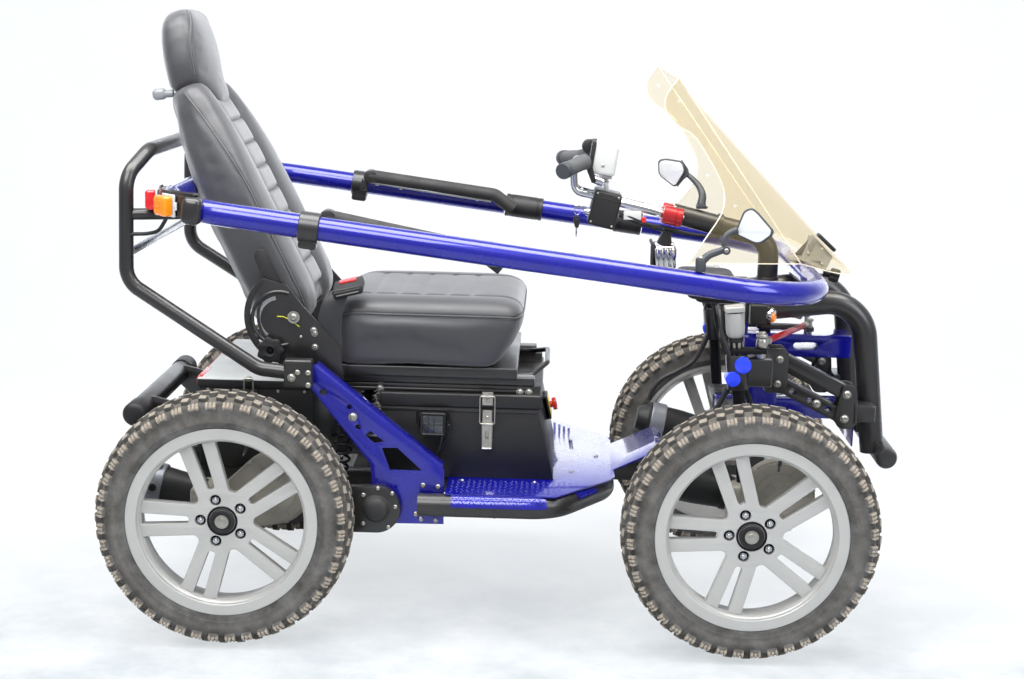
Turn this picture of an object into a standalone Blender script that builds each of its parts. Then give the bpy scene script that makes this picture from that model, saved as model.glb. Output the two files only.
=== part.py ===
"""All-terrain mobility scooter, as an assembly of separate pieces.

Metres, +Z up, +X towards the front.  The origin is on the ground, under the
middle of the machine.  Right is -Y and left is +Y.
"""
import math

import bmesh
import bpy
import numpy as np
from mathutils import Matrix, Vector

SIDES = {"right": -1, "left": 1}
GAP = 0.0004

# Wheels
WHEELBASE = 1.145
REAR_AXLE_X = -0.607
FRONT_AXLE_X = REAR_AXLE_X + WHEELBASE
NOSE_OVERHANG = 0.140
LOOP_NOSE = FRONT_AXLE_X + NOSE_OVERHANG
COLUMN_X = LOOP_NOSE - 0.078
WHEEL_Y = 0.417
TYRE_RADIUS = 0.283
TYRE_WIDTH = 0.112
KNOB_HEIGHT = 0.0105
TYRE_FACETS = 26
RIM_RADIUS = 0.209
RIM_WIDTH = 0.100
RIM_FACETS = 20
SPOKE_PAIRS = 5
SPOKE_WIDTH = 0.026
SPOKE_GAP = 0.024
SPOKE_DEPTH = 0.020
HUB_RADIUS = 0.062
SPOKE_ROOT = 0.056
LUG_CIRCLE = 0.096
LUG_RADIUS = 0.007

# Drive units
CASE_THICKNESS = 0.034
CASE_RADIUS = 0.082
CASE_OFFSET = (0.066, 0.062)
MOTOR_RADIUS = 0.044
MOTOR_LENGTH = 0.205
MOTOR_Y = 0.272
MOTOR_TILT = 12.0

# Rear suspension
ARM_PIVOT = (-0.2835, 0.288)
ARM_Y = 0.300
ARM_THICKNESS = 0.030
ARM_HEIGHT = 0.072
PIVOT_SHAFT_RADIUS = 0.018
SHOCK_TOP = (-0.352, 0.500)
SHOCK_FOOT = (-0.385, 0.315)
SHOCK_Y = 0.262
SHOCK_PIN_RADIUS = 0.006
SHOCK_EYE_WIDTH = 0.020
SPRING_RADIUS = 0.0225
SPRING_WIRE = 0.0035
SPRING_CURLS = 5

# Front suspension
LINK_FRONT_UPPER = (COLUMN_X + 0.1655, 0.550)
LINK_FRONT_LOWER = (COLUMN_X + 0.1625, 0.494)
LINK_RUN = (-0.155, 0.077)
LINK_Y = 0.190
LINK_WIDTH = 0.042
LINK_HEIGHT = 0.032
LINK_PIN_RADIUS = 0.006
CHEEK = 0.006
KINGPIN_TOP = (COLUMN_X - 0.1025, 0.720)
KINGPIN_Y = 0.300
KINGPIN_RADIUS = 0.014
SLEEVE_LOW = 0.575
SLEEVE_HIGH = 0.652
STEER_ARM = 0.055
TIE_ROD_Z = 0.679
TIE_ROD_RADIUS = 0.005

# Frame
SIDE_PLATE_Y = 0.320
PLATE = 0.005
FLOOR_TUBE_RADIUS = 0.0255
FLOOR_TUBE_Y = 0.355
FLOOR_TUBE_Z = 0.305
FLOOR_TUBE_REAR = -0.190
FLOOR_TUBE_FRONT = 0.225
SILL_Y = 0.165
SILL_WIDTH = 0.040
SILL_HEIGHT = 0.045
FOOTPLATE_Z = 0.331
FOOTPLATE_THICKNESS = 0.003
TOE_BOARD_TOP = 0.382
TOE_BOARD_HALF = 0.122

# Boxes
BOX_REAR = -0.285
BOX_FRONT_TOP = 0.070
BOX_FRONT_FOOT = 0.108
BOX_HALF = 0.225
BOX_TOP = 0.497
BOX_WALL = 0.003
LID_TOP = BOX_TOP + 0.033
SWITCH_Z = BOX_TOP - 0.042
SWITCH_DEPTH = 0.016
BUTTON_RADIUS = 0.014
BUTTON_STEM = 0.006
BUTTON_TRAVEL = 0.004
LATCH_X = -0.044
LATCH_LOW = BOX_TOP - 0.065
REAR_BOX_REAR = -0.700
REAR_BOX_FRONT = -0.440
REAR_BOX_FLOOR = 0.345
REAR_BOX_TOP = 0.532
REAR_LID_TOP = 0.553

# Upper tubes
LOOP_HALF = 0.4705
LOOP_REAR = -0.735
LOOP_RADIUS = 0.0255
LOOP_LEVEL = 0.8808
LOOP_SLOPE = -0.121
LOOP_REAR_BEND = 0.16
LOOP_NOSE_BEND = 0.23
GATE_REAR = -0.035
GATE_FRONT = 0.325
HOOP_HALF = LOOP_HALF - 0.1405
HOOP_RADIUS = 0.016
HOOP_BACK = LOOP_REAR - 0.101
HOOP_TOP = 1.066
BUMPER_HALF = 0.140
BUMPER_RADIUS = 0.0275
BUMPER_BAR_X = COLUMN_X + 0.265
BUMPER_BAR_Z = 0.402
BUMPER_BAR_RADIUS = 0.025
BUMPER_BAR_HALF = 0.200
REAR_BAR_X = REAR_BOX_REAR - 0.138
REAR_BAR_Z = 0.472
REAR_BAR_HALF = 0.270

# Steering
NOSE_SPINE_LOW = 0.448
NOSE_SPINE_HIGH = 0.494
BEAM_LOW = 0.600
BEAM_HIGH = 0.652
COLUMN_MIRROR_Z = 0.9385
COLUMN_RADIUS = 0.0245
COLUMN_SHAFT_RADIUS = 0.014
COLUMN_BEND_Z = 0.872
COLUMN_END = (COLUMN_X - 0.228, 0.926)
PITMAN = 0.102
PITMAN_Z = 0.679
TILLER_SLOPE = 12.5
TILLER_ROD_Y = 0.026
TILLER_ROD_RADIUS = 0.008
TILLER_X = COLUMN_END[0]
BLOCK_CENTRE = (TILLER_X - 0.161, 0.938)
GRIP_INNER = (TILLER_X - 0.212, 0.075, 1.047)
GRIP_OUTER = (TILLER_X - 0.261, 0.182, 1.034)
GRIP_RADIUS = 0.0165
LEVER_PIVOT = (TILLER_X - 0.203, 1.0436)
LEVER_Y = 0.058

# Seat
SCREEN_TOP = (LOOP_NOSE - 0.331, 1.254)
SCREEN_HALF = 0.400
SCREEN_SHEET = 0.004
PAN_BASE = LID_TOP + 0.036
SEAT_PIVOT = (-0.478, PAN_BASE + 0.138)
SEAT_HALF = 0.250
CUSHION_REAR = -0.400
CUSHION_FRONT = 0.050
CUSHION_BASE = PAN_BASE + 0.026
CUSHION_TOP = CUSHION_BASE + 0.170
RUNNER_LOW = PAN_BASE - 0.018
RAIL_OUTER = BOX_HALF - 0.015
RAIL_INNER = BOX_HALF - 0.050
RECLINE = 22.0
BACK_BLOCKS = 5
BACK_INSERT_LOW = 0.040
BACK_INSERT_HIGH = 0.460
BACK_GROOVE = 0.006
BACK_SHELL = -0.103

AXLE_X = {"front": FRONT_AXLE_X, "rear": REAR_AXLE_X}
AXLE_Z = TYRE_RADIUS

FINISHES = {
    "blue": ((0.010, 0.012, 0.480), 0.22, 0.5),
    "black": ((0.018, 0.018, 0.020), 0.42, 0.2),
    "alloy": ((0.560, 0.570, 0.580), 0.35, 0.9),
    "tyre": ((0.045, 0.042, 0.040), 0.85, 0.0),
    "case": ((0.250, 0.240, 0.225), 0.50, 0.8),
    "chrome": ((0.750, 0.750, 0.760), 0.10, 1.0),
    "red": ((0.560, 0.020, 0.025), 0.35, 0.3),
    "leather": ((0.055, 0.057, 0.062), 0.55, 0.0),
    "foam": ((0.030, 0.030, 0.032), 0.75, 0.0),
    "amber": ((0.780, 0.640, 0.360), 0.08, 0.0),
    "lens": ((0.700, 0.050, 0.010), 0.20, 0.0),
    "grey": ((0.400, 0.400, 0.395), 0.50, 0.1),
    "white": ((0.780, 0.790, 0.780), 0.40, 0.0),
    "webbing": ((0.040, 0.040, 0.042), 0.80, 0.0),
    "mirror": ((0.800, 0.820, 0.840), 0.04, 1.0),
}


def clear_scene():
    """Remove what the scene holds."""
    for old in list(bpy.data.objects):
        bpy.data.objects.remove(old, do_unlink=True)


def finish(name):
    """Give the material of one finish."""
    found = bpy.data.materials.get(name)
    if found:
        return found
    colour, roughness, metallic = FINISHES[name]
    made = bpy.data.materials.new(name)
    made.use_nodes = True
    shader = made.node_tree.nodes["Principled BSDF"]
    shader.inputs["Base Color"].default_value = (*colour, 1.0)
    shader.inputs["Roughness"].default_value = roughness
    shader.inputs["Metallic"].default_value = metallic
    made.diffuse_color = (*colour, 1.0)
    return made


def collection(name):
    """Give the named collection, linked to the scene."""
    found = bpy.data.collections.get(name)
    if not found:
        found = bpy.data.collections.new(name)
        bpy.context.scene.collection.children.link(found)
    return found


def shape(mesh, name="shape"):
    """Put a mesh in the scene."""
    made = bpy.data.objects.new(name, mesh)
    collection("scooter").objects.link(made)
    return made


def from_bmesh(bm):
    """Turn an edit mesh into an object with faces that point outwards."""
    bmesh.ops.recalc_face_normals(bm, faces=bm.faces[:])
    mesh = bpy.data.meshes.new("shape")
    bm.to_mesh(mesh)
    bm.free()
    return shape(mesh)


def frozen(source, weld=0.00002):
    """Replace an object by the mesh that its modifiers or its curve give."""
    bpy.context.view_layer.update()
    graph = bpy.context.evaluated_depsgraph_get()
    mesh = bpy.data.meshes.new_from_object(source.evaluated_get(graph))
    bm = bmesh.new()
    bm.from_mesh(mesh)
    bmesh.ops.remove_doubles(bm, verts=bm.verts[:], dist=weld)
    bmesh.ops.transform(bm, matrix=source.matrix_world, verts=bm.verts[:])
    bpy.data.objects.remove(source, do_unlink=True)
    bpy.data.meshes.remove(mesh)
    return from_bmesh(bm)


def turn_matrix(direction):
    """Give the turn that carries +Z to a direction."""
    return Vector((0, 0, 1)).rotation_difference(Vector(direction).normalized()).to_matrix().to_4x4()


def rod(start, end, radius, sides=16, end_radius=None, roll=0.0):
    """Make a round bar, or a cone, between two points."""
    start, end = Vector(start), Vector(end)
    bm = bmesh.new()
    bmesh.ops.create_cone(
        bm, cap_ends=True, segments=sides, radius1=radius,
        radius2=radius if end_radius is None else end_radius, depth=(end - start).length)
    bmesh.ops.transform(bm, matrix=Matrix.Rotation(roll, 4, "Z"), verts=bm.verts[:])
    place = Matrix.Translation((start + end) / 2) @ turn_matrix(end - start)
    bmesh.ops.transform(bm, matrix=place, verts=bm.verts[:])
    return from_bmesh(bm)


def block(low, high, bevel=0.0, turn=0.0):
    """Make a box from its low corner to its high corner, turned about Y in its own middle."""
    low, high = Vector(low), Vector(high)
    for axis in range(3):
        if low[axis] > high[axis]:
            low[axis], high[axis] = high[axis], low[axis]
    bm = bmesh.new()
    bmesh.ops.create_cube(bm, size=1.0)
    size = high - low
    bmesh.ops.scale(bm, vec=size, verts=bm.verts[:])
    if bevel:
        bmesh.ops.bevel(bm, geom=bm.edges[:], offset=bevel, segments=1, affect="EDGES")
    place = Matrix.Translation((low + high) / 2) @ Matrix.Rotation(math.radians(turn), 4, "Y")
    bmesh.ops.transform(bm, matrix=place, verts=bm.verts[:])
    return from_bmesh(bm)


def bar(start, end, width, height, bevel=0.0):
    """Make a rectangular bar between two points that share their Y, height across in XZ."""
    start, end = Vector(start), Vector(end)
    run = end - start
    middle = (start + end) / 2
    half = Vector((run.length / 2, width / 2, height / 2))
    return block(middle - half, middle + half, bevel, math.degrees(math.atan2(-run.z, run.x)))


def ball(centre, radius, rings=8, sides=14, squash=1.0):
    """Make a sphere, flattened along Y by squash."""
    bm = bmesh.new()
    bmesh.ops.create_uvsphere(bm, u_segments=sides, v_segments=rings, radius=radius)
    bmesh.ops.scale(bm, vec=(1, squash, 1), verts=bm.verts[:])
    bmesh.ops.translate(bm, vec=centre, verts=bm.verts[:])
    return from_bmesh(bm)


def turned(profile, sides, roll=0.0, closed=True):
    """Turn a profile of (along, radius) pairs about the Y axis."""
    mesh = bpy.data.meshes.new("profile")
    points = [(radius, 0.0, along) for along, radius in profile]
    count = len(points)
    edges = [(i, (i + 1) % count) for i in range(count if closed else count - 1)]
    mesh.from_pydata(points, edges, [])
    holder = shape(mesh)
    screw = holder.modifiers.new("turn", "SCREW")
    screw.axis = "Z"
    screw.steps = sides
    screw.render_steps = sides
    screw.use_merge_vertices = True
    screw.merge_threshold = 0.0001
    holder.rotation_euler = (-math.pi / 2, 0.0, 0.0)
    made = frozen(holder)
    made.data.transform(Matrix.Rotation(roll, 4, "Y"))
    return made


def outline_plate(outline, thickness, holes=()):
    """Extrude an outline of (x, z) points along Y, with holes, centred on Y = 0."""
    curve = bpy.data.curves.new("outline", "CURVE")
    curve.dimensions = "2D"
    curve.fill_mode = "BOTH"
    curve.extrude = thickness / 2
    for ring in [outline, *holes]:
        spline = curve.splines.new("POLY")
        spline.points.add(len(ring) - 1)
        for point, (x, z) in zip(spline.points, ring):
            point.co = (x, z, 0.0, 1.0)
        spline.use_cyclic_u = True
    holder = bpy.data.objects.new("outline", curve)
    collection("scooter").objects.link(holder)
    holder.rotation_euler = (math.pi / 2, 0.0, 0.0)
    return frozen(holder)


def floor_plate(outline, low, high, holes=()):
    """Extrude an outline of (x, y) points upwards, from a low to a high level."""
    plate = outline_plate(outline, high - low, holes)
    bm = bmesh.new()
    bm.from_mesh(plate.data)
    bmesh.ops.rotate(bm, cent=(0, 0, 0), matrix=Matrix.Rotation(math.radians(-90), 3, "X"), verts=bm.verts[:])
    bmesh.ops.translate(bm, vec=(0, 0, (low + high) / 2), verts=bm.verts[:])
    bm.to_mesh(plate.data)
    bm.free()
    return plate


def arc(centre, radius, start, end, steps):
    """Give the points of an arc in degrees, both ends in."""
    angles = [math.radians(start + (end - start) * i / steps) for i in range(steps + 1)]
    return [(centre[0] + radius * math.cos(a), centre[1] + radius * math.sin(a)) for a in angles]


def circle(centre, radius, sides=16):
    """Give the points of a full circle."""
    return arc(centre, radius, 0, 360 * (sides - 1) / sides, sides - 1)


def two_circles(a, radius_a, b, radius_b, steps=5):
    """Give the outline of a strap that goes round two circles."""
    run = Vector((b[0] - a[0], b[1] - a[1]))
    heading = math.degrees(math.atan2(run.y, run.x))
    spread = math.degrees(math.acos((radius_a - radius_b) / run.length))
    first = arc(b, radius_b, heading - spread, heading + spread, steps)
    second = arc(a, radius_a, heading + spread, heading + 360 - spread, steps)
    return first + second


def rounded(points, bend, steps=4):
    """Round each inner corner of a route with an arc of the bend's radius."""
    route = [Vector(p) for p in points]
    path = [route[0]]
    for before, corner, after in zip(route, route[1:], route[2:]):
        back = (before - corner).normalized()
        ahead = (after - corner).normalized()
        half = back.angle(ahead) / 2
        reach = bend / math.tan(half)
        centre = corner + (back + ahead).normalized() * bend / math.sin(half)
        first = corner + back * reach - centre
        last = corner + ahead * reach - centre
        for i in range(steps + 1):
            path.append(centre + first.slerp(last, i / steps).normalized() * bend)
    path.append(route[-1])
    return path


def tube(path, radius, resolution=3, closed=False):
    """Make a round tube along a path."""
    curve = bpy.data.curves.new("tube", "CURVE")
    curve.dimensions = "3D"
    curve.bevel_depth = radius
    curve.bevel_resolution = resolution
    curve.use_fill_caps = True
    spline = curve.splines.new("POLY")
    spline.points.add(len(path) - 1)
    for point, place in zip(spline.points, path):
        point.co = (*place, 1.0)
    spline.use_cyclic_u = closed
    holder = bpy.data.objects.new("tube", curve)
    collection("scooter").objects.link(holder)
    return frozen(holder)


def combine(body, others, operation):
    """Join other shapes to a body, or cut them from it, and remove them."""
    for other in others:
        step = body.modifiers.new("step", "BOOLEAN")
        step.operation = operation
        step.solver = "EXACT"
        step.object = other
        body = frozen(body, 0.000002)
        bpy.data.objects.remove(other, do_unlink=True)
    return body


def join(body, *others):
    """Join shapes into one body."""
    return combine(body, others, "UNION")


def cut(body, *others):
    """Cut shapes from a body."""
    return combine(body, others, "DIFFERENCE")


def moved(made, offset):
    """Shift a shape."""
    made.data.transform(Matrix.Translation(offset))
    return made


def mirrored(made):
    """Mirror a shape in Y."""
    bm = bmesh.new()
    bm.from_mesh(made.data)
    bmesh.ops.scale(bm, vec=(1, -1, 1), verts=bm.verts[:])
    bmesh.ops.reverse_faces(bm, faces=bm.faces[:])
    bm.to_mesh(made.data)
    bm.free()
    return made


def piece(made, name, look, pivot=(0, 0, 0), parent=None):
    """Name a finished piece, and put its origin on its pivot."""
    made.name = name
    made.data.name = name
    bm = bmesh.new()
    bm.from_mesh(made.data)
    bmesh.ops.dissolve_limit(bm, angle_limit=math.radians(0.05), verts=bm.verts[:], edges=bm.edges[:])
    bm.to_mesh(made.data)
    bm.free()
    made.data.materials.clear()
    made.data.materials.append(finish(look))
    made.data.transform(Matrix.Translation(-Vector(pivot)))
    made.location = pivot
    made.data.shade_smooth()
    made.data.set_sharp_from_angle(angle=math.radians(35))
    if parent:
        bpy.context.view_layer.update()
        made.parent = parent
        made.matrix_parent_inverse = parent.matrix_world.inverted()
    return made


def loop_z(x):
    """Give the height of the sloping side tubes' middle at a place along the machine."""
    return LOOP_LEVEL + LOOP_SLOPE * x


def kingpin(z):
    """Give the kingpin's middle, in X, at a height."""
    top_x, top_z = KINGPIN_TOP
    return top_x + (FRONT_AXLE_X - top_x) * (top_z - z) / (top_z - AXLE_Z)


def make_tyre(name, centre, parent):
    """Make one tyre: a ring with a checker of raised knobs in three rows."""
    half = TYRE_WIDTH / 2
    bead = RIM_WIDTH / 2 - 0.008 - GAP
    seat = (RIM_RADIUS - 0.011) / math.cos(math.pi / TYRE_FACETS) + GAP
    crown = (TYRE_RADIUS - KNOB_HEIGHT) / math.cos(math.pi / TYRE_FACETS)
    flank = [(bead, seat), (half, RIM_RADIUS + 0.028), (half * 0.93, crown - 0.012), (half * 0.40, crown)]
    profile = flank + [(-along, radius) for along, radius in reversed(flank)]
    ring = turned(profile, TYRE_FACETS, math.pi / TYRE_FACETS)
    bm = bmesh.new()
    bm.from_mesh(ring.data)
    blocks = []
    for face in bm.faces:
        middle = face.calc_center_median()
        radius = math.hypot(middle.x, middle.z)
        if radius < crown - 0.009:
            continue
        turn = round(math.atan2(middle.z, middle.x) * TYRE_FACETS / math.tau + TYRE_FACETS / 4)
        row = 0 if abs(middle.y) < half * 0.2 else 1
        if (turn + row) % 2 == 0:
            blocks.append(face)
    for face in blocks:
        normal = face.normal.copy()
        bmesh.ops.inset_individual(bm, faces=[face], thickness=0.003)
        bmesh.ops.translate(bm, vec=normal * KNOB_HEIGHT, verts=face.verts[:])
    bm.to_mesh(ring.data)
    bm.free()
    return piece(moved(ring, centre), name, "tyre", centre, parent)


def spoke_star():
    """Give the outline of the hub with its twin spokes."""
    reach = RIM_RADIUS - 0.0175
    offset = (SPOKE_GAP + SPOKE_WIDTH) / 2
    outline = []
    for pair in range(SPOKE_PAIRS):
        heading = 180 + pair * 360 / SPOKE_PAIRS
        along = Vector((1, 0)).to_3d()
        turn = Matrix.Rotation(math.radians(heading), 3, "Z")
        for spoke in (-offset, offset):
            for near, far in ((SPOKE_ROOT, -1), (reach, -1), (reach, 1), (SPOKE_ROOT, 1)):
                place = turn @ (along * near + Vector((0, spoke + far * SPOKE_WIDTH / 2, 0)))
                outline.append((place.x, place.y))
    return outline


def make_rim(name, side, centre, parent):
    """Make one rim: barrel, twin spokes, hub and lug bolts."""
    half = RIM_WIDTH / 2
    seat = RIM_RADIUS - 0.011
    profile = [(half, RIM_RADIUS), (half - 0.007, seat), (0.007 - half, seat), (-half, RIM_RADIUS),
               (0.004 - half, RIM_RADIUS - 0.019), (half - 0.034, RIM_RADIUS - 0.021), (half - 0.006, RIM_RADIUS - 0.034)]
    rim = turned(profile, RIM_FACETS)
    face = half - 0.016
    star = moved(outline_plate(spoke_star(), SPOKE_DEPTH), (0, face - SPOKE_DEPTH / 2, 0))
    hub = rod((0, 0.004, 0), (0, face + 0.002, 0), HUB_RADIUS, 14)
    rim = join(rim, star, hub)
    if side < 0:
        rim = mirrored(rim)
    return piece(moved(rim, centre), name, "alloy", centre, parent)


def make_motor(start, side):
    """Make a motor that runs back and up from a gear case."""
    slope = math.radians(MOTOR_TILT)
    back = Vector((-math.cos(slope), 0, math.sin(slope)))
    start = Vector((start[0], side * MOTOR_Y, start[1]))
    can = rod(start, start + back * MOTOR_LENGTH * 0.68, MOTOR_RADIUS, 12)
    band_end = start + back * MOTOR_LENGTH * 0.84
    band = rod(start + back * MOTOR_LENGTH * 0.66, band_end, MOTOR_RADIUS + 0.005, 12)
    cap = rod(band_end - back * 0.002, start + back * MOTOR_LENGTH, MOTOR_RADIUS + 0.001, 12, MOTOR_RADIUS * 0.68)
    return join(can, band, cap)


def make_front_drive(name, side):
    """Make a front drive unit: gear case, motor, kingpin and steering arm."""
    hub = (FRONT_AXLE_X, AXLE_Z)
    wheel = (hub[0] + CASE_OFFSET[0], hub[1] + CASE_OFFSET[1])
    outer = WHEEL_Y - TYRE_WIDTH / 2 - 0.006
    middle = outer - CASE_THICKNESS / 2
    unit = moved(outline_plate(two_circles(wheel, CASE_RADIUS, hub, 0.050), CASE_THICKNESS), (0, side * middle, 0))
    flange = rod((hub[0], side * (outer - 0.004), hub[1]), (hub[0], side * (WHEEL_Y + 0.004 - GAP), hub[1]), 0.030, 12)
    knee = block((hub[0] - 0.045, side * (MOTOR_Y - 0.040), hub[1] - 0.010),
                 (hub[0] + 0.050, side * (middle + 0.005), hub[1] + 0.080), 0.008)
    unit = join(unit, flange, knee, make_motor((hub[0] - 0.020, hub[1] + 0.044), side))
    pin_foot = (kingpin(hub[1] + 0.060), side * KINGPIN_Y, hub[1] + 0.060)
    pin_head = (kingpin(0.750), side * KINGPIN_Y, 0.750)
    arm_z = TIE_ROD_Z - 0.018
    root = (kingpin(arm_z), arm_z)
    foot, ball_end = (root[0], side * KINGPIN_Y), (root[0] + STEER_ARM, side * KINGPIN_Y)
    arm = floor_plate(two_circles(foot, 0.021, ball_end, 0.012), arm_z - 0.005, arm_z + 0.005)
    cap = rod((kingpin(0.690), side * KINGPIN_Y, 0.690), pin_head, 0.020, 12)
    unit = join(unit, rod(pin_foot, (kingpin(0.700), side * KINGPIN_Y, 0.700), KINGPIN_RADIUS, 12), arm, cap)
    pivot = (kingpin(AXLE_Z), side * KINGPIN_Y, AXLE_Z)
    return piece(unit, name, "case", pivot)


def make_rear_drive(name, side):
    """Make a rear drive unit: gear case and motor, bolted to the rear arm."""
    hub = (REAR_AXLE_X, AXLE_Z)
    wheel = (hub[0] + CASE_OFFSET[0] + 0.030, hub[1] + CASE_OFFSET[1] - 0.016)
    outer = WHEEL_Y - TYRE_WIDTH / 2 - 0.006
    inner = ARM_Y + ARM_THICKNESS / 2 + GAP
    middle = (outer + inner) / 2
    unit = moved(outline_plate(two_circles(wheel, CASE_RADIUS, hub, 0.050), outer - inner), (0, side * middle, 0))
    flange = rod((hub[0], side * (outer - 0.004), hub[1]), (hub[0], side * (WHEEL_Y + 0.004 - GAP), hub[1]), 0.030, 12)
    heel = hub[0] - 0.036
    knee = block((heel - 0.060, side * (MOTOR_Y - 0.036), hub[1] - 0.036),
                 (heel - GAP * 4, side * (middle + 0.004), hub[1] + 0.040), 0.008)
    bridge = block((heel - 0.050, side * (inner + 0.002), hub[1] - 0.030),
                   (heel + 0.040, side * (outer - 0.004), hub[1] + 0.032))
    unit = join(unit, flange, bridge, knee, make_motor((heel - 0.030, hub[1] + 0.004), side))
    return piece(unit, name, "case", (ARM_PIVOT[0], side * ARM_Y, ARM_PIVOT[1]))


def make_rear_arm(name, side):
    """Make a rear swing arm with its shock pin."""
    hub = (REAR_AXLE_X, AXLE_Z)
    outline = two_circles(ARM_PIVOT, ARM_HEIGHT / 2 + 0.006, hub, ARM_HEIGHT / 2 - 0.004, 7)
    bore = circle(ARM_PIVOT, PIVOT_SHAFT_RADIUS + GAP, 16)
    window = two_circles((hub[0] + 0.075, hub[1]), 0.016, (ARM_PIVOT[0] - 0.120, ARM_PIVOT[1]), 0.014, 5)
    arm = moved(outline_plate(outline, ARM_THICKNESS, [bore, window]), (0, side * ARM_Y, 0))
    lug = two_circles((SHOCK_FOOT[0], SHOCK_FOOT[1] - 0.020), 0.022, SHOCK_FOOT, 0.014, 6)
    arm = join(arm, moved(outline_plate(lug, ARM_THICKNESS - 0.002), (0, side * ARM_Y, 0)))
    pin_end = SHOCK_Y - SHOCK_EYE_WIDTH / 2 - 0.003
    foot = (SHOCK_FOOT[0], side * ARM_Y, SHOCK_FOOT[1])
    arm = join(arm, rod(foot, (SHOCK_FOOT[0], side * pin_end, SHOCK_FOOT[1]), SHOCK_PIN_RADIUS, 12))
    return piece(arm, name, "case", (ARM_PIVOT[0], side * ARM_Y, ARM_PIVOT[1]))


def shock_point(along, side):
    """Give a point on the shock's line, measured down from its top eye."""
    top = Vector((SHOCK_TOP[0], side * SHOCK_Y, SHOCK_TOP[1]))
    foot = Vector((SHOCK_FOOT[0], side * SHOCK_Y, SHOCK_FOOT[1]))
    return top + (foot - top).normalized() * along


def shock_length():
    """Give the distance between the shock's eyes."""
    return math.hypot(SHOCK_TOP[0] - SHOCK_FOOT[0], SHOCK_TOP[1] - SHOCK_FOOT[1])


def make_shock_body(name, side):
    """Make the upper half of a rear shock: eye, can and spring collar."""
    half = SHOCK_EYE_WIDTH / 2
    top = (SHOCK_TOP[0], SHOCK_TOP[1])
    eye = moved(outline_plate(circle(top, 0.013, 12), SHOCK_EYE_WIDTH, [circle(top, SHOCK_PIN_RADIUS + 0.0008, 10)]),
                (0, side * SHOCK_Y, 0))
    can = rod(shock_point(0.011, side), shock_point(0.105, side), 0.013, 10)
    collar = rod(shock_point(0.020, side), shock_point(0.028, side), SPRING_RADIUS + 0.003, 12)
    bore = rod(shock_point(0.050, side), shock_point(0.120, side), 0.0065, 8)
    body = cut(join(eye, can, collar), bore)
    return piece(body, name, "black", (top[0], side * SHOCK_Y, top[1])), half


def make_shock_rod(name, side):
    """Make the lower half of a rear shock: rod, spring seat and eye."""
    foot = (SHOCK_FOOT[0], SHOCK_FOOT[1])
    length = shock_length()
    eye = moved(outline_plate(circle(foot, 0.013, 12), SHOCK_EYE_WIDTH, [circle(foot, SHOCK_PIN_RADIUS + 0.0008, 10)]),
                (0, side * SHOCK_Y, 0))
    shaft = rod(shock_point(0.075, side), shock_point(length - 0.011, side), 0.0058, 8)
    seat = rod(shock_point(length - 0.030, side), shock_point(length - 0.022, side), SPRING_RADIUS + 0.003, 12)
    return piece(join(eye, shaft, seat), name, "chrome", (foot[0], side * SHOCK_Y, foot[1]))


def spring_path(side):
    """Give the wire's route: a helix between the collar and the seat, with points for each curl."""
    start = 0.028 + SPRING_WIRE + GAP
    end = shock_length() - 0.030 - SPRING_WIRE - GAP
    axis = (shock_point(1.0, side) - shock_point(0.0, side)).normalized()
    across = axis.cross(Vector((0, 1, 0))).normalized()
    other = axis.cross(across)
    steps = SPRING_CURLS * 8
    path = []
    for i in range(steps + 1):
        turn = math.tau * SPRING_CURLS * i / steps
        spot = across * math.cos(turn) + other * math.sin(turn)
        path.append(shock_point(start + (end - start) * i / steps, side) + spot * (SPRING_RADIUS - SPRING_WIRE))
    return path


def make_spring(name, side):
    """Make a coil spring as one unbroken wire."""
    return piece(tube(spring_path(side), SPRING_WIRE, 1), name, "red", shock_point(0.028, side))


def least_self_gap(path, wire, curl_points):
    """Give the least gap between turns of a wound wire."""
    points = np.array([tuple(p) for p in path])
    least = 1.0
    for i in range(len(points)):
        far = points[i + curl_points:]
        if len(far):
            least = min(least, float(np.min(np.linalg.norm(far - points[i], axis=1))))
    return least - 2 * wire


def link_ends(front):
    """Give a link's two pivots, front and rear, in XZ."""
    return front, (front[0] + LINK_RUN[0], front[1] + LINK_RUN[1])


def make_link(name, side, front, window):
    """Make a suspension link, a box bar with an eye at each end."""
    ahead, behind = link_ends(front)
    outline = two_circles(ahead, LINK_HEIGHT / 2, behind, LINK_HEIGHT / 2, 6)
    holes = [circle(ahead, LINK_PIN_RADIUS + GAP, 12), circle(behind, LINK_PIN_RADIUS + GAP, 12)]
    for share in window:
        spot = (ahead[0] + LINK_RUN[0] * share, ahead[1] + LINK_RUN[1] * share)
        holes.append(circle(spot, 0.0085, 8))
    link = moved(outline_plate(outline, LINK_WIDTH - 4 * GAP, holes), (0, side * LINK_Y, 0))
    return piece(link, name, "black", (ahead[0], side * LINK_Y, ahead[1]))


def cheek_pair(outline, side):
    """Make the two cheeks that hold the links."""
    reach = LINK_WIDTH / 2 + CHEEK / 2
    near = moved(outline_plate(outline, CHEEK), (0, side * LINK_Y - reach, 0))
    far = moved(outline_plate(outline, CHEEK), (0, side * LINK_Y + reach, 0))
    return near, far


def link_pins(places, side):
    """Make the pins that go through the cheeks and the links."""
    reach = LINK_WIDTH / 2 + CHEEK * 0.6
    return [rod((x, side * LINK_Y - reach, z), (x, side * LINK_Y + reach, z), LINK_PIN_RADIUS, 8) for x, z in places]


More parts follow.
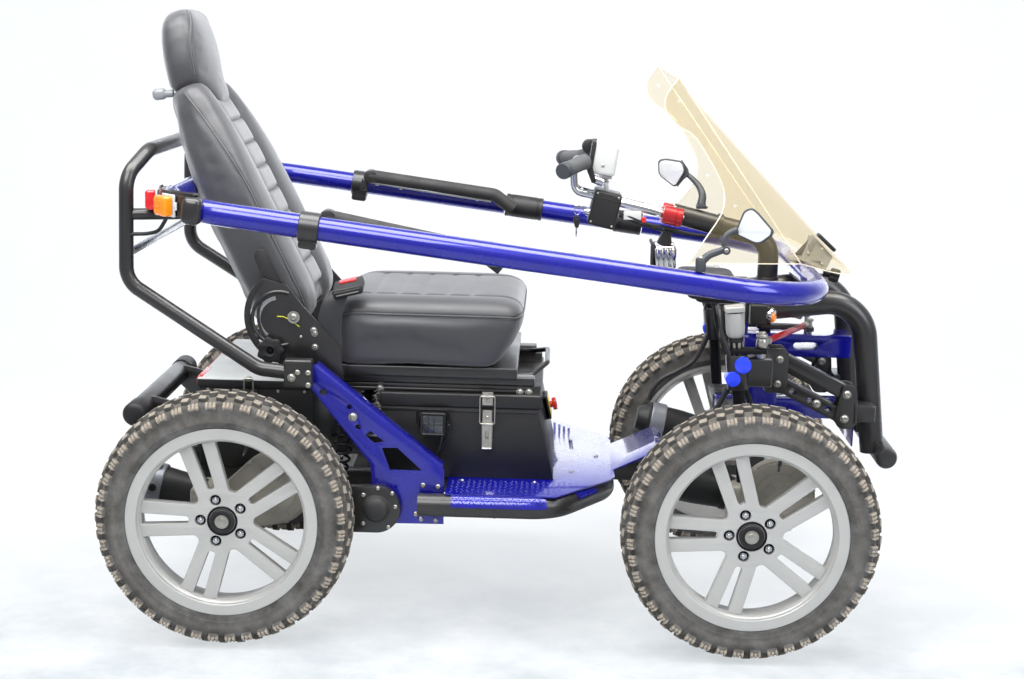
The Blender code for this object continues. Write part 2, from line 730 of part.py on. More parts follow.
def make_front_carrier(name, side):
    """Make the bracket that the links carry, with the kingpin's sleeve."""
    upper = link_ends(LINK_FRONT_UPPER)[1]
    lower = link_ends(LINK_FRONT_LOWER)[1]
    back = upper[0] - 0.030
    outline = [(back, lower[1] - 0.022), (lower[0] + 0.018, lower[1] - 0.022), (upper[0] + 0.020, lower[1] + 0.010),
               (upper[0] + 0.020, upper[1] + 0.014), (upper[0] + 0.008, upper[1] + 0.024), (back, upper[1] + 0.024)]
    near, far = cheek_pair(outline, side)
    reach = LINK_WIDTH / 2 + CHEEK
    web = block((back + 0.001, side * LINK_Y - reach + 0.002, lower[1] - 0.021),
                (back + 0.007, side * LINK_Y + reach - 0.002, upper[1] + 0.023))
    low = (kingpin(SLEEVE_LOW), side * KINGPIN_Y, SLEEVE_LOW)
    high = (kingpin(SLEEVE_HIGH), side * KINGPIN_Y, SLEEVE_HIGH)
    sleeve = rod(low, high, KINGPIN_RADIUS + 0.011, 12)
    arm_low = (kingpin(SLEEVE_LOW) + 0.006, side * (LINK_Y + reach - 0.004), SLEEVE_LOW + 0.006)
    arm_high = (back + 0.004, side * (KINGPIN_Y + 0.010), SLEEVE_HIGH - 0.006)
    bridge = block(arm_low, arm_high, 0.004)
    bore_low = (kingpin(SLEEVE_LOW - 0.02), side * KINGPIN_Y, SLEEVE_LOW - 0.02)
    bore_high = (kingpin(SLEEVE_HIGH + 0.02), side * KINGPIN_Y, SLEEVE_HIGH + 0.02)
    carrier = join(near, web, far, bridge, sleeve, *link_pins([upper, lower], side))
    carrier = cut(carrier, rod(bore_low, bore_high, (KINGPIN_RADIUS + GAP) / math.cos(math.pi / 12), 12))
    return piece(carrier, name, "black", (lower[0], side * LINK_Y, lower[1]))


def tie_rod_ends(side):
    """Give the tie rod's outer ball and its inner end, short of the drop arm's stud."""
    outer = Vector((kingpin(TIE_ROD_Z - 0.018) + STEER_ARM, side * KINGPIN_Y, TIE_ROD_Z))
    stud = Vector((COLUMN_X + PITMAN, side * 0.030, TIE_ROD_Z))
    run = (stud - outer).normalized()
    return outer, stud - run * 0.024


def make_tie_rod(name, side):
    """Make a tie rod with its ball joint housing."""
    outer, inner = tie_rod_ends(side)
    low = outer - Vector((0, 0, 0.0128 - GAP))
    housing = rod(low, outer + Vector((0, 0, 0.014)), 0.012, 16)
    shaft = rod(outer, inner, TIE_ROD_RADIUS, 12)
    neck = outer + (inner - outer).normalized() * 0.040
    sleeve = rod(outer, neck, 0.0075, 6)
    return piece(join(housing, sleeve, shaft), name, "red", outer)


def make_chassis():
    """Make the welded floor frame: floor tube, sills, cross tubes and keel."""
    y = FLOOR_TUBE_Y
    nose_y = 0.150
    half = [(FLOOR_TUBE_REAR, -y, FLOOR_TUBE_Z), (0.110, -y, FLOOR_TUBE_Z),
            (FLOOR_TUBE_FRONT, -nose_y - 0.03, FLOOR_TUBE_Z), (FLOOR_TUBE_FRONT, 0, FLOOR_TUBE_Z)]
    path = rounded(half, 0.10, 4)[:-1]
    path += [Vector((p.x, -p.y, p.z)) for p in reversed(path)]
    frame = tube(path, FLOOR_TUBE_RADIUS, 3)
    sill_top = FOOTPLATE_Z - GAP
    sill_low = sill_top - SILL_HEIGHT
    sills = [block((REAR_BOX_REAR + 0.010, side * (SILL_Y - SILL_WIDTH / 2), sill_low),
                   (FLOOR_TUBE_FRONT, side * (SILL_Y + SILL_WIDTH / 2), sill_top)) for side in SIDES.values()]
    shaft_end = SIDE_PLATE_Y + PLATE + GAP + 0.010
    shaft = rod((ARM_PIVOT[0], -shaft_end, ARM_PIVOT[1]), (ARM_PIVOT[0], shaft_end, ARM_PIVOT[1]), PIVOT_SHAFT_RADIUS, 16)
    rear_cross = block((REAR_BOX_REAR + 0.014, -SILL_Y, sill_low + 0.004), (REAR_BOX_REAR + 0.050, SILL_Y, sill_top - 0.004))
    front_cross = block((-0.130, -FLOOR_TUBE_Y + 0.008, sill_low + 0.008), (-0.100, FLOOR_TUBE_Y - 0.008, sill_top - 0.008))
    keel = block((FLOOR_TUBE_FRONT - 0.010, -0.022, FLOOR_TUBE_Z - 0.022), (COLUMN_X + 0.015, 0.022, FLOOR_TUBE_Z + 0.022))
    riser = block((COLUMN_X - 0.030, -0.021, FLOOR_TUBE_Z), (COLUMN_X + 0.012, 0.021, NOSE_SPINE_LOW - GAP))
    frame = join(frame, *sills, shaft, rear_cross, front_cross, keel, riser)
    for side in SIDES.values():
        frame = join(frame, *frame_side(side))
    return piece(frame, "chassis_frame", "black")


def frame_side(side):
    """Make what one side of the floor frame carries: pivot housing, tube flange and bumper plate."""
    outer = side * (SIDE_PLATE_Y + PLATE + GAP)
    pivot_x, pivot_z = ARM_PIVOT
    housing = rod((pivot_x, outer, pivot_z), (pivot_x, outer + side * 0.020, pivot_z), 0.054, 20)
    dome = rod((pivot_x, outer + side * 0.018, pivot_z), (pivot_x, outer + side * 0.042, pivot_z), 0.029, 14, 0.019)
    shapes = [housing, dome]
    flange_low = (FLOOR_TUBE_REAR - 0.006, outer, FLOOR_TUBE_Z - 0.046)
    flange_high = (FLOOR_TUBE_REAR + 0.050, outer + side * 0.006, FLOOR_TUBE_Z + 0.046)
    shapes.append(block(flange_low, flange_high))
    bumper_plate = [(REAR_BOX_REAR + 0.060, FOOTPLATE_Z - 0.040), (REAR_BOX_REAR + 0.060, FOOTPLATE_Z - GAP),
                    (REAR_BOX_REAR - 0.002, FOOTPLATE_Z + 0.010), (REAR_BOX_REAR - 0.004, FOOTPLATE_Z + 0.110),
                    (REAR_BOX_REAR - 0.040, FOOTPLATE_Z + 0.110), (REAR_BOX_REAR - 0.040, FOOTPLATE_Z + 0.020),
                    (REAR_BOX_REAR + 0.004, FOOTPLATE_Z - 0.040)]
    shapes.append(moved(outline_plate(bumper_plate, 0.012), (0, side * SILL_Y, 0)))
    return shapes


def make_side_plate(name, side):
    """Make a blue side plate with its sloping flange, windows, holes and shock pin."""
    outline = [(-0.4665, 0.598), (-0.4245, 0.609), (-0.1365, 0.381), (-0.1345, 0.376), (-0.1345, 0.252),
               (-0.3345, 0.250), (-0.2955, 0.350), (-0.3000, 0.388)]
    windows = [
        [(-0.312, 0.452), (-0.300, 0.462), (-0.268, 0.438), (-0.290, 0.434)],
        [(-0.274, 0.424), (-0.240, 0.425), (-0.184, 0.374), (-0.256, 0.374)],
        circle(ARM_PIVOT, PIVOT_SHAFT_RADIUS + GAP, 16),
        circle((-0.405, 0.547), 0.008, 10), circle((-0.347, 0.515), 0.006, 8), circle((-0.327, 0.470), 0.006, 8)]
    middle = SIDE_PLATE_Y + PLATE / 2
    plate = moved(outline_plate(outline, PLATE, windows), (0, side * middle, 0))
    top, foot = Vector((-0.4245, 0, 0.609)), Vector((-0.1365, 0, 0.381))
    normal = Vector((foot.z - top.z, 0, top.x - foot.x)).normalized() * -0.0018
    slack = (foot - top).normalized() * 0.004
    flange = bar(top + normal + slack, foot + normal - slack, 0.036, 0.005)
    flange = moved(flange, (0, side * (SIDE_PLATE_Y + PLATE - 0.0185), 0))
    pin_x, pin_z = SHOCK_TOP
    pin = rod((pin_x, side * (SIDE_PLATE_Y + 0.001), pin_z), (pin_x, side * (SHOCK_Y - SHOCK_EYE_WIDTH / 2 - 0.003), pin_z),
              SHOCK_PIN_RADIUS, 12)
    plate = join(plate, flange, pin)
    return piece(plate, name, "blue")


def make_footplate():
    """Make the floor plate with its running boards and the upright toe board."""
    low, high = FOOTPLATE_Z, FOOTPLATE_Z + FOOTPLATE_THICKNESS
    front = FLOOR_TUBE_FRONT + FLOOR_TUBE_RADIUS
    wide, narrow = FLOOR_TUBE_Y + 0.010, 0.190
    half = [(-0.130, wide), (0.115, wide), (front - 0.012, narrow + 0.020), (front, narrow - 0.010)]
    outline = [(x, -y) for x, y in half] + [(x, y) for x, y in reversed(half)]
    floor = floor_plate(outline, low, high)
    toe = bar((front - 0.004, 0, high - 0.0015), (front + 0.100, 0, TOE_BOARD_TOP), 2 * TOE_BOARD_HALF, 0.003)
    lip = bar((front + 0.098, 0, TOE_BOARD_TOP), (front + 0.116, 0, TOE_BOARD_TOP - 0.006), 2 * TOE_BOARD_HALF, 0.003)
    return piece(join(floor, toe, lip), "footplate", "blue")


def tapered_box(low, high, front_foot):
    """Make a box whose front face leans out to its foot."""
    outline = [(low[0], low[2]), (front_foot, low[2]), (high[0], high[2]), (low[0], high[2])]
    return moved(outline_plate(outline, high[1] - low[1]), (0, (low[1] + high[1]) / 2, 0))


def switch_place():
    """Give the middle of the battery box's switch, on its leaning front face, and the face's outward direction."""
    share = (BOX_TOP - SWITCH_Z) / (BOX_TOP - FOOTPLATE_Z)
    spot = Vector((BOX_FRONT_TOP + (BOX_FRONT_FOOT - BOX_FRONT_TOP) * share, 0, SWITCH_Z))
    ahead = Vector((BOX_TOP - FOOTPLATE_Z, 0, BOX_FRONT_FOOT - BOX_FRONT_TOP)).normalized()
    return spot, ahead


def make_battery_box():
    """Make the battery box as an open shell, with the switch housing on its front and the latches' feet."""
    floor = FOOTPLATE_Z + FOOTPLATE_THICKNESS + GAP
    outer = tapered_box((BOX_REAR, -BOX_HALF, floor), (BOX_FRONT_TOP, BOX_HALF, BOX_TOP), BOX_FRONT_FOOT)
    inner_low = (BOX_REAR + BOX_WALL, BOX_WALL - BOX_HALF, floor + BOX_WALL)
    inner_high = (BOX_FRONT_TOP - BOX_WALL, BOX_HALF - BOX_WALL, BOX_TOP + 0.010)
    shell = cut(outer, tapered_box(inner_low, inner_high, BOX_FRONT_FOOT - BOX_WALL))
    spot, ahead = switch_place()
    housing = bar(spot - ahead * 0.001, spot + ahead * SWITCH_DEPTH, 0.064, 0.056)
    shell = join(shell, housing)
    shell = cut(shell, rod(spot + ahead * (SWITCH_DEPTH - 0.010), spot + ahead * (SWITCH_DEPTH + 0.010), BUTTON_STEM + GAP, 12))
    for side in SIDES.values():
        foot = block((LATCH_X - 0.014, side * (BOX_HALF - 0.001), LATCH_LOW - 0.030), (LATCH_X + 0.014, side * (BOX_HALF + 0.0045), LATCH_LOW - 0.004))
        shell = join(shell, foot)
    return piece(shell, "battery_box", "black")


def make_latch(name, side):
    """Make a draw latch: lever with a turned-out tip, and the link that hooks over the lid's lip."""
    y = side * (BOX_HALF + 0.0065)
    lever = block((LATCH_X - 0.013, y - 0.0015, LATCH_LOW - 0.010), (LATCH_X + 0.013, y + 0.0015, LATCH_LOW + 0.062))
    wide = block((LATCH_X - 0.020, y - 0.0010, LATCH_LOW + 0.058), (LATCH_X + 0.020, y + 0.0010, LATCH_LOW + 0.106))
    tip = block((LATCH_X - 0.009, y - 0.001, LATCH_LOW - 0.026), (LATCH_X + 0.009, y + 0.001, LATCH_LOW - 0.008))
    hook = rod((LATCH_X - 0.017, y + side * 0.002, LATCH_LOW + 0.104), (LATCH_X + 0.017, y + side * 0.002, LATCH_LOW + 0.104), 0.0035, 8)
    slot = block((LATCH_X - 0.012, y - 0.010, LATCH_LOW + 0.070), (LATCH_X + 0.012, y + 0.010, LATCH_LOW + 0.094))
    latch = cut(join(lever, wide, tip, hook), slot)
    return piece(latch, name, "chrome", (LATCH_X, y, LATCH_LOW - 0.025))


def make_stop_button():
    """Make the red stop button with its stem, on the switch housing."""
    spot, ahead = switch_place()
    face = spot + ahead * SWITCH_DEPTH
    stem = rod(face - ahead * (BUTTON_TRAVEL - 0.0010), face + ahead * (BUTTON_TRAVEL + 0.002), BUTTON_STEM, 12)
    head = rod(face + ahead * (BUTTON_TRAVEL + 0.001), face + ahead * (BUTTON_TRAVEL + 0.008), BUTTON_RADIUS, 14)
    crown = rod(face + ahead * (BUTTON_TRAVEL + 0.007), face + ahead * (BUTTON_TRAVEL + 0.011), BUTTON_RADIUS - 0.001, 14, BUTTON_RADIUS * 0.7)
    return piece(join(head, stem, crown), "stop_button", "red", face)


def make_battery_pack():
    """Make the two batteries, strapped as one pack."""
    floor = FOOTPLATE_Z + FOOTPLATE_THICKNESS + BOX_WALL + 2 * GAP
    front = block((-0.075, -0.165, floor), (0.055, 0.165, floor + 0.120), 0.004)
    rear = block((-0.245, -0.165, floor), (-0.085, 0.165, floor + 0.120), 0.004)
    strap = block((-0.240, -0.020, floor + 0.040), (0.050, 0.020, floor + 0.124), 0.002)
    return piece(join(front, rear, strap), "battery_pack", "grey")


def make_battery_lid():
    """Make the box's lid with its lip and the fixed seat rails bolted on it."""
    base = BOX_TOP + GAP
    lid = block((BOX_REAR - 0.004, -BOX_HALF - 0.004, base), (BOX_FRONT_TOP + 0.008, BOX_HALF + 0.004, LID_TOP), 0.003)
    rails = [block((BOX_REAR + 0.004, side * RAIL_INNER, LID_TOP - 0.002), (BOX_FRONT_TOP + 0.004, side * RAIL_OUTER, RUNNER_LOW - GAP))
             for side in SIDES.values()]
    return piece(join(lid, *rails), "battery_lid", "black")


def make_rear_box():
    """Make the rear box as an open shell."""
    outer = block((REAR_BOX_REAR, -BOX_HALF - 0.006, REAR_BOX_FLOOR), (REAR_BOX_FRONT, BOX_HALF + 0.006, REAR_BOX_TOP))
    inner = block((REAR_BOX_REAR + BOX_WALL, -BOX_HALF - 0.006 + BOX_WALL, REAR_BOX_FLOOR + BOX_WALL),
                  (REAR_BOX_FRONT - BOX_WALL, BOX_HALF + 0.006 - BOX_WALL, REAR_BOX_TOP + 0.010))
    feet = [block((REAR_BOX_REAR + 0.064, side * (SILL_Y - 0.015), FOOTPLATE_Z), (REAR_BOX_FRONT - 0.050, side * (SILL_Y + 0.015),
                                                                              REAR_BOX_FLOOR + 0.001)) for side in SIDES.values()]
    return piece(join(cut(outer, inner), *feet), "rear_box", "black")


def make_rear_lid():
    """Make the rear box's lid, hinged along its rear edge."""
    low = REAR_BOX_TOP + GAP
    lid = block((REAR_BOX_REAR - 0.004, -BOX_HALF - 0.010, low), (REAR_BOX_FRONT + 0.004, BOX_HALF + 0.010, REAR_LID_TOP), 0.003)
    return piece(lid, "rear_box_lid", "grey", (REAR_BOX_REAR - 0.004, 0, low))


def make_rear_bumper():
    """Make the rear bumper bar with its end caps and side straps."""
    bumper = rod((REAR_BAR_X, -REAR_BAR_HALF, REAR_BAR_Z), (REAR_BAR_X, REAR_BAR_HALF, REAR_BAR_Z), 0.025, 14)
    caps = [rod((REAR_BAR_X, side * (REAR_BAR_HALF - 0.003), REAR_BAR_Z), (REAR_BAR_X, side * (REAR_BAR_HALF + 0.012), REAR_BAR_Z),
                0.0235, 10, 0.016) for side in SIDES.values()]
    straps = []
    for side in SIDES.values():
        strap = [(REAR_BAR_X - 0.010, REAR_BAR_Z + 0.014), (REAR_BAR_X + 0.020, REAR_BAR_Z + 0.022),
                 (REAR_BOX_REAR - 0.005, FOOTPLATE_Z + 0.135), (REAR_BOX_REAR - 0.005, FOOTPLATE_Z + 0.030),
                 (REAR_BOX_REAR - 0.040, FOOTPLATE_Z + 0.030), (REAR_BAR_X, REAR_BAR_Z - 0.020)]
        straps.append(moved(outline_plate(strap, 0.008), (0, side * (SILL_Y + 0.010 + GAP), 0)))
    return piece(join(bumper, *caps, *straps), "rear_bumper", "black")


def make_rear_hoop():
    """Make the rear hoop: top bar, legs that sweep forward, cross bar, brackets and end blocks."""
    end_y = SIDE_PLATE_Y + PLATE + GAP + HOOP_RADIUS
    half = [(-0.482, -end_y, 0.594), (-0.545, -end_y, 0.600), (HOOP_BACK, -HOOP_HALF, 0.785),
            (HOOP_BACK + 0.004, -HOOP_HALF, HOOP_TOP - 0.051), (HOOP_BACK + 0.036, -HOOP_HALF + 0.075, HOOP_TOP),
            (HOOP_BACK + 0.036, 0, HOOP_TOP)]
    path = rounded(half, 0.055, 2)[:-1]
    path += [Vector((p.x, -p.y, p.z)) for p in reversed(path)]
    hoop = tube(path, HOOP_RADIUS, 2)
    cross = rod((HOOP_BACK + 0.010, -HOOP_HALF, 0.850), (HOOP_BACK + 0.010, HOOP_HALF, 0.850), 0.009, 8)
    hoop = join(hoop, cross)
    for side in SIDES.values():
        stay_z = loop_z(LOOP_REAR) - LOOP_RADIUS - 0.0128
        hoop = join(hoop, *hoop_lamps(side))
        stay = rod((HOOP_BACK, side * (HOOP_HALF - 0.002), stay_z), (LOOP_REAR + 0.020, side * (HOOP_HALF - 0.040), stay_z), 0.0128, 8)
        hoop = join(hoop, stay)
        outer = side * (SIDE_PLATE_Y + PLATE + GAP)
        end = block((-0.500, outer, 0.560), (-0.437, outer + side * 0.032, 0.622))
        hoop = join(hoop, end)
    return piece(hoop, "rear_hoop", "black")


def loop_path():
    """Give the loop's route, from the gate's front end round the nose and the rear to the gate's rear end."""
    y = LOOP_HALF
    corners = [(GATE_FRONT + 0.0012, y), (LOOP_NOSE, y), (LOOP_NOSE, -y), (LOOP_REAR, -y), (LOOP_REAR, y), (GATE_REAR - 0.0012, y)]
    flat = [Vector((x, side, 0)) for x, side in corners]
    nose = rounded(flat[:3] + [flat[3]], LOOP_NOSE_BEND, 4)
    tail = rounded(flat[2:], LOOP_REAR_BEND, 4)
    route = nose[:-1] + tail[1:]
    return [Vector((p.x, p.y, loop_z(p.x))) for p in route]


def make_loop_rail():
    """Make the blue loop with its armrest clamps, open on the left for the gate."""
    rail = tube(loop_path(), LOOP_RADIUS, 3)
    for side in SIDES.values():
        x = -0.414
        middle = (x, side * (LOOP_HALF - 0.002), loop_z(x))
        clamp = block((x - 0.021, middle[1] - 0.034, middle[2] - 0.040), (x + 0.021, middle[1] + 0.034, middle[2] + 0.040), 0, 6.9)
        rail = join(rail, clamp)
    ears = [block((GATE_FRONT + 0.0040, LOOP_HALF + 0.010, loop_z(GATE_FRONT) + low),
                  (GATE_FRONT + 0.020, LOOP_HALF + 0.038, loop_z(GATE_FRONT) + low + 0.006)) for low in (-0.016, 0.006)]
    pin_x = GATE_FRONT + 0.012
    pin = rod((pin_x, LOOP_HALF + 0.032, loop_z(GATE_FRONT) - 0.018), (pin_x, LOOP_HALF + 0.032, loop_z(GATE_FRONT) + 0.014), 0.0030, 10)
    return piece(join(rail, *ears, pin), "loop_rail", "blue")


def make_gate():
    """Make the side gate, a hinged length of the left tube with grips at its ends."""
    y = LOOP_HALF
    start = Vector((GATE_REAR, y, loop_z(GATE_REAR)))
    end = Vector((GATE_FRONT, y, loop_z(GATE_FRONT)))
    run = (end - start).normalized()
    gate = rod(start, end, LOOP_RADIUS, 12)
    grip = rod(start + run * 0.002, start + run * 0.098, LOOP_RADIUS + 0.0012, 12)
    coupling = rod(end - run * 0.075, end - run * 0.002, LOOP_RADIUS + 0.0012, 12)
    knuckle_z = loop_z(GATE_FRONT) - 0.0095
    arm = block((GATE_FRONT - 0.020, y + 0.014, knuckle_z), (GATE_FRONT - 0.001, y + 0.038, knuckle_z + 0.0145))
    tongue = block((GATE_FRONT - 0.006, y + 0.0275, knuckle_z + 0.001), (GATE_FRONT + 0.008, y + 0.037, knuckle_z + 0.0135))
    eye = rod((GATE_FRONT + 0.012, y + 0.032, knuckle_z), (GATE_FRONT + 0.012, y + 0.032, knuckle_z + 0.0145), 0.0062, 12)
    hole = rod((GATE_FRONT + 0.012, y + 0.032, knuckle_z - 0.01), (GATE_FRONT + 0.012, y + 0.032, knuckle_z + 0.03), 0.0034, 10)
    gate = cut(join(gate, grip, coupling, arm, tongue, eye), hole)
    return piece(gate, "gate_rail", "blue", (GATE_FRONT + 0.012, y + 0.032, loop_z(GATE_FRONT)))


def make_nose_frame():
    """Make the blue nose frame: spine, tower, beam and the steering bearing."""
    x = COLUMN_X
    spine = cut(block((x - 0.110, -0.023, NOSE_SPINE_LOW), (x + 0.202, 0.023, NOSE_SPINE_HIGH)),
                block((x - 0.120, -0.019, NOSE_SPINE_LOW + 0.004), (x - 0.040, 0.019, NOSE_SPINE_HIGH - 0.004)))
    tower = block((x - 0.034, -0.030, NOSE_SPINE_HIGH - 0.010), (x + 0.032, 0.030, BEAM_LOW + 0.010))
    slot = two_circles((x + 0.072, 0.626), 0.009, (x + 0.112, 0.626), 0.009, 5)
    beam = cut(block((x - 0.052, -0.045, BEAM_LOW), (x + 0.198, 0.045, BEAM_HIGH)), outline_plate(slot, 0.2))
    web = block((x - 0.0535, -0.040, BEAM_HIGH - 0.010), (x - 0.044, 0.040, 0.760))
    head = rod((x, 0, 0.712), (x, 0, 0.762), COLUMN_SHAFT_RADIUS + 0.014, 16)
    neck = block((x - 0.050, -0.022, 0.716), (x - 0.014, 0.022, 0.758))
    frame = join(spine, tower, beam, web, neck, head)
    bore = rod((COLUMN_X, 0, BEAM_HIGH - 0.014), (COLUMN_X, 0, 0.80), COLUMN_SHAFT_RADIUS + GAP, 16)
    return piece(cut(frame, bore), "nose_frame", "blue")


def make_front_bumper():
    """Make the front bumper: hoop, bottom bar, loop saddles and the links' front cheeks."""
    rear = COLUMN_X - 0.054
    half = [(rear - GAP, -BUMPER_HALF, 0.726), (rear + 0.256, -BUMPER_HALF, 0.757), (BUMPER_BAR_X - 0.022, -BUMPER_HALF, BUMPER_BAR_Z)]
    legs = []
    for side in SIDES.values():
        path = [Vector((p.x, -side * p.y, p.z)) for p in rounded(half, 0.085, 4)]
        legs.append(tube(path, BUMPER_RADIUS, 3))
    bottom = rod((BUMPER_BAR_X, -BUMPER_BAR_HALF, BUMPER_BAR_Z), (BUMPER_BAR_X, BUMPER_BAR_HALF, BUMPER_BAR_Z), BUMPER_BAR_RADIUS, 14)
    ends = [rod((BUMPER_BAR_X, side * (BUMPER_BAR_HALF - 0.002), BUMPER_BAR_Z), (BUMPER_BAR_X, side * (BUMPER_BAR_HALF + 0.014), BUMPER_BAR_Z),
                BUMPER_BAR_RADIUS - 0.001, 12, BUMPER_BAR_RADIUS * 0.6) for side in SIDES.values()]
    back = block((rear - 0.013, -BUMPER_HALF - 0.026, 0.700), (rear - GAP, BUMPER_HALF + 0.026, 0.756))
    tie = block((COLUMN_X + 0.202 + GAP, -BUMPER_HALF, NOSE_SPINE_LOW - 0.004), (BUMPER_BAR_X - 0.030, BUMPER_HALF, NOSE_SPINE_HIGH + 0.010))
    bumper = join(legs[0], bottom, legs[1], *ends, back, tie)
    for side in SIDES.values():
        upper, lower = LINK_FRONT_UPPER, LINK_FRONT_LOWER
        outline = [(upper[0] - 0.008, upper[1] + 0.024), (upper[0] + 0.022, upper[1] + 0.018), (upper[0] + 0.028, lower[1]),
                   (lower[0] + 0.022, lower[1] - 0.024), (lower[0] - 0.012, lower[1] - 0.024), (lower[0] - 0.024, lower[1] - 0.004)]
        near, far = cheek_pair(outline, side)
        reach = LINK_WIDTH / 2 + CHEEK
        front = block((upper[0] + 0.0185, side * LINK_Y - reach + 0.002, lower[1] - 0.010),
                      (upper[0] + 0.0255, side * LINK_Y + reach - 0.002, upper[1] + 0.012))
        stay = block((upper[0] + 0.020, side * (BUMPER_HALF - 0.010), lower[1] - 0.008), (BUMPER_BAR_X - 0.033, side * (LINK_Y + 0.010), lower[1] + 0.030))
        saddle_z = loop_z(LOOP_NOSE) - LOOP_RADIUS
        saddle = block((LOOP_NOSE - 0.016, side * BUMPER_HALF - 0.016, saddle_z - 0.030), (LOOP_NOSE + 0.010, side * BUMPER_HALF + 0.016, saddle_z + 0.0001))
        bumper = join(bumper, near, front, far, stay, saddle, *link_pins([upper, lower], side))
    return piece(bumper, "front_bumper", "black")


def make_column():
    """Make the steering column: shaft, drop arm with its studs, swept tube, and the clamp for the tiller's rods."""
    path = rounded([(COLUMN_X, 0, 0.765), (COLUMN_X, 0, COLUMN_BEND_Z), (COLUMN_END[0], 0, COLUMN_END[1])], 0.050, 4)
    column = tube(path, COLUMN_RADIUS, 3)
    shaft = rod((COLUMN_X, 0, BEAM_HIGH - 0.012), (COLUMN_X, 0, 0.780), COLUMN_SHAFT_RADIUS, 16)
    low = PITMAN_Z - 0.020
    arm = block((COLUMN_X - 0.018, -0.018, low), (COLUMN_X + PITMAN + 0.010, 0.018, low + 0.010))
    head = block((COLUMN_X + PITMAN - 0.009, -0.038, low + 0.001), (COLUMN_X + PITMAN + 0.009, 0.038, low + 0.009))
    studs = [rod((COLUMN_X + PITMAN, side * 0.030, low + 0.005), (COLUMN_X + PITMAN, side * 0.030, PITMAN_Z + 0.010), 0.005, 8)
             for side in SIDES.values()]
    clamp = bar(tiller_point(-0.022), tiller_point(0.034), 0.090, 0.064, 0.006)
    bores = [rod(tiller_point(-0.004, side * TILLER_ROD_Y, -0.004), tiller_point(0.060, side * TILLER_ROD_Y, -0.004),
                 TILLER_ROD_RADIUS + GAP, 12) for side in SIDES.values()]
    column = cut(join(column, shaft, arm, head, *studs, clamp), *bores)
    return piece(column, "steering_column", "black", (COLUMN_X, 0, PITMAN_Z))


def tiller_point(along, y=0.0, up=0.0):
    """Give a point of the tiller, measured back along it from the column's end."""
    slope = math.radians(TILLER_SLOPE)
    back = Vector((-math.cos(slope), 0, math.sin(slope)))
    lift = Vector((math.sin(slope), 0, math.cos(slope)))
    start = Vector((COLUMN_END[0], 0, COLUMN_END[1]))
    return start + back * along + lift * up + Vector((0, y, 0))


def make_tiller():
    """Make the tiller: twin rods, control block, bars, grips and display."""
    rods = [rod(tiller_point(0.022, side * TILLER_ROD_Y, -0.004), tiller_point(0.150, side * TILLER_ROD_Y, -0.004), TILLER_ROD_RADIUS, 12)
            for side in SIDES.values()]
    centre = Vector((BLOCK_CENTRE[0], 0, BLOCK_CENTRE[1]))
    half = Vector((0.030, 0.046, 0.043))
    body = block(centre - half, centre + half, 0.006, TILLER_SLOPE)
    tiller = join(body, *rods, *display_parts())
    for side in SIDES.values():
        route = [(TILLER_X - 0.172, side * 0.030, 0.962), (TILLER_X - 0.232, side * 0.034, 0.975), (TILLER_X - 0.236, side * 0.040, 1.040),
                 (GRIP_INNER[0], side * GRIP_INNER[1], GRIP_INNER[2])]
        bent = tube(rounded(route, 0.022, 3), 0.0085, 2)
        inner = (GRIP_INNER[0], side * (GRIP_INNER[1] - 0.006), GRIP_INNER[2])
        outer = (GRIP_OUTER[0], side * GRIP_OUTER[1], GRIP_OUTER[2])
        tiller = join(tiller, bent, rod(inner, outer, GRIP_RADIUS, 12))
    return piece(tiller, "tiller", "chrome", (COLUMN_X, 0, PITMAN_Z))


def display_parts():
    """Make the display box over the control block, and its two stalks."""
    box_shape = block((TILLER_X - 0.196, -0.045, 1.012), (TILLER_X - 0.132, 0.045, 1.084), 0, 6)
    stalks = [rod((TILLER_X - 0.157, y, 0.970), (TILLER_X - 0.160, y, 1.02), 0.006, 8) for y in (-0.018, 0.018)]
    return [box_shape, *stalks]


def make_throttle():
    """Make the thumb lever ahead of the right grip."""
    x, z = LEVER_PIVOT
    lever = outline_plate(two_circles(LEVER_PIVOT, 0.008, (x + 0.014, z - 0.040), 0.006, 5), 0.008)
    return piece(moved(lever, (0, -LEVER_Y, 0)), "throttle_lever", "black", (x, -LEVER_Y, z))


def make_mirror(name, base, elbow, head, face_turn):
    """Make a mirror: foot, bent stem and head."""
    foot = rod(base, Vector(base) + Vector((0, 0, 0.016)), 0.011, 12)
    stem = tube(rounded([Vector(base) + Vector((0, 0, 0.010)), elbow, head], 0.012, 3), 0.0065, 2)
    plate = block((-0.010, -0.040, -0.037), (0.010, 0.040, 0.037), 0.008)
    plate.data.transform(Matrix.Translation(head) @ Matrix.Rotation(face_turn, 4, "Z") @ Matrix.Rotation(math.radians(-12), 4, "Y"))
    return piece(join(foot, stem, plate), name, "black", base)


def screen_point(down, across):
    """Give a point of the windscreen's front panel, from the top edge down and across from -1 to 1."""
    top, foot = Vector((SCREEN_TOP[0], 0, SCREEN_TOP[1])), Vector((LOOP_NOSE - 0.044, 0, 0.856))
    middle_foot = Vector((LOOP_NOSE + 0.1135, 0, 0.800))
    edge = top.lerp(foot, down)
    crease = top.lerp(middle_foot, down)
    half = SCREEN_HALF - 0.10 * down
    belly = 1 - across * across
    x = edge.x + (crease.x - edge.x) * belly
    z = edge.z + (crease.z - edge.z) * belly
    return Vector((x, half * across, z))


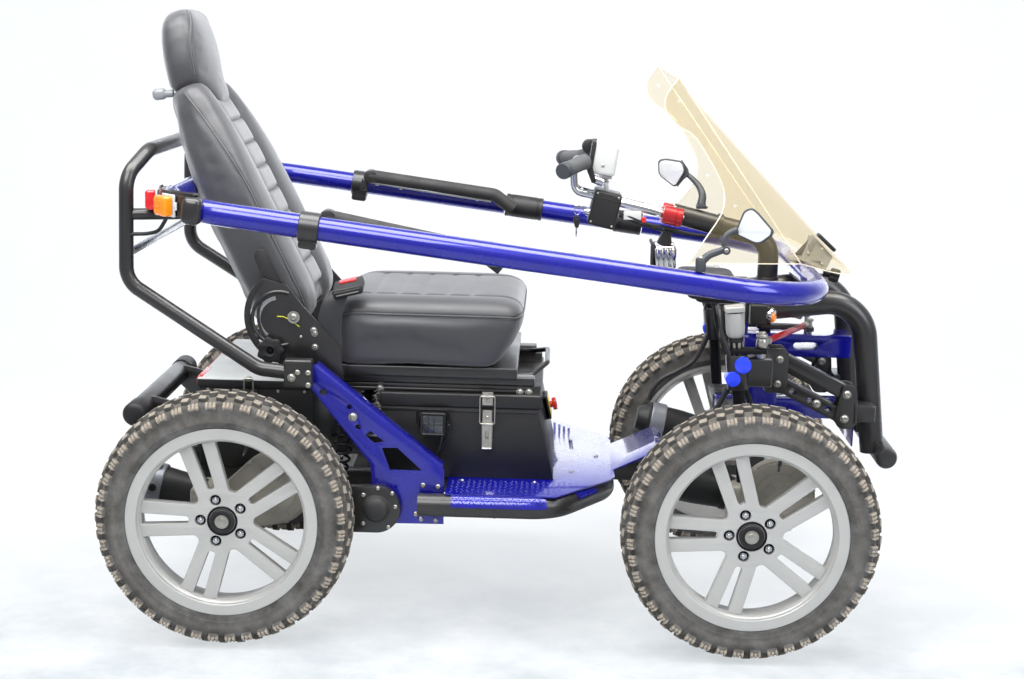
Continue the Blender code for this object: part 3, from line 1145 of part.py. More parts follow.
def make_windscreen():
    """Make the windscreen: a bowed front panel and two swept side wings, as one bent sheet."""
    bm = bmesh.new()
    rows, columns = 5, 8
    grid = [[bm.verts.new(screen_point(i / rows, -1 + 2 * j / columns)) for j in range(columns + 1)] for i in range(rows + 1)]
    for i in range(rows):
        for j in range(columns):
            bm.faces.new((grid[i][j], grid[i][j + 1], grid[i + 1][j + 1], grid[i + 1][j]))
    wing = [(SCREEN_TOP[0] + ahead, z) for ahead, z in ((-0.025, 1.205), (0.005, 1.140), (0.048, 1.130), (0.119, 1.020), (0.119, 0.950), (0.045, 0.862))]
    shares = [0.0, 0.2, 0.4, 0.6, 0.8, 1.0]
    for side, column in ((-1, 0), (1, columns)):
        edge = [grid[i][column] for i in range(rows + 1)]
        outer = []
        for (x, z), share in zip(wing, shares):
            fold = screen_point(share, side)
            away = math.hypot(x - fold.x, z - fold.z)
            outer.append(bm.verts.new((x, fold.y + side * (0.10 * share + 0.004) * min(1.0, away / 0.24), z)))
        for i in range(rows):
            ring = [edge[i], edge[i + 1], outer[i + 1], outer[i]]
            bm.faces.new(ring if side > 0 else ring[::-1])
    bmesh.ops.recalc_face_normals(bm, faces=bm.faces[:])
    mesh = bpy.data.meshes.new("sheet")
    bm.to_mesh(mesh)
    bm.free()
    sheet = shape(mesh)
    wall = sheet.modifiers.new("wall", "SOLIDIFY")
    wall.thickness = SCREEN_SHEET
    wall.offset = 0.0
    return piece(frozen(sheet), "windscreen", "amber")


def make_screen_bracket():
    """Make the bracket plate that holds the windscreen's foot to the nose."""
    low, high = screen_point(0.97, 0), screen_point(0.72, 0)
    under = Vector((-0.0046, 0, -0.0046))
    plate = bar(low + under, high + under, 0.070, 0.003)
    nose_top = loop_z(LOOP_NOSE) + LOOP_RADIUS - 0.0001
    foot = block((LOOP_NOSE - 0.034, -0.040, nose_top), (LOOP_NOSE + 0.040, 0.040, nose_top + 0.004))
    slope = (high.z - low.z) / (high.x - low.x)
    rear, front = LOOP_NOSE + 0.004, LOOP_NOSE + 0.012
    tops = [low.z + under.z + slope * (x - low.x - under.x) for x in (rear, front)]
    post = outline_plate([(rear, nose_top + 0.002), (front, nose_top + 0.002), (front, tops[1]), (rear, tops[0])], 0.060)
    return piece(join(plate, foot, post), "screen_bracket", "grey")


def make_seat_pan():
    """Make the seat pan: runners, pan, recliner side plates with their arc slots and pivots."""
    runners = [block((CUSHION_REAR, side * (RAIL_INNER - 0.003), RUNNER_LOW), (CUSHION_FRONT + 0.010, side * (RAIL_OUTER + 0.003), PAN_BASE + 0.001))
               for side in SIDES.values()]
    pan = block((CUSHION_REAR - 0.020, -SEAT_HALF + 0.020, PAN_BASE), (CUSHION_FRONT - 0.030, SEAT_HALF - 0.020, CUSHION_BASE - GAP), 0.004)
    handle = tube(rounded([(-0.060, -0.150, PAN_BASE - 0.004), (0.060, -0.150, PAN_BASE - 0.004), (0.092, -0.120, PAN_BASE + 0.030),
                           (0.092, 0.120, PAN_BASE + 0.030), (0.060, 0.150, PAN_BASE - 0.004), (-0.060, 0.150, PAN_BASE - 0.004)], 0.02, 2),
                  0.006, 1)
    base = join(pan, *runners, handle)
    px, pz = SEAT_PIVOT
    for side in SIDES.values():
        slot = arc(SEAT_PIVOT, 0.098, 148, 240, 6) + arc(SEAT_PIVOT, 0.084, 240, 148, 6)
        outline = arc(SEAT_PIVOT, 0.112, 130, 250, 8) + [(px + 0.020, PAN_BASE), (px + 0.110, PAN_BASE), (px + 0.105, PAN_BASE + 0.070),
                                                          (px + 0.020, pz + 0.024), (px - 0.016, pz + 0.070)]
        plate = outline_plate(outline, 0.006, [slot])
        plate = moved(plate, (0, side * (SEAT_HALF + 0.014), 0))
        foot = block((px + 0.050, side * (SEAT_HALF - 0.040), PAN_BASE), (px + 0.110, side * (SEAT_HALF + 0.012), PAN_BASE + 0.020))
        pin = rod((px, side * (SEAT_HALF + 0.0015), pz), (px, side * (SEAT_HALF + 0.024), pz), 0.010, 12)
        base = join(base, foot, plate, pin)
    return piece(base, "seat_pan", "black", (0, 0, PAN_BASE))


def pad(length, half, thickness, crown, channels, taper, sink, cols=8, rows=6):
    """Make a sewn pad lying along +X from 0: crowned top, drawn-in sides, channels and a taper to its far end."""
    bm = bmesh.new()
    layers = (0.0, 0.45, 1.0)
    sheet = {}
    for layer, level in enumerate(layers):
        for i in range(cols + 1):
            for j in range(rows + 1):
                u, v = i / cols, -1 + 2 * j / rows
                edge = (1 - (2 * u - 1) ** 8) * (1 - v ** 8)
                width = half * (1 - taper * u ** 2) * (1.0 if level < 1 else 0.965) * (0.955 if level == 0 else 1.0)
                z = thickness * level
                if level == 1.0:
                    z = thickness * (0.86 + 0.14 * min(1.0, edge * 1.6)) + crown * (1 - v * v) * (1 - (2 * u - 1) ** 4)
                    if channels and i % channels == 0 and 0 < i < cols and abs(v) < 0.62:
                        z -= sink
                    if abs(abs(v) - 0.667) < 0.05 and 0 < i < cols:
                        z -= sink
                if layer == 2 or i in (0, cols) or j in (0, rows) or layer == 0:
                    bend = 0.012 * math.sin(math.pi * level)
                    x = length * u + (bend if i == cols else -bend if i == 0 else 0)
                    sheet[layer, i, j] = bm.verts.new((x, width * v, z))
    def quad(a, b, c, d):
        bm.faces.new([sheet[k] for k in (a, b, c, d)])
    for i in range(cols):
        for j in range(rows):
            quad((2, i, j), (2, i + 1, j), (2, i + 1, j + 1), (2, i, j + 1))
    for layer in (0, 1):
        for i in range(cols):
            quad((layer, i, 0), (layer, i + 1, 0), (layer + 1, i + 1, 0), (layer + 1, i, 0))
            quad((layer, i + 1, rows), (layer, i, rows), (layer + 1, i, rows), (layer + 1, i + 1, rows))
        for j in range(rows):
            quad((layer, 0, j + 1), (layer, 0, j), (layer + 1, 0, j), (layer + 1, 0, j + 1))
            quad((layer, cols, j), (layer, cols, j + 1), (layer + 1, cols, j + 1), (layer + 1, cols, j))
    ring = [(0, i, 0) for i in range(cols)] + [(0, cols, j) for j in range(rows)]
    ring += [(0, i, rows) for i in range(cols, 0, -1)] + [(0, 0, j) for j in range(rows, 0, -1)]
    bm.faces.new([sheet[k] for k in reversed(ring)])
    loose = [v for v in bm.verts if not v.link_faces]
    bmesh.ops.delete(bm, geom=loose, context="VERTS")
    return from_bmesh(bm)


def make_cushion():
    """Make the seat cushion with its cross channels, side seams and front roll."""
    cushion = pad(CUSHION_FRONT - CUSHION_REAR, SEAT_HALF, CUSHION_TOP - CUSHION_BASE - 0.020, 0.020, 2, 0.0, 0.005, 10, 6)
    bm = bmesh.new()
    bm.from_mesh(cushion.data)
    length = CUSHION_FRONT - CUSHION_REAR
    for vert in bm.verts:
        share = vert.co.x / length
        if share > 0.8:
            vert.co.x -= (share - 0.8) * 5 * 0.062 * (1 - vert.co.z / 0.17)
    bm.to_mesh(cushion.data)
    bm.free()
    return piece(moved(cushion, (CUSHION_REAR, 0, CUSHION_BASE)), "seat_cushion", "leather", (0, 0, PAN_BASE))


def back_frame():
    """Give the place of the seat back: its own +X runs up the back and its own +Z faces forward."""
    lean = math.radians(RECLINE)
    up = Vector((-math.sin(lean), 0, math.cos(lean)))
    ahead = Vector((math.cos(lean), 0, math.sin(lean)))
    across = ahead.cross(up)
    turn = Matrix((up, across, ahead)).transposed().to_4x4()
    return Matrix.Translation((SEAT_PIVOT[0], 0, SEAT_PIVOT[1])) @ turn


def back_sections():
    """Give the back's sections from its foot to the top of the headrest: height, half width, rear, front, groove."""
    foot = [(-0.030, 0.205, -0.060, 0.004, 0.0), (-0.012, 0.228, -0.090, 0.032, 0.0)]
    body = []
    for i in range(BACK_BLOCKS * 2 + 1):
        height = BACK_INSERT_LOW + (BACK_INSERT_HIGH - BACK_INSERT_LOW) * i / (BACK_BLOCKS * 2)
        share = max(0.0, (height - 0.24) / 0.22)
        groove = BACK_GROOVE if i % 2 == 0 else 0.0
        body.append((height, SEAT_HALF - 0.010 - 0.052 * share ** 2, BACK_SHELL, 0.044 - 0.13 * height, groove))
    shoulder = [(0.490, 0.168, -0.107, -0.024, 0.0), (0.511, 0.151, -0.106, -0.044, 0.0)]
    head = [(0.530, 0.143, -0.104, -0.026, 0.0), (0.575, 0.139, -0.097, -0.013, 0.0), (0.635, 0.134, -0.090, -0.011, 0.0),
            (0.685, 0.118, -0.077, -0.011, 0.0), (0.712, 0.090, -0.062, -0.018, 0.0), (0.725, 0.055, -0.050, -0.030, 0.0)]
    return foot + body + shoulder + head


def back_ring(half, rear, front, groove):
    """Give one section of the back as (across, ahead) pairs: bolsters, seams, sewn insert and shell."""
    deep = min(1.0, (front - rear) / 0.140)
    right = [(-1.0, front - 0.034 * deep), (-0.90, front - 0.004), (-0.74, front), (-0.60, front - 0.022 * deep),
             (-0.52, front - 0.012 * deep - groove), (-0.20, front - 0.008 * deep - groove)]
    shell = [(-0.86, rear), (-1.0, rear + 0.040 * deep)]
    half_ring = right
    ring = half_ring + [(-v, n) for v, n in reversed(half_ring)] + [(-v, n) for v, n in reversed(shell)] + shell
    return [(v * half, n) for v, n in ring]


def make_back():
    """Make the seat back with its bolsters, sewn insert and headrest, and the side straps of its frame."""
    bm = bmesh.new()
    rings = []
    for height, half, rear, front, groove in back_sections():
        rings.append([bm.verts.new((height, across, ahead)) for across, ahead in back_ring(half, rear, front, groove)])
    for low, high in zip(rings, rings[1:]):
        for i in range(len(low)):
            j = (i + 1) % len(low)
            bm.faces.new((low[i], low[j], high[j], high[i]))
    bm.faces.new(rings[0][::-1])
    bm.faces.new(rings[-1])
    back = from_bmesh(bm)
    for side in SIDES.values():
        outline = two_circles((0.0, -0.010), 0.022, (0.150, -0.020), 0.016, 5)
        strap = outline_plate(outline, 0.005, [circle((0.0, 0.0), 0.0104, 12)])
        strap = moved(strap, (0, side * (SEAT_HALF + 0.005), 0))
        tie = rod((0.130, side * (SEAT_HALF - 0.060), -0.018), (0.130, side * (SEAT_HALF + 0.005), -0.018), 0.008, 8)
        back = join(back, tie, strap)
    stud = (-0.0508, -0.0754)
    tail = outline_plate(two_circles((0.0, 0.0), 0.018, stud, 0.011, 4), 0.0046, [circle((0.0, 0.0), 0.0106, 12), circle(stud, 0.0057, 12)])
    back = join(back, moved(tail, (0, -(SEAT_HALF + 0.0052), 0)))
    back.data.transform(back_frame())
    return piece(back, "seat_back", "leather", (SEAT_PIVOT[0], 0, SEAT_PIVOT[1]))


def make_recliner_knob():
    """Make the star knob that clamps the recline, with its stud through the arc slot."""
    angle = math.radians(236)
    x = SEAT_PIVOT[0] + 0.091 * math.cos(angle)
    z = SEAT_PIVOT[1] + 0.091 * math.sin(angle)
    lobes = 7
    outline = []
    for i in range(lobes * 4):
        turn = math.tau * i / (lobes * 4)
        radius = 0.026 + 0.0035 * math.cos(lobes * turn)
        outline.append((x + radius * math.cos(turn), z + radius * math.sin(turn)))
    y = SEAT_HALF + 0.014 + 0.003 + GAP
    star = moved(outline_plate(outline, 0.018), (0, -(y + 0.011), 0))
    stud = rod((x, -(SEAT_HALF + 0.002), z), (x, -(y + 0.020), z), 0.0050, 12)
    washer = rod((x, -y, z), (x, -(y + 0.004), z), 0.014, 16)
    return piece(join(star, stud, washer), "recliner_knob", "black", (x, -y, z))


def make_belt():
    """Make the lap belt: the strap up the cushion's side and the buckle on its top."""
    y = SEAT_HALF + 0.0075
    top = CUSHION_TOP - 0.0075
    strap = block((-0.428, -y - 0.003, CUSHION_BASE - 0.005), (-0.372, -y, top))
    fold = block((-0.4275, -y - 0.0025, top - 0.004), (-0.3725, -y + 0.030, top - 0.0005))
    buckle = block((-0.432, -y + 0.006, top - 0.002), (-0.366, -y + 0.070, top + 0.020), 0.004)
    return piece(join(strap, fold, buckle), "lap_belt", "webbing", (0, 0, PAN_BASE))


def make_armrest(name, side):
    """Make an armrest: padded bar with its carrier strip and down-turned tip, pivoted on the clamp."""
    y = side * (LOOP_HALF - LOOP_RADIUS - 0.027)
    drop = 0.0 if side > 0 else -0.030
    start = Vector((-0.386, y, loop_z(-0.386) + 0.028 + drop * 0.3))
    end = Vector((-0.060, y, loop_z(-0.060) + 0.026 + drop))
    tip = Vector((-0.012, y, end.z - 0.036))
    pad_bar = tube(rounded([start, end, tip], 0.030, 3), 0.016, 2)
    strip = bar(start + Vector((0.004, 0, -0.016)), end + Vector((-0.010, 0, -0.016)), 0.018, 0.005)
    hub = rod((start.x + 0.004, y - 0.0161, start.z), (start.x + 0.004, y + 0.0161, start.z), 0.0175, 12)
    return piece(join(pad_bar, strip, hub), name, "foam", (start.x, y, start.z))


def hoop_lamps(side):
    """Make the bracket under the loop's rear corner with a red and an amber lamp."""
    low = loop_z(LOOP_REAR) - LOOP_RADIUS - 0.016
    high = low + 0.050
    centre = (LOOP_REAR + LOOP_REAR_BEND, side * (LOOP_HALF - LOOP_REAR_BEND))
    inner, outer = LOOP_REAR_BEND + LOOP_RADIUS - 0.004, LOOP_REAR_BEND + LOOP_RADIUS + 0.030
    near, far = 180 + side * 4, 180 - side * 52
    strip = floor_plate(arc(centre, inner, near, far, 4) + arc(centre, outer, far, near, 4), low, low + 0.004)
    lamps = [strip]
    for heading, width in ((180 - side * 6, 0.048), (180 - side * 42, 0.050)):
        lamp = block((inner + 0.0055, -width / 2, low + 0.001), (outer - 0.001, width / 2, high))
        turn = Matrix.Rotation(math.radians(heading), 4, "Z")
        lamp.data.transform(Matrix.Translation((centre[0], centre[1], 0)) @ turn)
        lamps.append(lamp)
    return lamps


def build():
    """Build the whole machine."""
    clear_scene()
    make_chassis()
    for tag, side in SIDES.items():
        make_side_plate("side_plate_" + tag, side)
        arm = make_rear_arm("rear_arm_" + tag, side)
        drive = make_rear_drive("drive_rear_" + tag, side)
        drive.parent = arm
        bpy.context.view_layer.update()
        drive.matrix_parent_inverse = arm.matrix_world.inverted()
        make_shock_body("shock_body_" + tag, side)
        make_shock_rod("shock_rod_" + tag, side)
        make_spring("rear_spring_" + tag, side)
        make_front_carrier("front_carrier_" + tag, side)
        make_link("upper_link_" + tag, side, LINK_FRONT_UPPER, ())
        make_link("lower_link_" + tag, side, LINK_FRONT_LOWER, (0.24, 0.50, 0.76))
        front = make_front_drive("drive_front_" + tag, side)
        make_tie_rod("tie_rod_" + tag, side)
        for end, carrier in (("front", front), ("rear", drive)):
            centre = (AXLE_X[end], side * WHEEL_Y, AXLE_Z)
            rim = make_rim("rim_" + end + "_" + tag, side, centre, carrier)
            make_tyre("tyre_" + end + "_" + tag, centre, rim)
        make_armrest("armrest_" + tag, side)
        make_latch("latch_" + tag, side)
    make_footplate()
    make_battery_box()
    make_battery_lid()
    make_battery_pack()
    make_stop_button()
    make_rear_box()
    make_rear_lid()
    make_rear_bumper()
    make_rear_hoop()
    make_loop_rail()
    make_gate()
    make_nose_frame()
    make_front_bumper()
    make_column()
    make_tiller()
    make_throttle()
    foot_x = COLUMN_X - 0.198
    base = (foot_x, -LOOP_HALF, loop_z(foot_x) + LOOP_RADIUS + 0.0012)
    elbow, head = (foot_x + 0.050, -LOOP_HALF + 0.010, 0.905), (foot_x + 0.110, -LOOP_HALF + 0.02, 0.955)
    make_mirror("mirror_right", base, elbow, head, math.radians(10))
    foot_x = COLUMN_X - 0.162
    elbow, head = (foot_x + 0.002, 0.020, 0.985), (foot_x - 0.053, 0.050, 1.020)
    make_mirror("mirror_left", (foot_x, 0, COLUMN_MIRROR_Z), elbow, head, math.radians(48))
    make_windscreen()
    make_screen_bracket()
    make_seat_pan()
    make_cushion()
    make_back()
    make_recliner_knob()
    make_belt()
    gap = least_self_gap(spring_path(1), SPRING_WIRE, 6)
    print("least gap in a spring: %.2f mm" % (gap * 1000))


build()
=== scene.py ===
"""Dress the all-terrain mobility scooter: shapes, finishes, light and camera.

Metres, +Z up, +X towards the front.  Right is -Y and left is +Y.  Each
sub-assembly is a class that holds its own sizes, models its pieces with
Blender's operators, and rides them on the bodies of the frame.
"""
import logging
import math
from contextlib import contextmanager
from dataclasses import dataclass, field
from enum import Enum
from typing import Callable, Iterator, Sequence

import bmesh
import bpy
import numpy as np
from mathutils import Matrix, Vector


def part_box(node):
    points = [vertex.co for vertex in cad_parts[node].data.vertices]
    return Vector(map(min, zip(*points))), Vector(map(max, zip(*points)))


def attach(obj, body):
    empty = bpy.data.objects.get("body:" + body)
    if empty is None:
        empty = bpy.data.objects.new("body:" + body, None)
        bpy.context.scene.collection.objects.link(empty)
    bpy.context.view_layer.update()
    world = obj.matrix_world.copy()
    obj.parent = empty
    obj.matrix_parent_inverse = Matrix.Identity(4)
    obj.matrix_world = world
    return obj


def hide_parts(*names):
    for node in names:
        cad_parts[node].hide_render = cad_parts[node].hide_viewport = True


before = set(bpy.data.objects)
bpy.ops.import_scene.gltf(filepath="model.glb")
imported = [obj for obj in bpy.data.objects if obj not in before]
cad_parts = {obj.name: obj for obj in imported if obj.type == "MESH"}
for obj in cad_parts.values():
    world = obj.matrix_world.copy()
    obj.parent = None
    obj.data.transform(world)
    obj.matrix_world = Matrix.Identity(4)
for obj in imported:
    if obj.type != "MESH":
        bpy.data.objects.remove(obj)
log = logging.getLogger("scooter")

Thing = bpy.types.Object
Flat = Sequence[tuple[float, float]]
Spot = Sequence[float]

PHOTO_SIZE = (1024, 679)
RAIL_HEIGHT = 0.8808
RAIL_SLOPE = 0.121
AXLE_HEIGHT = 0.283
FOOTPLATE_TOP = 0.3341
PUFF_FRAMES = 20
TURNED_EDGES = 30.0
MACHINED_EDGES = 32.0
PAD_EDGES = 60.0
BOTH = (-1, 1)


class Side(Enum):
    """The machine's two sides, by the sign of their Y."""

    RIGHT = -1
    LEFT = 1

    @property
    def tag(self) -> str:
        """Give the ending that this side's pieces and bodies have."""
        return self.name.lower()


class End(Enum):
    """The two axles, by their place along the machine."""

    FRONT = 0.538
    REAR = -0.607

    @property
    def tag(self) -> str:
        """Give the word that this axle's pieces and bodies have."""
        return self.name.lower()


# Finishes

def linear(colour: str, alpha: float = 1.0) -> tuple[float, float, float, float]:
    """Turn an sRGB hex colour to linear light.

    Args:
        colour: The colour, such as "#1a2b3c".
        alpha: The fourth number.

    Returns:
        Linear red, green and blue, and the alpha.
    """
    parts = [int(colour[i:i + 2], 16) / 255 for i in (1, 3, 5)]
    made = [p / 12.92 if p <= 0.04045 else ((p + 0.055) / 1.055) ** 2.4 for p in parts]
    return (*made, alpha)


def add_node(tree: bpy.types.NodeTree, kind: str, sets: dict | None = None,
             links: dict | None = None) -> bpy.types.Node:
    """Add a node with its settings and links.

    Args:
        tree: The node tree.
        kind: The node's type name.
        sets: Settings by property name, or values by input socket name or number.
        links: Output sockets by the name or number of the input that they feed.

    Returns:
        The node.
    """
    node = tree.nodes.new(kind)
    for key, value in (sets or {}).items():
        if isinstance(key, str) and hasattr(node, key) and key not in node.inputs:
            setattr(node, key, value)
        else:
            node.inputs[key].default_value = value
    for key, source in (links or {}).items():
        tree.links.new(source, node.inputs[key])
    return node


class Grain(Enum):
    """How a finish's fine relief is made."""

    NOISE = "noise"
    CELLS = "cells"
    BRUSHED = "brushed"
    WEAVE = "weave"


@dataclass(frozen=True)
class Finish:
    """A finish: a real material and how its surface was made.

    Lengths are in millimetres.  The tone is a slow change of colour over the
    surface, and the grain is its fine relief.
    """

    name: str
    colour: str
    tone: str
    tone_mm: float = 70.0
    metallic: float = 0.0
    roughness: tuple[float, float] = (0.40, 0.52)
    grain: Grain = Grain.NOISE
    grain_mm: float = 1.2
    depth_mm: float = 0.03
    coat: float = 0.0
    coat_roughness: float = 0.05
    sheen: float = 0.0
    transmission: float = 0.0
    ior: float = 1.5
    specular: float = 0.5
    alpha: float = 1.0
    dust: float = 0.0
    dust_colour: str = "#9c8e7c"

    def place(self, tree: bpy.types.NodeTree) -> bpy.types.NodeSocket:
        """Give the coordinates that the patterns read."""
        return add_node(tree, "ShaderNodeTexCoord").outputs["Object"]

    def relief(self, tree: bpy.types.NodeTree, place: bpy.types.NodeSocket) -> bpy.types.NodeSocket:
        """Give the height of the grain, from 0 to 1.

        Args:
            tree: The material's nodes.
            place: The coordinates.

        Returns:
            The height's socket.
        """
        scale = 1000.0 / self.grain_mm
        if self.grain is Grain.CELLS:
            cells = add_node(tree, "ShaderNodeTexVoronoi", {"feature": "DISTANCE_TO_EDGE", "Scale": scale},
                             {"Vector": place})
            return add_node(tree, "ShaderNodeMath", {"operation": "MULTIPLY", "use_clamp": True, 1: 5.0},
                            {0: cells.outputs["Distance"]}).outputs[0]
        if self.grain is Grain.BRUSHED:
            lay = add_node(tree, "ShaderNodeMapping", {"Scale": (0.04, 1.0, 1.0)}, {"Vector": place})
            return add_node(tree, "ShaderNodeTexNoise", {"Scale": scale, "Detail": 2.0},
                            {"Vector": lay.outputs[0]}).outputs[0]
        if self.grain is Grain.WEAVE:
            waves = []
            for axis in ("X", "Z"):
                waves.append(add_node(tree, "ShaderNodeTexWave",
                                      {"bands_direction": axis, "Scale": scale * 0.159},
                                      {"Vector": place}).outputs[1])
            return add_node(tree, "ShaderNodeMath", {"operation": "MULTIPLY"},
                            {0: waves[0], 1: waves[1]}).outputs[0]
        return add_node(tree, "ShaderNodeTexNoise", {"Scale": scale, "Detail": 3.0},
                        {"Vector": place}).outputs[0]

    def colouring(self, tree: bpy.types.NodeTree, place: bpy.types.NodeSocket,
                  tone: bpy.types.NodeSocket) -> bpy.types.NodeSocket:
        """Give the surface's colour.

        Args:
            tree: The material's nodes.
            place: The coordinates.
            tone: The slow noise that mixes the two tones.

        Returns:
            The colour's socket.
        """
        mixed = add_node(tree, "ShaderNodeMix",
                         {"data_type": "RGBA", 6: linear(self.colour), 7: linear(self.tone)},
                         {0: tone}).outputs[2]
        if not self.dust:
            return mixed
        facing = add_node(tree, "ShaderNodeSeparateXYZ", None,
                          {0: add_node(tree, "ShaderNodeNewGeometry").outputs["Normal"]}).outputs["Z"]
        patches = add_node(tree, "ShaderNodeTexNoise", {"Scale": 38.0, "Detail": 5.0, "Roughness": 0.7},
                           {"Vector": place}).outputs[0]
        upward = add_node(tree, "ShaderNodeMapRange", {1: 0.1, 2: 1.0, 3: 0.15, 4: 1.0},
                          {0: facing}).outputs[0]
        spotted = add_node(tree, "ShaderNodeMapRange", {1: 0.38, 2: 0.72}, {0: patches}).outputs[0]
        share = add_node(tree, "ShaderNodeMath", {"operation": "MULTIPLY"},
                         {0: upward, 1: spotted}).outputs[0]
        share = add_node(tree, "ShaderNodeMath", {"operation": "MULTIPLY", 1: self.dust},
                         {0: share}).outputs[0]
        return add_node(tree, "ShaderNodeMix", {"data_type": "RGBA", 7: linear(self.dust_colour)},
                        {0: share, 6: mixed}).outputs[2]

    def material(self) -> bpy.types.Material:
        """Give the finish's material, made at its first use.

        Returns:
            The material.
        """
        made = bpy.data.materials.get(self.name)
        if made:
            return made
        made = bpy.data.materials.new(self.name)
        made.use_nodes = True
        tree = made.node_tree
        shader = tree.nodes["Principled BSDF"]
        place = self.place(tree)
        tone = add_node(tree, "ShaderNodeTexNoise", {"Scale": 1000.0 / self.tone_mm, "Detail": 4.0},
                        {"Vector": place}).outputs[0]
        tree.links.new(self.colouring(tree, place, tone), shader.inputs["Base Color"])
        low, high = self.roughness
        gloss = add_node(tree, "ShaderNodeMapRange", {1: 0.3, 2: 0.7, 3: low, 4: high}, {0: tone})
        tree.links.new(gloss.outputs[0], shader.inputs["Roughness"])
        if self.depth_mm:
            bump = add_node(tree, "ShaderNodeBump", {"Strength": 0.6, "Distance": self.depth_mm / 1000},
                            {"Height": self.relief(tree, place)})
            tree.links.new(bump.outputs[0], shader.inputs["Normal"])
        plain = {"Metallic": self.metallic, "Coat Weight": self.coat, "Coat Roughness": self.coat_roughness,
                 "Sheen Weight": self.sheen, "Transmission Weight": self.transmission, "IOR": self.ior,
                 "Specular IOR Level": self.specular, "Alpha": self.alpha}
        for socket, value in plain.items():
            shader.inputs[socket].default_value = value
        return made


@dataclass(frozen=True)
class CandyFinish(Finish):
    """Candy enamel: a clear coloured coat over metal flake, which gives a deep glow; the flakes' sparks are a
    painted glint of paler blue.
    """

    flake_mm: float = 0.9

    def colouring(self, tree: bpy.types.NodeTree, place: bpy.types.NodeSocket,
                  tone: bpy.types.NodeSocket) -> bpy.types.NodeSocket:
        """Give the enamel's colour, with a painted glint: paler blue in random flake cells, however they lie
        to the light.

        Args:
            tree: The material's nodes.
            place: The coordinates.
            tone: The slow noise that mixes the two tones.

        Returns:
            The colour's socket.
        """
        base = Finish.colouring(self, tree, place, tone)
        # Painted glint: random flake cells are mixed towards a paler blue under any light, in place of the
        # flakes' sparkle.
        flakes = add_node(tree, "ShaderNodeTexVoronoi", {"Scale": 1000.0 / self.flake_mm}, {"Vector": place})
        painted_flake_glint = add_node(tree, "ShaderNodeSeparateColor", None, {0: flakes.outputs["Color"]}).outputs[0]
        share = add_node(tree, "ShaderNodeMapRange", {1: 0.80, 2: 1.0, 3: 0.0, 4: 0.18},
                         {0: painted_flake_glint}).outputs[0]
        return add_node(tree, "ShaderNodeMix", {"data_type": "RGBA", 7: linear("#2233f0")},
                        {0: share, 6: base}).outputs[2]


@dataclass(frozen=True)
class FloorFinish(Finish):
    """Painted concrete: white, but for a grey strip with pale scuffs in front of the machine."""

    front: str = "#cfd6da"

    def colouring(self, tree: bpy.types.NodeTree, place: bpy.types.NodeSocket,
                  tone: bpy.types.NodeSocket) -> bpy.types.NodeSocket:
        """Give the floor's colour, greyer towards the camera.

        Args:
            tree: The material's nodes.
            place: The coordinates.
            tone: The slow noise that mixes the two tones.

        Returns:
            The colour's socket.
        """
        base = Finish.colouring(self, tree, place, tone)
        depth = add_node(tree, "ShaderNodeSeparateXYZ", None, {0: place}).outputs["Y"]
        near = add_node(tree, "ShaderNodeMapRange", {1: 0.35, 2: -0.70, 3: 0.0, 4: 1.0},
                        {0: depth}).outputs[0]
        ends = add_node(tree, "ShaderNodeMapRange", {1: -1.80, 2: -0.80, 3: 0.0, 4: 1.0},
                        {0: depth}).outputs[0]
        near = add_node(tree, "ShaderNodeMath", {"operation": "MULTIPLY"}, {0: near, 1: ends}).outputs[0]
        scuffs = add_node(tree, "ShaderNodeTexNoise", {"Scale": 3.2, "Detail": 7.0, "Roughness": 0.66},
                          {"Vector": place}).outputs[0]
        worn = add_node(tree, "ShaderNodeMapRange", {1: 0.34, 2: 0.60, 3: 0.10, 4: 1.0},
                        {0: scuffs}).outputs[0]
        share = add_node(tree, "ShaderNodeMath", {"operation": "MULTIPLY", "use_clamp": True},
                         {0: near, 1: worn}).outputs[0]
        return add_node(tree, "ShaderNodeMix", {"data_type": "RGBA", 7: linear(self.front)},
                        {0: share, 6: base}).outputs[2]


@dataclass(frozen=True)
class SheetFinish(Finish):
    """Tinted clear sheet: each face lets nearly all light through, a little warmer, and adds a thin haze."""

    tint: str = "#f9f5ec"
    clear: float = 0.90

    def material(self) -> bpy.types.Material:
        """Give the finish's material, whose clear share passes light tinted.

        Returns:
            The material.
        """
        known = bpy.data.materials.get(self.name)
        made = Finish.material(self)
        if known:
            return made
        tree = made.node_tree
        pane = add_node(tree, "ShaderNodeBsdfTransparent", {"Color": linear(self.tint)})
        mix = add_node(tree, "ShaderNodeMixShader", {0: self.clear},
                       {1: tree.nodes["Principled BSDF"].outputs[0], 2: pane.outputs[0]})
        tree.links.new(mix.outputs[0], tree.nodes["Material Output"].inputs["Surface"])
        return made


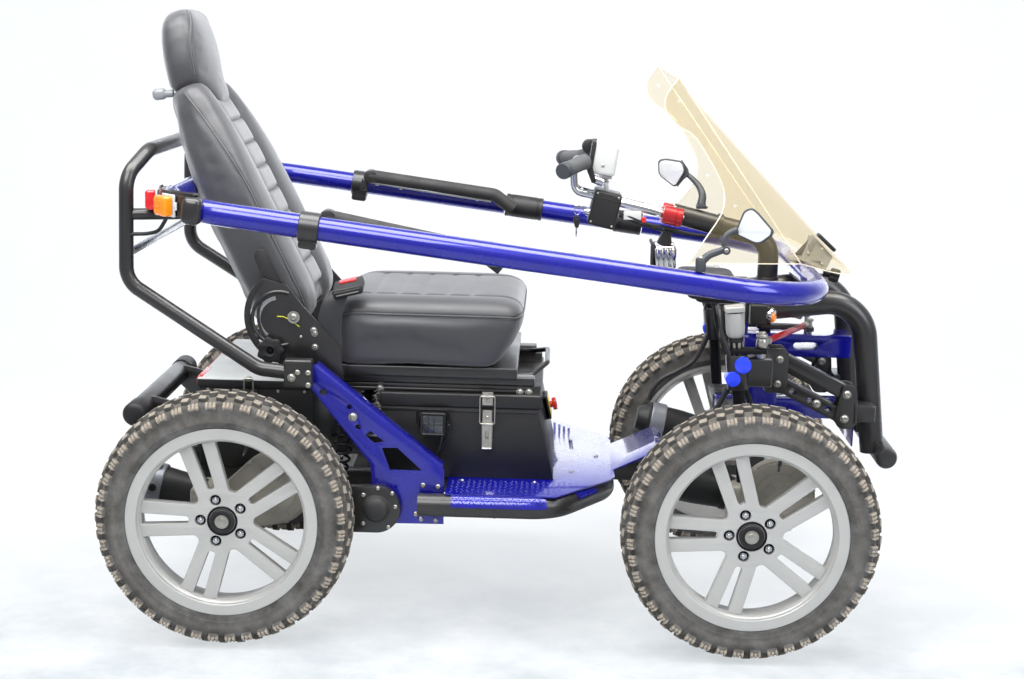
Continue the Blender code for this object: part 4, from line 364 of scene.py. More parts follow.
@dataclass(frozen=True)
class TyreFinish(Finish):
    """Moulded tyre rubber: a dark carcass, grey with road dust on its wall and brown on its knobs."""

    wall_dust: str = "#626160"
    tread_dust: str = "#978e81"

    def colouring(self, tree: bpy.types.NodeTree, place: bpy.types.NodeSocket,
                  tone: bpy.types.NodeSocket) -> bpy.types.NodeSocket:
        """Give the rubber's colour, with dust where the mesh's own dust value says.

        Args:
            tree: The material's nodes.
            place: The coordinates.
            tone: The slow noise that mixes the two tones.

        Returns:
            The colour's socket.
        """
        base = Finish.colouring(self, tree, place, tone)
        patches = add_node(tree, "ShaderNodeTexNoise", {"Scale": 24.0, "Detail": 6.0, "Roughness": 0.65},
                           {"Vector": place}).outputs[0]
        grey = add_node(tree, "ShaderNodeMapRange", {1: 0.35, 2: 0.70, 3: 0.10, 4: 0.85},
                        {0: patches}).outputs[0]
        wall = add_node(tree, "ShaderNodeMix", {"data_type": "RGBA", 7: linear(self.wall_dust)},
                        {0: grey, 6: base}).outputs[2]
        dust = add_node(tree, "ShaderNodeAttribute", {"attribute_name": "dust"}).outputs["Fac"]
        fine = add_node(tree, "ShaderNodeTexNoise", {"Scale": 160.0, "Detail": 4.0},
                        {"Vector": place}).outputs[0]
        ragged = add_node(tree, "ShaderNodeMapRange", {1: 0.25, 2: 0.65, 3: 0.55, 4: 1.0},
                          {0: fine}).outputs[0]
        share = add_node(tree, "ShaderNodeMath", {"operation": "MULTIPLY", "use_clamp": True},
                         {0: dust, 1: ragged}).outputs[0]
        return add_node(tree, "ShaderNodeMix", {"data_type": "RGBA", 7: linear(self.tread_dust)},
                        {0: share, 6: wall}).outputs[2]


# Each entry is a real material; the words say what its making gives the eye.
# Candy enamel over flake: saturated, deep, with sharp white streaks from its clear coat, and a painted glint
# of paler blue flakes.
CANDY_BLUE = CandyFinish("candy_enamel", "#080a94", "#060776", metallic=0.30, roughness=(0.24, 0.32),
                         grain_mm=2.5, depth_mm=0.008, coat=1.0, coat_roughness=0.045)
# Polyester powder coat: satin black with a fine orange peel.
POWDER_BLACK = Finish("powder_coat", "#161515", "#1d1c1c", roughness=(0.32, 0.42), grain_mm=1.6,
                      depth_mm=0.035, specular=0.62, coat=0.35, coat_roughness=0.20, dust=0.05)
# Folded sheet steel in black stove enamel: smooth, with a faint soft shine.
STOVE_BLACK = Finish("stove_enamel", "#111112", "#161618", roughness=(0.44, 0.54), grain_mm=3.0,
                     depth_mm=0.02, coat=0.06, coat_roughness=0.20, dust=0.05)
# Cast aluminium in silver wheel paint: pale, even, softly metallic.
WHEEL_SILVER = Finish("wheel_silver", "#b4b3b0", "#a6a5a2", metallic=0.35, roughness=(0.36, 0.46),
                      grain_mm=0.8, depth_mm=0.008, coat=0.25, coat_roughness=0.2)
# Cast aluminium left bare: dull, warm grey, with stains.
CASE_ALLOY = Finish("cast_aluminium", "#b3aea2", "#9b968c", tone_mm=35.0, metallic=0.40,
                    roughness=(0.42, 0.58), grain_mm=1.0, depth_mm=0.05, dust=0.35)
# Moulded tyre rubber: matt and dark, with dust that dulls it.
TYRE_RUBBER = TyreFinish("tyre_rubber", "#2a2927", "#353330", tone_mm=30.0, roughness=(0.78, 0.92),
                         grain_mm=2.2, depth_mm=0.12, specular=0.3)
# Moulded nylon: matt and near black, a little dusty.
NYLON_BLACK = Finish("moulded_nylon", "#101011", "#18181a", roughness=(0.44, 0.58), grain_mm=0.9,
                     depth_mm=0.05, dust=0.04)
# Soft grip rubber: dull grey, without any shine.
GRIP_RUBBER = Finish("grip_rubber", "#4a4b4d", "#58595b", roughness=(0.66, 0.80), grain_mm=1.4, depth_mm=0.08)
# Skinned foam: black, matt and slightly rough, with a little dust.
PAD_FOAM = Finish("skinned_foam", "#1c1c1d", "#252526", roughness=(0.58, 0.74), grain_mm=1.2, depth_mm=0.08,
                  dust=0.12)
# Anodised aluminium: an even grey metal with a blurred shine.
BAND_GREY = Finish("anodised_band", "#8d9096", "#7f8288", metallic=0.55, roughness=(0.38, 0.48),
                   grain_mm=1.0, depth_mm=0.02)
# Zinc-plated steel: warm silver with small dull spots.
ZINC = Finish("zinc_plated_steel", "#c8c6bf", "#aeaba2", tone_mm=12.0, metallic=1.0, roughness=(0.26, 0.42),
              grain_mm=0.8, depth_mm=0.02)
# Chrome plate: a mirror, which shows the room.
CHROME = Finish("chrome_plate", "#dcdde0", "#cfd1d4", metallic=1.0, roughness=(0.06, 0.12), depth_mm=0.0)
# Brushed stainless steel: silver with a shine drawn out across its lines.
BRUSHED = Finish("brushed_stainless", "#bfc0c2", "#adaeb0", metallic=1.0, roughness=(0.22, 0.34),
                 grain=Grain.BRUSHED, grain_mm=0.5, depth_mm=0.012)
# Red anodised aluminium: a metal that glints red.
RED_ANODISED = Finish("red_anodised", "#b3202a", "#9a1820", metallic=0.45, roughness=(0.30, 0.40),
                      grain_mm=1.0, depth_mm=0.015, coat=0.3)
# Red acrylic: bright and glossy.
RED_PLASTIC = Finish("red_acrylic", "#d02018", "#b81810", roughness=(0.22, 0.30), depth_mm=0.0, coat=0.5)
# Moulded red lens: glossy, with cells that break up its highlights.
LENS_RED = Finish("red_lens", "#d8141c", "#b00c14", roughness=(0.10, 0.16), grain=Grain.CELLS, grain_mm=5.0,
                  depth_mm=0.35, coat=1.0)
# Moulded amber lens: the same cells in orange.
LENS_AMBER = Finish("amber_lens", "#ff8c0a", "#f07800", roughness=(0.10, 0.16), grain=Grain.CELLS,
                    grain_mm=5.0, depth_mm=0.35, coat=1.0)
# Lamp glass: dark, with a cut pattern that glints.
LAMP_GLASS = Finish("lamp_glass", "#34373c", "#222428", roughness=(0.08, 0.14), grain=Grain.CELLS,
                    grain_mm=9.0, depth_mm=0.5, coat=1.0)
# Grained vinyl over foam: dark grey, with a soft sheen and a pebble grain.
LEATHERETTE = Finish("vinyl_leather", "#2b2b2e", "#313134", tone_mm=120.0, roughness=(0.38, 0.50),
                     grain=Grain.CELLS, grain_mm=1.6, depth_mm=0.10, specular=0.75, sheen=0.35)
# Perforated vinyl: paler and duller than the bolsters.
LEATHER_INSERT = Finish("perforated_vinyl", "#48494b", "#505153", tone_mm=90.0, roughness=(0.54, 0.66),
                        grain=Grain.CELLS, grain_mm=2.0, depth_mm=0.14, specular=0.6, sheen=0.45)
# Bonded thread: thin, dark and dull, a tone over the vinyl.
THREAD = Finish("bonded_thread", "#232326", "#2e2e31", roughness=(0.6, 0.7), grain_mm=0.5, depth_mm=0.05)
# Polyester webbing: black, with a woven grain and a faint sheen.
WEBBING = Finish("polyester_webbing", "#17171a", "#202024", roughness=(0.42, 0.60), grain=Grain.WEAVE,
                 grain_mm=1.5, depth_mm=0.12, sheen=0.3)
# Tinted acrylic: clear, pale amber, with bright edges.
TINTED_ACRYLIC = SheetFinish("tinted_acrylic", "#d8cba0", "#d2c498", roughness=(0.05, 0.08), depth_mm=0.0,
                             specular=0.5, alpha=0.5)
# The same acrylic where it is cut or folded, with a painted highlight: near white, as if light gathered there
# and the edge glowed.
EDGE_HIGHLIGHT_PAINT = Finish("painted_edge_highlight", "#fffaf0", "#fff6e4", roughness=(0.10, 0.16), depth_mm=0.0,
                       alpha=0.55)
# Polycarbonate left clear: nearly gone, but for its edges.
CLEAR_TRAY = Finish("clear_polycarbonate", "#dfe3e6", "#d6dade", roughness=(0.06, 0.10), depth_mm=0.0,
                    alpha=0.30)
# Light ABS: pale and even, with a satin shine.
ABS_WHITE = Finish("abs_light", "#c6c8c6", "#b8bab8", roughness=(0.32, 0.42), grain_mm=0.8, depth_mm=0.03)
# Grey ABS: smooth, with a soft gloss.
ABS_GREY = Finish("abs_grey", "#85878a", "#7a7c7f", roughness=(0.28, 0.38), grain_mm=0.8, depth_mm=0.02,
                  coat=0.2)
# Printed plate: flat bright yellow.
YELLOW_PLATE = Finish("printed_yellow", "#e8d21c", "#d8c010", roughness=(0.35, 0.45), depth_mm=0.0)
# Display glass: dark green and glossy.
SCREEN_GREEN = Finish("display_glass", "#39423c", "#2d3530", roughness=(0.06, 0.10), depth_mm=0.0, coat=1.0)
# Silvered glass: pale, and it shows a blurred room.
MIRROR_GLASS = Finish("silvered_glass", "#f2f4f6", "#eceef1", metallic=0.55, roughness=(0.22, 0.26),
                      depth_mm=0.0)
# PVC sheath: black, with a soft shine along its run.
CABLE_PVC = Finish("cable_sheath", "#161618", "#1f1f21", roughness=(0.40, 0.55), grain_mm=2.0, depth_mm=0.02)
# Moulded plastic caps: bright blue and glossy.
CAP_BLUE = Finish("cap_plastic", "#2444f4", "#1c38dc", roughness=(0.22, 0.30), depth_mm=0.0, coat=0.4)
# Moulded mirror shell: charcoal with a satin shine.
MIRROR_SHELL = Finish("mirror_shell", "#3b3e42", "#34373b", roughness=(0.40, 0.50), grain_mm=1.0,
                      depth_mm=0.03)
# Grey bracket paint: flat, with a fine grain.
BRACKET_GREY = Finish("bracket_paint", "#7e8083", "#747679", roughness=(0.36, 0.46), grain_mm=1.2,
                      depth_mm=0.02)
# Blackened steel: dark metal that still glints on its edges.
BLACK_STEEL = Finish("blackened_steel", "#26262a", "#1c1c1f", tone_mm=20.0, metallic=0.8,
                     roughness=(0.34, 0.48), grain_mm=0.8, depth_mm=0.03)
# Hard rubber grip end: dark grey and dull.
GRIP_END = Finish("grip_end", "#3a3d42", "#33363a", roughness=(0.5, 0.6))
# Yellow wire sheath: a thin bright line.
WIRE_YELLOW = Finish("wire_yellow", "#c8c41e", "#b4b016", roughness=(0.4, 0.5), depth_mm=0.0)
# Painted studio floor: smooth, pale and slightly blue, with faint scuffs.
FLOOR_PAINT = FloorFinish("floor_paint", "#f6f8fa", "#f0f3f6", tone_mm=600.0, roughness=(0.55, 0.70),
                          grain_mm=6.0, depth_mm=0.05)


# Modelling

def select_only(*made: Thing) -> None:
    """Select these objects alone, with the last one active."""
    for other in list(bpy.context.selected_objects):
        other.select_set(False)
    for one in made:
        one.select_set(True)
    bpy.context.view_layer.objects.active = made[-1]


def settled(made: Thing) -> Thing:
    """Apply an object's place to its mesh, so that the object sits at the origin.

    Args:
        made: The object.

    Returns:
        The same object.
    """
    select_only(made)
    bpy.ops.object.transform_apply(location=True, rotation=True, scale=True)
    return made


def added() -> Thing:
    """Give the object that an operator has just added, with its place in its mesh."""
    return settled(bpy.context.active_object)


def modified(made: Thing, kind: str, **settings: object) -> Thing:
    """Put a modifier on an object and apply it.

    Args:
        made: The object.
        kind: The modifier's type.
        **settings: The modifier's settings.

    Returns:
        The same object.
    """
    step = made.modifiers.new(kind.lower(), kind)
    for name, value in settings.items():
        setattr(step, name, value)
    select_only(made)
    bpy.ops.object.modifier_apply(modifier=step.name)
    return made


def bevelled(made: Thing, width: float, segments: int = 2, angle: float = 35.0) -> Thing:
    """Round an object's sharp edges.

    Args:
        made: The object.
        width: The width of the rounding.
        segments: How many steps it has.
        angle: Edges sharper than this, in degrees, are rounded.

    Returns:
        The same object.
    """
    if width <= 0:
        return made
    return modified(made, "BEVEL", width=width, segments=segments, limit_method="ANGLE",
                    angle_limit=math.radians(angle), use_clamp_overlap=True)


@contextmanager
def editing(made: Thing, mode: str = "FACE") -> Iterator[None]:
    """Hold an object in edit mode, with the selection that its mesh has.

    Args:
        made: The object.
        mode: What is selected: VERT, EDGE or FACE.

    Returns:
        Nothing, while the object is open.
    """
    select_only(made)
    bpy.ops.object.mode_set(mode="EDIT")
    bpy.ops.mesh.select_mode(type=mode)
    yield
    bpy.ops.object.mode_set(mode="OBJECT")


def pick(made: Thing, test: Callable[[Vector, Vector], bool]) -> None:
    """Select the faces whose middle and normal pass a test, and nothing else.

    Args:
        made: The object.
        test: Says yes or no to a face's middle and normal.
    """
    mesh = made.data
    for part in (mesh.vertices, mesh.edges, mesh.polygons):
        part.foreach_set("select", [False] * len(part))
    for face in mesh.polygons:
        face.select = test(face.center, face.normal)


def cleaned(made: Thing, distance: float = 0.00002) -> Thing:
    """Merge an object's double points and point its faces outwards.

    Args:
        made: The object.
        distance: Points closer than this become one.

    Returns:
        The same object.
    """
    select_only(made)
    bpy.ops.object.mode_set(mode="EDIT")
    bpy.ops.mesh.select_all(action="SELECT")
    bpy.ops.mesh.remove_doubles(threshold=distance)
    bpy.ops.mesh.normals_make_consistent(inside=False)
    bpy.ops.object.mode_set(mode="OBJECT")
    return made


def block(low: Spot, high: Spot, bevel: float = 0.002, segments: int = 2, turn: float = 0.0) -> Thing:
    """Make a box between two corners.

    Args:
        low: The lowest corner.
        high: The highest corner.
        bevel: The radius of its edges.
        segments: The facets of each edge.
        turn: Its turn about its own middle, in degrees about +Y.

    Returns:
        The box.
    """
    a, b = Vector(low), Vector(high)
    spans = [abs(v) for v in b - a]
    bpy.ops.mesh.primitive_cube_add(size=1.0, location=(a + b) / 2, rotation=(0, math.radians(turn), 0),
                                    scale=spans)
    return bevelled(added(), min(bevel, min(spans) * 0.49), segments)


def rod(start: Spot, end: Spot, radius: float, sides: int = 32, end_radius: float | None = None,
        bevel: float = 0.0008) -> Thing:
    """Make a round bar between two points.

    Args:
        start: One end's middle.
        end: The other end's middle.
        radius: Its radius.
        sides: Its facets.
        end_radius: Its radius at the other end, where it tapers.
        bevel: The radius of its end edges.

    Returns:
        The bar.
    """
    a, b = Vector(start), Vector(end)
    run = b - a
    tip = radius if end_radius is None else end_radius
    bpy.ops.mesh.primitive_cone_add(vertices=sides, radius1=radius, radius2=tip, depth=run.length,
                                    location=(a + b) / 2, rotation=run.to_track_quat("Z", "Y").to_euler())
    return bevelled(added(), min(bevel, run.length * 0.4), 2, 45.0)


def bar(start: Spot, end: Spot, width: float, height: float, bevel: float = 0.002) -> Thing:
    """Make a rectangular bar between two points that share their Y, height across in XZ.

    Args:
        start: The middle of one end.
        end: The middle of the other end.
        width: Its size along Y.
        height: Its size across the run.
        bevel: The rounding of its edges.

    Returns:
        The bar.
    """
    a, b = Vector(start), Vector(end)
    run, middle = b - a, (a + b) / 2
    half = Vector((run.length / 2, width / 2, height / 2))
    return block(middle - half, middle + half, bevel, 2, math.degrees(math.atan2(-run.z, run.x)))


def outline_curve(rings: Sequence[Flat], half: float, bevel: float) -> Thing:
    """Make a filled flat curve with its holes, given a thickness.

    Args:
        rings: The outline, then its holes.
        half: Half the thickness.
        bevel: The rounding of the edges.

    Returns:
        The curve, made to a mesh.
    """
    curve = bpy.data.curves.new("outline", "CURVE")
    curve.dimensions = "2D"
    curve.fill_mode = "BOTH"
    curve.bevel_depth = bevel
    curve.bevel_resolution = 1
    curve.extrude = half - bevel
    curve.offset = -bevel
    for ring in rings:
        spline = curve.splines.new("POLY")
        spline.points.add(len(ring) - 1)
        for point, (x, y) in zip(spline.points, ring):
            point.co = (x, y, 0.0, 1.0)
        spline.use_cyclic_u = True
    made = bpy.data.objects.new("outline", curve)
    bpy.context.scene.collection.objects.link(made)
    return made


def plate(outline: Flat, thickness: float, y: float = 0.0, holes: Sequence[Flat] = (),
          bevel: float = 0.0008) -> Thing:
    """Make a plate that stands along the machine, from an outline in X and Z.

    Args:
        outline: Its outline.
        thickness: Its thickness along Y.
        y: The place of its middle.
        holes: The outlines of its holes.
        bevel: The radius of its edges.

    Returns:
        The plate.
    """
    made = outline_curve([outline, *holes], thickness / 2, bevel)
    made.rotation_euler = (math.radians(90), 0, 0)
    made.location = (0, y, 0)
    select_only(made)
    bpy.ops.object.convert(target="MESH")
    return cleaned(added())


def floor_plate(outline: Flat, low: float, high: float, holes: Sequence[Flat] = (),
                bevel: float = 0.0008) -> Thing:
    """Make a level plate from an outline in X and Y, between two heights.

    Args:
        outline: The outline in X and Y.
        low: The height of its lower face.
        high: The height of its upper face.
        holes: Outlines of the holes.
        bevel: The rounding of its edges.

    Returns:
        The plate.
    """
    made = outline_curve([outline, *holes], (high - low) / 2, bevel)
    made.location = (0, 0, (low + high) / 2)
    select_only(made)
    bpy.ops.object.convert(target="MESH")
    return cleaned(added())


def circle(centre: tuple[float, float], radius: float, sides: int = 24) -> list[tuple[float, float]]:
    """Give a circle's points.

    Args:
        centre: The middle.
        radius: The radius.
        sides: How many points.

    Returns:
        The points.
    """
    return [(centre[0] + radius * math.cos(math.tau * i / sides),
             centre[1] + radius * math.sin(math.tau * i / sides)) for i in range(sides)]


def arc(centre: tuple[float, float], radius: float, start: float, end: float,
        steps: int) -> list[tuple[float, float]]:
    """Give an arc's points, between two angles in degrees.

    Args:
        centre: The middle.
        radius: The radius.
        start: The first angle.
        end: The last angle.
        steps: How many steps lie between them.

    Returns:
        The points, one more than the steps.
    """
    made = []
    for i in range(steps + 1):
        angle = math.radians(start + (end - start) * i / steps)
        made.append((centre[0] + radius * math.cos(angle), centre[1] + radius * math.sin(angle)))
    return made


def hull_of_circles(a: tuple[float, float], ra: float, b: tuple[float, float], rb: float,
                    steps: int = 14) -> list[tuple[float, float]]:
    """Give the outline round two circles, as a band that wraps both.

    Args:
        a: The first circle's middle.
        ra: Its radius.
        b: The second circle's middle.
        rb: Its radius.
        steps: How many steps each end has.

    Returns:
        The outline.
    """
    run = Vector(b) - Vector(a)
    heading = math.degrees(math.atan2(run.y, run.x))
    lean = math.degrees(math.acos(max(-1.0, min(1.0, (ra - rb) / run.length))))
    return (arc(a, ra, heading + lean, heading + 360 - lean, steps)
            + arc(b, rb, heading - lean, heading + lean, steps))


def eased(outline: Flat, radius: float, steps: int = 5) -> list[tuple[float, float]]:
    """Round the corners of a closed outline.

    Args:
        outline: The outline.
        radius: The radius, made less where a side is short.
        steps: The facets of each corner.

    Returns:
        The new outline.
    """
    made = []
    count = len(outline)
    for i in range(count):
        before, corner, after = (Vector(outline[k % count]) for k in (i - 1, i, i + 1))
        back, ahead = before - corner, after - corner
        reach = min(radius, back.length * 0.45, ahead.length * 0.45)
        first, last = corner + back.normalized() * reach, corner + ahead.normalized() * reach
        for k in range(steps + 1):
            t = k / steps
            made.append(tuple(first * (1 - t) ** 2 + corner * 2 * t * (1 - t) + last * t * t))
    return made


def bent(points: Sequence[Spot], radius: float, steps: int = 12) -> list[Vector]:
    """Give an open route its bends, each an arc of one radius.

    Args:
        points: The route's corners.
        radius: The radius of the bends.
        steps: The facets of each bend.

    Returns:
        The route's points.
    """
    route = [Vector(p) for p in points]
    made = [route[0]]
    for before, corner, after in zip(route, route[1:], route[2:]):
        back, ahead = (before - corner).normalized(), (after - corner).normalized()
        half = back.angle(ahead) / 2
        if half > math.radians(89.5):
            made.append(corner)
            continue
        reach = radius / math.tan(half)
        centre = corner + (back + ahead).normalized() * radius / math.sin(half)
        first, last = corner + back * reach - centre, corner + ahead * reach - centre
        for i in range(steps + 1):
            made.append(centre + first.slerp(last, i / steps).normalized() * radius)
    made.append(route[-1])
    return made


def smooth_route(points: Sequence[Spot], steps: int = 8) -> list[Vector]:
    """Give a smooth route through points, as a Catmull-Rom curve.

    Args:
        points: The points that the route passes.
        steps: How many steps lie between two points.

    Returns:
        The route's points.
    """
    route = [Vector(p) for p in points]
    route = [route[0] * 2 - route[1], *route, route[-1] * 2 - route[-2]]
    made = []
    for a, b, c, d in zip(route, route[1:], route[2:], route[3:]):
        for i in range(steps):
            t = i / steps
            made.append(0.5 * ((2 * b) + (c - a) * t + (2 * a - 5 * b + 4 * c - d) * t ** 2
                               + (3 * b - a - 3 * c + d) * t ** 3))
    made.append(route[-2])
    return made


def tube(path: Sequence[Vector], radius: float, resolution: int = 6, closed: bool = False) -> Thing:
    """Make a round tube along a route.

    Args:
        path: The route.
        radius: The tube's radius.
        resolution: The fineness of its round.
        closed: Whether the route is a ring.

    Returns:
        The tube.
    """
    curve = bpy.data.curves.new("tube", "CURVE")
    curve.dimensions = "3D"
    curve.bevel_depth = radius
    curve.bevel_resolution = resolution
    curve.use_fill_caps = not closed
    spline = curve.splines.new("POLY")
    spline.points.add(len(path) - 1)
    for point, place in zip(spline.points, path):
        point.co = (*place, 1.0)
    spline.use_cyclic_u = closed
    made = bpy.data.objects.new("tube", curve)
    bpy.context.scene.collection.objects.link(made)
    select_only(made)
    bpy.ops.object.convert(target="MESH")
    return cleaned(added())


def spun(profile: Flat, steps: int = 64, centre: Spot = (0, 0, 0), axis: str = "Y") -> Thing:
    """Spin a closed profile of (along, radius) points round an axis.

    Args:
        profile: The profile.
        steps: The facets round.
        centre: The axis's place.
        axis: The axis, "X", "Y" or "Z".

    Returns:
        The turned shape.
    """
    lay = {"Y": lambda a, r: (0.0, a, r), "X": lambda a, r: (a, 0.0, r), "Z": lambda a, r: (r, 0.0, a)}[axis]
    mesh = bpy.data.meshes.new("spun")
    points = [lay(a, r) for a, r in profile]
    mesh.from_pydata(points, [(i, (i + 1) % len(points)) for i in range(len(points))], [])
    made = bpy.data.objects.new("spun", mesh)
    bpy.context.scene.collection.objects.link(made)
    direction = {"X": (1, 0, 0), "Y": (0, 1, 0), "Z": (0, 0, 1)}[axis]
    select_only(made)
    bpy.ops.object.mode_set(mode="EDIT")
    bpy.ops.mesh.select_all(action="SELECT")
    bpy.ops.mesh.spin(steps=steps, angle=math.tau, center=(0, 0, 0), axis=direction)
    bpy.ops.object.mode_set(mode="OBJECT")
    made.location = centre
    return cleaned(settled(made), 0.00001)


def turned_copies(made: Thing, count: int, centre: Spot, axis: str = "Y") -> Thing:
    """Repeat a shape round an axis with an array, and apply it.

    Args:
        made: The shape.
        count: How many there are in the end.
        centre: A point of the axis.
        axis: The axis, X, Y or Z.

    Returns:
        The shapes as one object.
    """
    bpy.ops.object.empty_add(location=centre)
    guide = bpy.context.active_object
    guide.rotation_euler["XYZ".index(axis)] = math.tau / count
    made.data.transform(Matrix.Translation(-Vector(centre)))
    made.location = centre
    bpy.context.view_layer.update()
    modified(made, "ARRAY", count=count, use_relative_offset=False, use_object_offset=True,
             offset_object=guide)
    bpy.data.objects.remove(guide, do_unlink=True)
    return settled(made)


def placed(made: Thing, move: Matrix) -> Thing:
    """Move a shape's mesh.

    Args:
        made: The shape.
        move: The move.

    Returns:
        The same shape.
    """
    made.data.transform(move)
    if move.determinant() < 0:
        made.data.flip_normals()
    made.data.update()
    return made


def copied(made: Thing, move: Matrix) -> Thing:
    """Give a copy of a shape, with its own mesh, moved.

    Args:
        made: The shape.
        move: The move.

    Returns:
        The copy.
    """
    twin = made.copy()
    twin.data = made.data.copy()
    bpy.context.scene.collection.objects.link(twin)
    return placed(twin, move)


def joined(*made: Thing) -> Thing:
    """Join objects to one.

    Args:
        made: The objects.

    Returns:
        The one object.
    """
    if len(made) == 1:
        return made[0]
    select_only(*made)
    bpy.ops.object.join()
    return bpy.context.active_object


def carved(made: Thing, *cutters: Thing) -> Thing:
    """Cut shapes from an object, and remove them.

    Args:
        made: The object.
        cutters: What is taken away from it.

    Returns:
        The same object.
    """
    for cutter in cutters:
        modified(made, "BOOLEAN", operation="DIFFERENCE", solver="EXACT", object=cutter)
        bpy.data.objects.remove(cutter, do_unlink=True)
    return made


def facing(spot: Spot, direction: Spot, turn: float = 0.0) -> Matrix:
    """Give the place at a spot whose own +Z looks along a direction.

    Args:
        spot: The place's origin.
        direction: Where its +Z looks.
        turn: Its turn about +Z, in radians.

    Returns:
        The place.
    """
    look = Vector((0, 0, 1)).rotation_difference(Vector(direction).normalized()).to_matrix().to_4x4()
    return Matrix.Translation(Vector(spot)) @ look @ Matrix.Rotation(turn, 4, "Z")


def meshed(points: Sequence[Spot], faces: Sequence[Sequence[int]]) -> Thing:
    """Make an object from points and faces.

    Args:
        points: The points.
        faces: The faces, as rows of point numbers.

    Returns:
        The object.
    """
    mesh = bpy.data.meshes.new("shape")
    mesh.from_pydata([tuple(p) for p in points], [], faces)
    made = bpy.data.objects.new("shape", mesh)
    bpy.context.scene.collection.objects.link(made)
    return made


def strung(seed: Thing, places: Sequence[Matrix]) -> Thing:
    """Copy one small shape to many places, as one mesh.

    Args:
        seed: The shape, made about the origin.  It is removed.
        places: The place of each copy.

    Returns:
        The copies, as one object.
    """
    count = len(seed.data.vertices)
    flat = np.empty(count * 3)
    seed.data.vertices.foreach_get("co", flat)
    points = np.c_[flat.reshape(-1, 3), np.ones(count)]
    rings = [tuple(face.vertices) for face in seed.data.polygons]
    spots, faces = [], []
    for i, place in enumerate(places):
        spots.extend((points @ np.array(place).T)[:, :3].tolist())
        faces.extend([tuple(v + i * count for v in ring) for ring in rings])
    bpy.data.objects.remove(seed, do_unlink=True)
    return meshed(spots, faces)


def lofted(rings: Sequence[Sequence[Spot]]) -> Thing:
    """Skin a row of equal rings, closed at both ends.

    Args:
        rings: The rings, each with as many points as the next.

    Returns:
        The closed skin.
    """
    count, last = len(rings[0]), len(rings) - 1
    faces = [(i * count + j, i * count + (j + 1) % count, (i + 1) * count + (j + 1) % count,
              (i + 1) * count + j) for i in range(last) for j in range(count)]
    faces += [tuple(range(count))[::-1], tuple(range(last * count, (last + 1) * count))]
    return cleaned(meshed([p for ring in rings for p in ring], faces))


def strap(path: Sequence[Spot], across: Spot, width: float, thickness: float) -> Thing:
    """Make a flat strap along a route.

    Args:
        path: The route of its middle.
        across: The direction of its width.
        width: Its width.
        thickness: Its thickness.

    Returns:
        The strap.
    """
    route, side = [Vector(p) for p in path], Vector(across).normalized()
    w, t = width / 2, thickness / 2
    corners = [(-w, -t * 0.4), (-w + t * 0.7, -t), (w - t * 0.7, -t), (w, -t * 0.4), (w, t * 0.4),
               (w - t * 0.7, t), (-w + t * 0.7, t), (-w, t * 0.4)]
    rings = []
    for i, spot in enumerate(route):
        run = (route[min(i + 1, len(route) - 1)] - route[max(i - 1, 0)]).normalized()
        up = run.cross(side).normalized()
        rings.append([spot + side * a + up * b for a, b in corners])
    return lofted(rings)


def bolts(spots: Sequence[Spot], direction: Spot, radius: float = 0.0060, washer: float = 0.0) -> Thing:
    """Model button-head bolts with their sockets, all looking one way.

    Args:
        spots: The middles of their seats.
        direction: The way that they look.
        radius: The radius of their heads.
        washer: The radius of their washers, where they have any.

    Returns:
        The bolts, as one object.
    """
    base, high = (0.0012 if washer else 0.0), radius * 0.55
    profile = [(-0.0006, 0.0), (-0.0006, washer or radius)]
    profile += [(base, washer), (base, radius)] if washer else []
    profile += [(base + 0.3 * high, radius), (base + 0.75 * high, 0.87 * radius),
                (base + high, 0.62 * radius), (base + high, 0.47 * radius),
                (base + 0.35 * high, 0.40 * radius), (base + 0.35 * high, 0.0)]
    return painted(strung(spun(profile, 16, axis="Z"), [facing(s, direction) for s in spots]), ZINC, 38.0)


def stepped(route: Sequence[Vector], pitch: float) -> list[tuple[Vector, Vector]]:
    """Walk a route in even steps, and give each step's point and heading.

    Args:
        route: The route's points.
        pitch: The step's length.

    Returns:
        Each step's point and heading.
    """
    made, left = [], pitch / 2
    for a, b in zip(route, route[1:]):
        run = b - a
        length = run.length
        while left < length:
            made.append((a + run * (left / length), run.normalized()))
            left += pitch
        left -= length
    return made


def painted(made: Thing, finish: Finish, angle: float = 40.0) -> Thing:
    """Give a shape its finish and smooth shading.

    Args:
        made: The shape.
        finish: Its finish.
        angle: Edges sharper than this, in degrees, stay sharp.

    Returns:
        The same shape.
    """
    made.data.materials.clear()
    made.data.materials.append(finish.material())
    select_only(made)
    bpy.ops.object.shade_smooth_by_angle(angle=math.radians(angle))
    return made


def fitted(made: Thing, name: str, body: str, nodes: Sequence[str] = ()) -> Thing:
    """Name a finished piece and ride it on its body.

    Args:
        made: The piece, already painted.
        name: Its name.
        body: The body that it rides on.
        nodes: The nodes of the frame that it stands for.

    Returns:
        The piece.
    """
    made.name = name
    made.data.name = name
    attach(made, body)
    if nodes:
        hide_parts(*nodes)
    log.info("%s rides on %s, %d faces", name, body, len(made.data.polygons))
    return made


def solid_copy(node: str) -> Thing:
    """Copy a node of the frame, and merge the triangles of its flat faces.

    Args:
        node: The node.

    Returns:
        The copy.
    """
    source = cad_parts[node]
    made = bpy.data.objects.new(node + "_dressed", source.data.copy())
    bpy.context.scene.collection.objects.link(made)
    made.data.transform(source.matrix_world)
    cleaned(made, 0.00001)
    with editing(made):
        bpy.ops.mesh.select_all(action="SELECT")
        bpy.ops.mesh.dissolve_limited(angle_limit=math.radians(0.6))
    return made


def carried_over(node: str, finish: Finish, body: str, bevel: float = 0.0008) -> Thing:
    """Dress a copy of a node of the frame with rounded edges, and let it stand for the node.

    Args:
        node: The node.
        finish: Its finish.
        body: The body that it rides on.
        bevel: The radius of its edges.

    Returns:
        The copy.
    """
    made = solid_copy(node)
    bevelled(made, bevel, 2, MACHINED_EDGES)
    painted(made, finish)
    return fitted(made, node + "_dressed", body, [node])


# Wheels

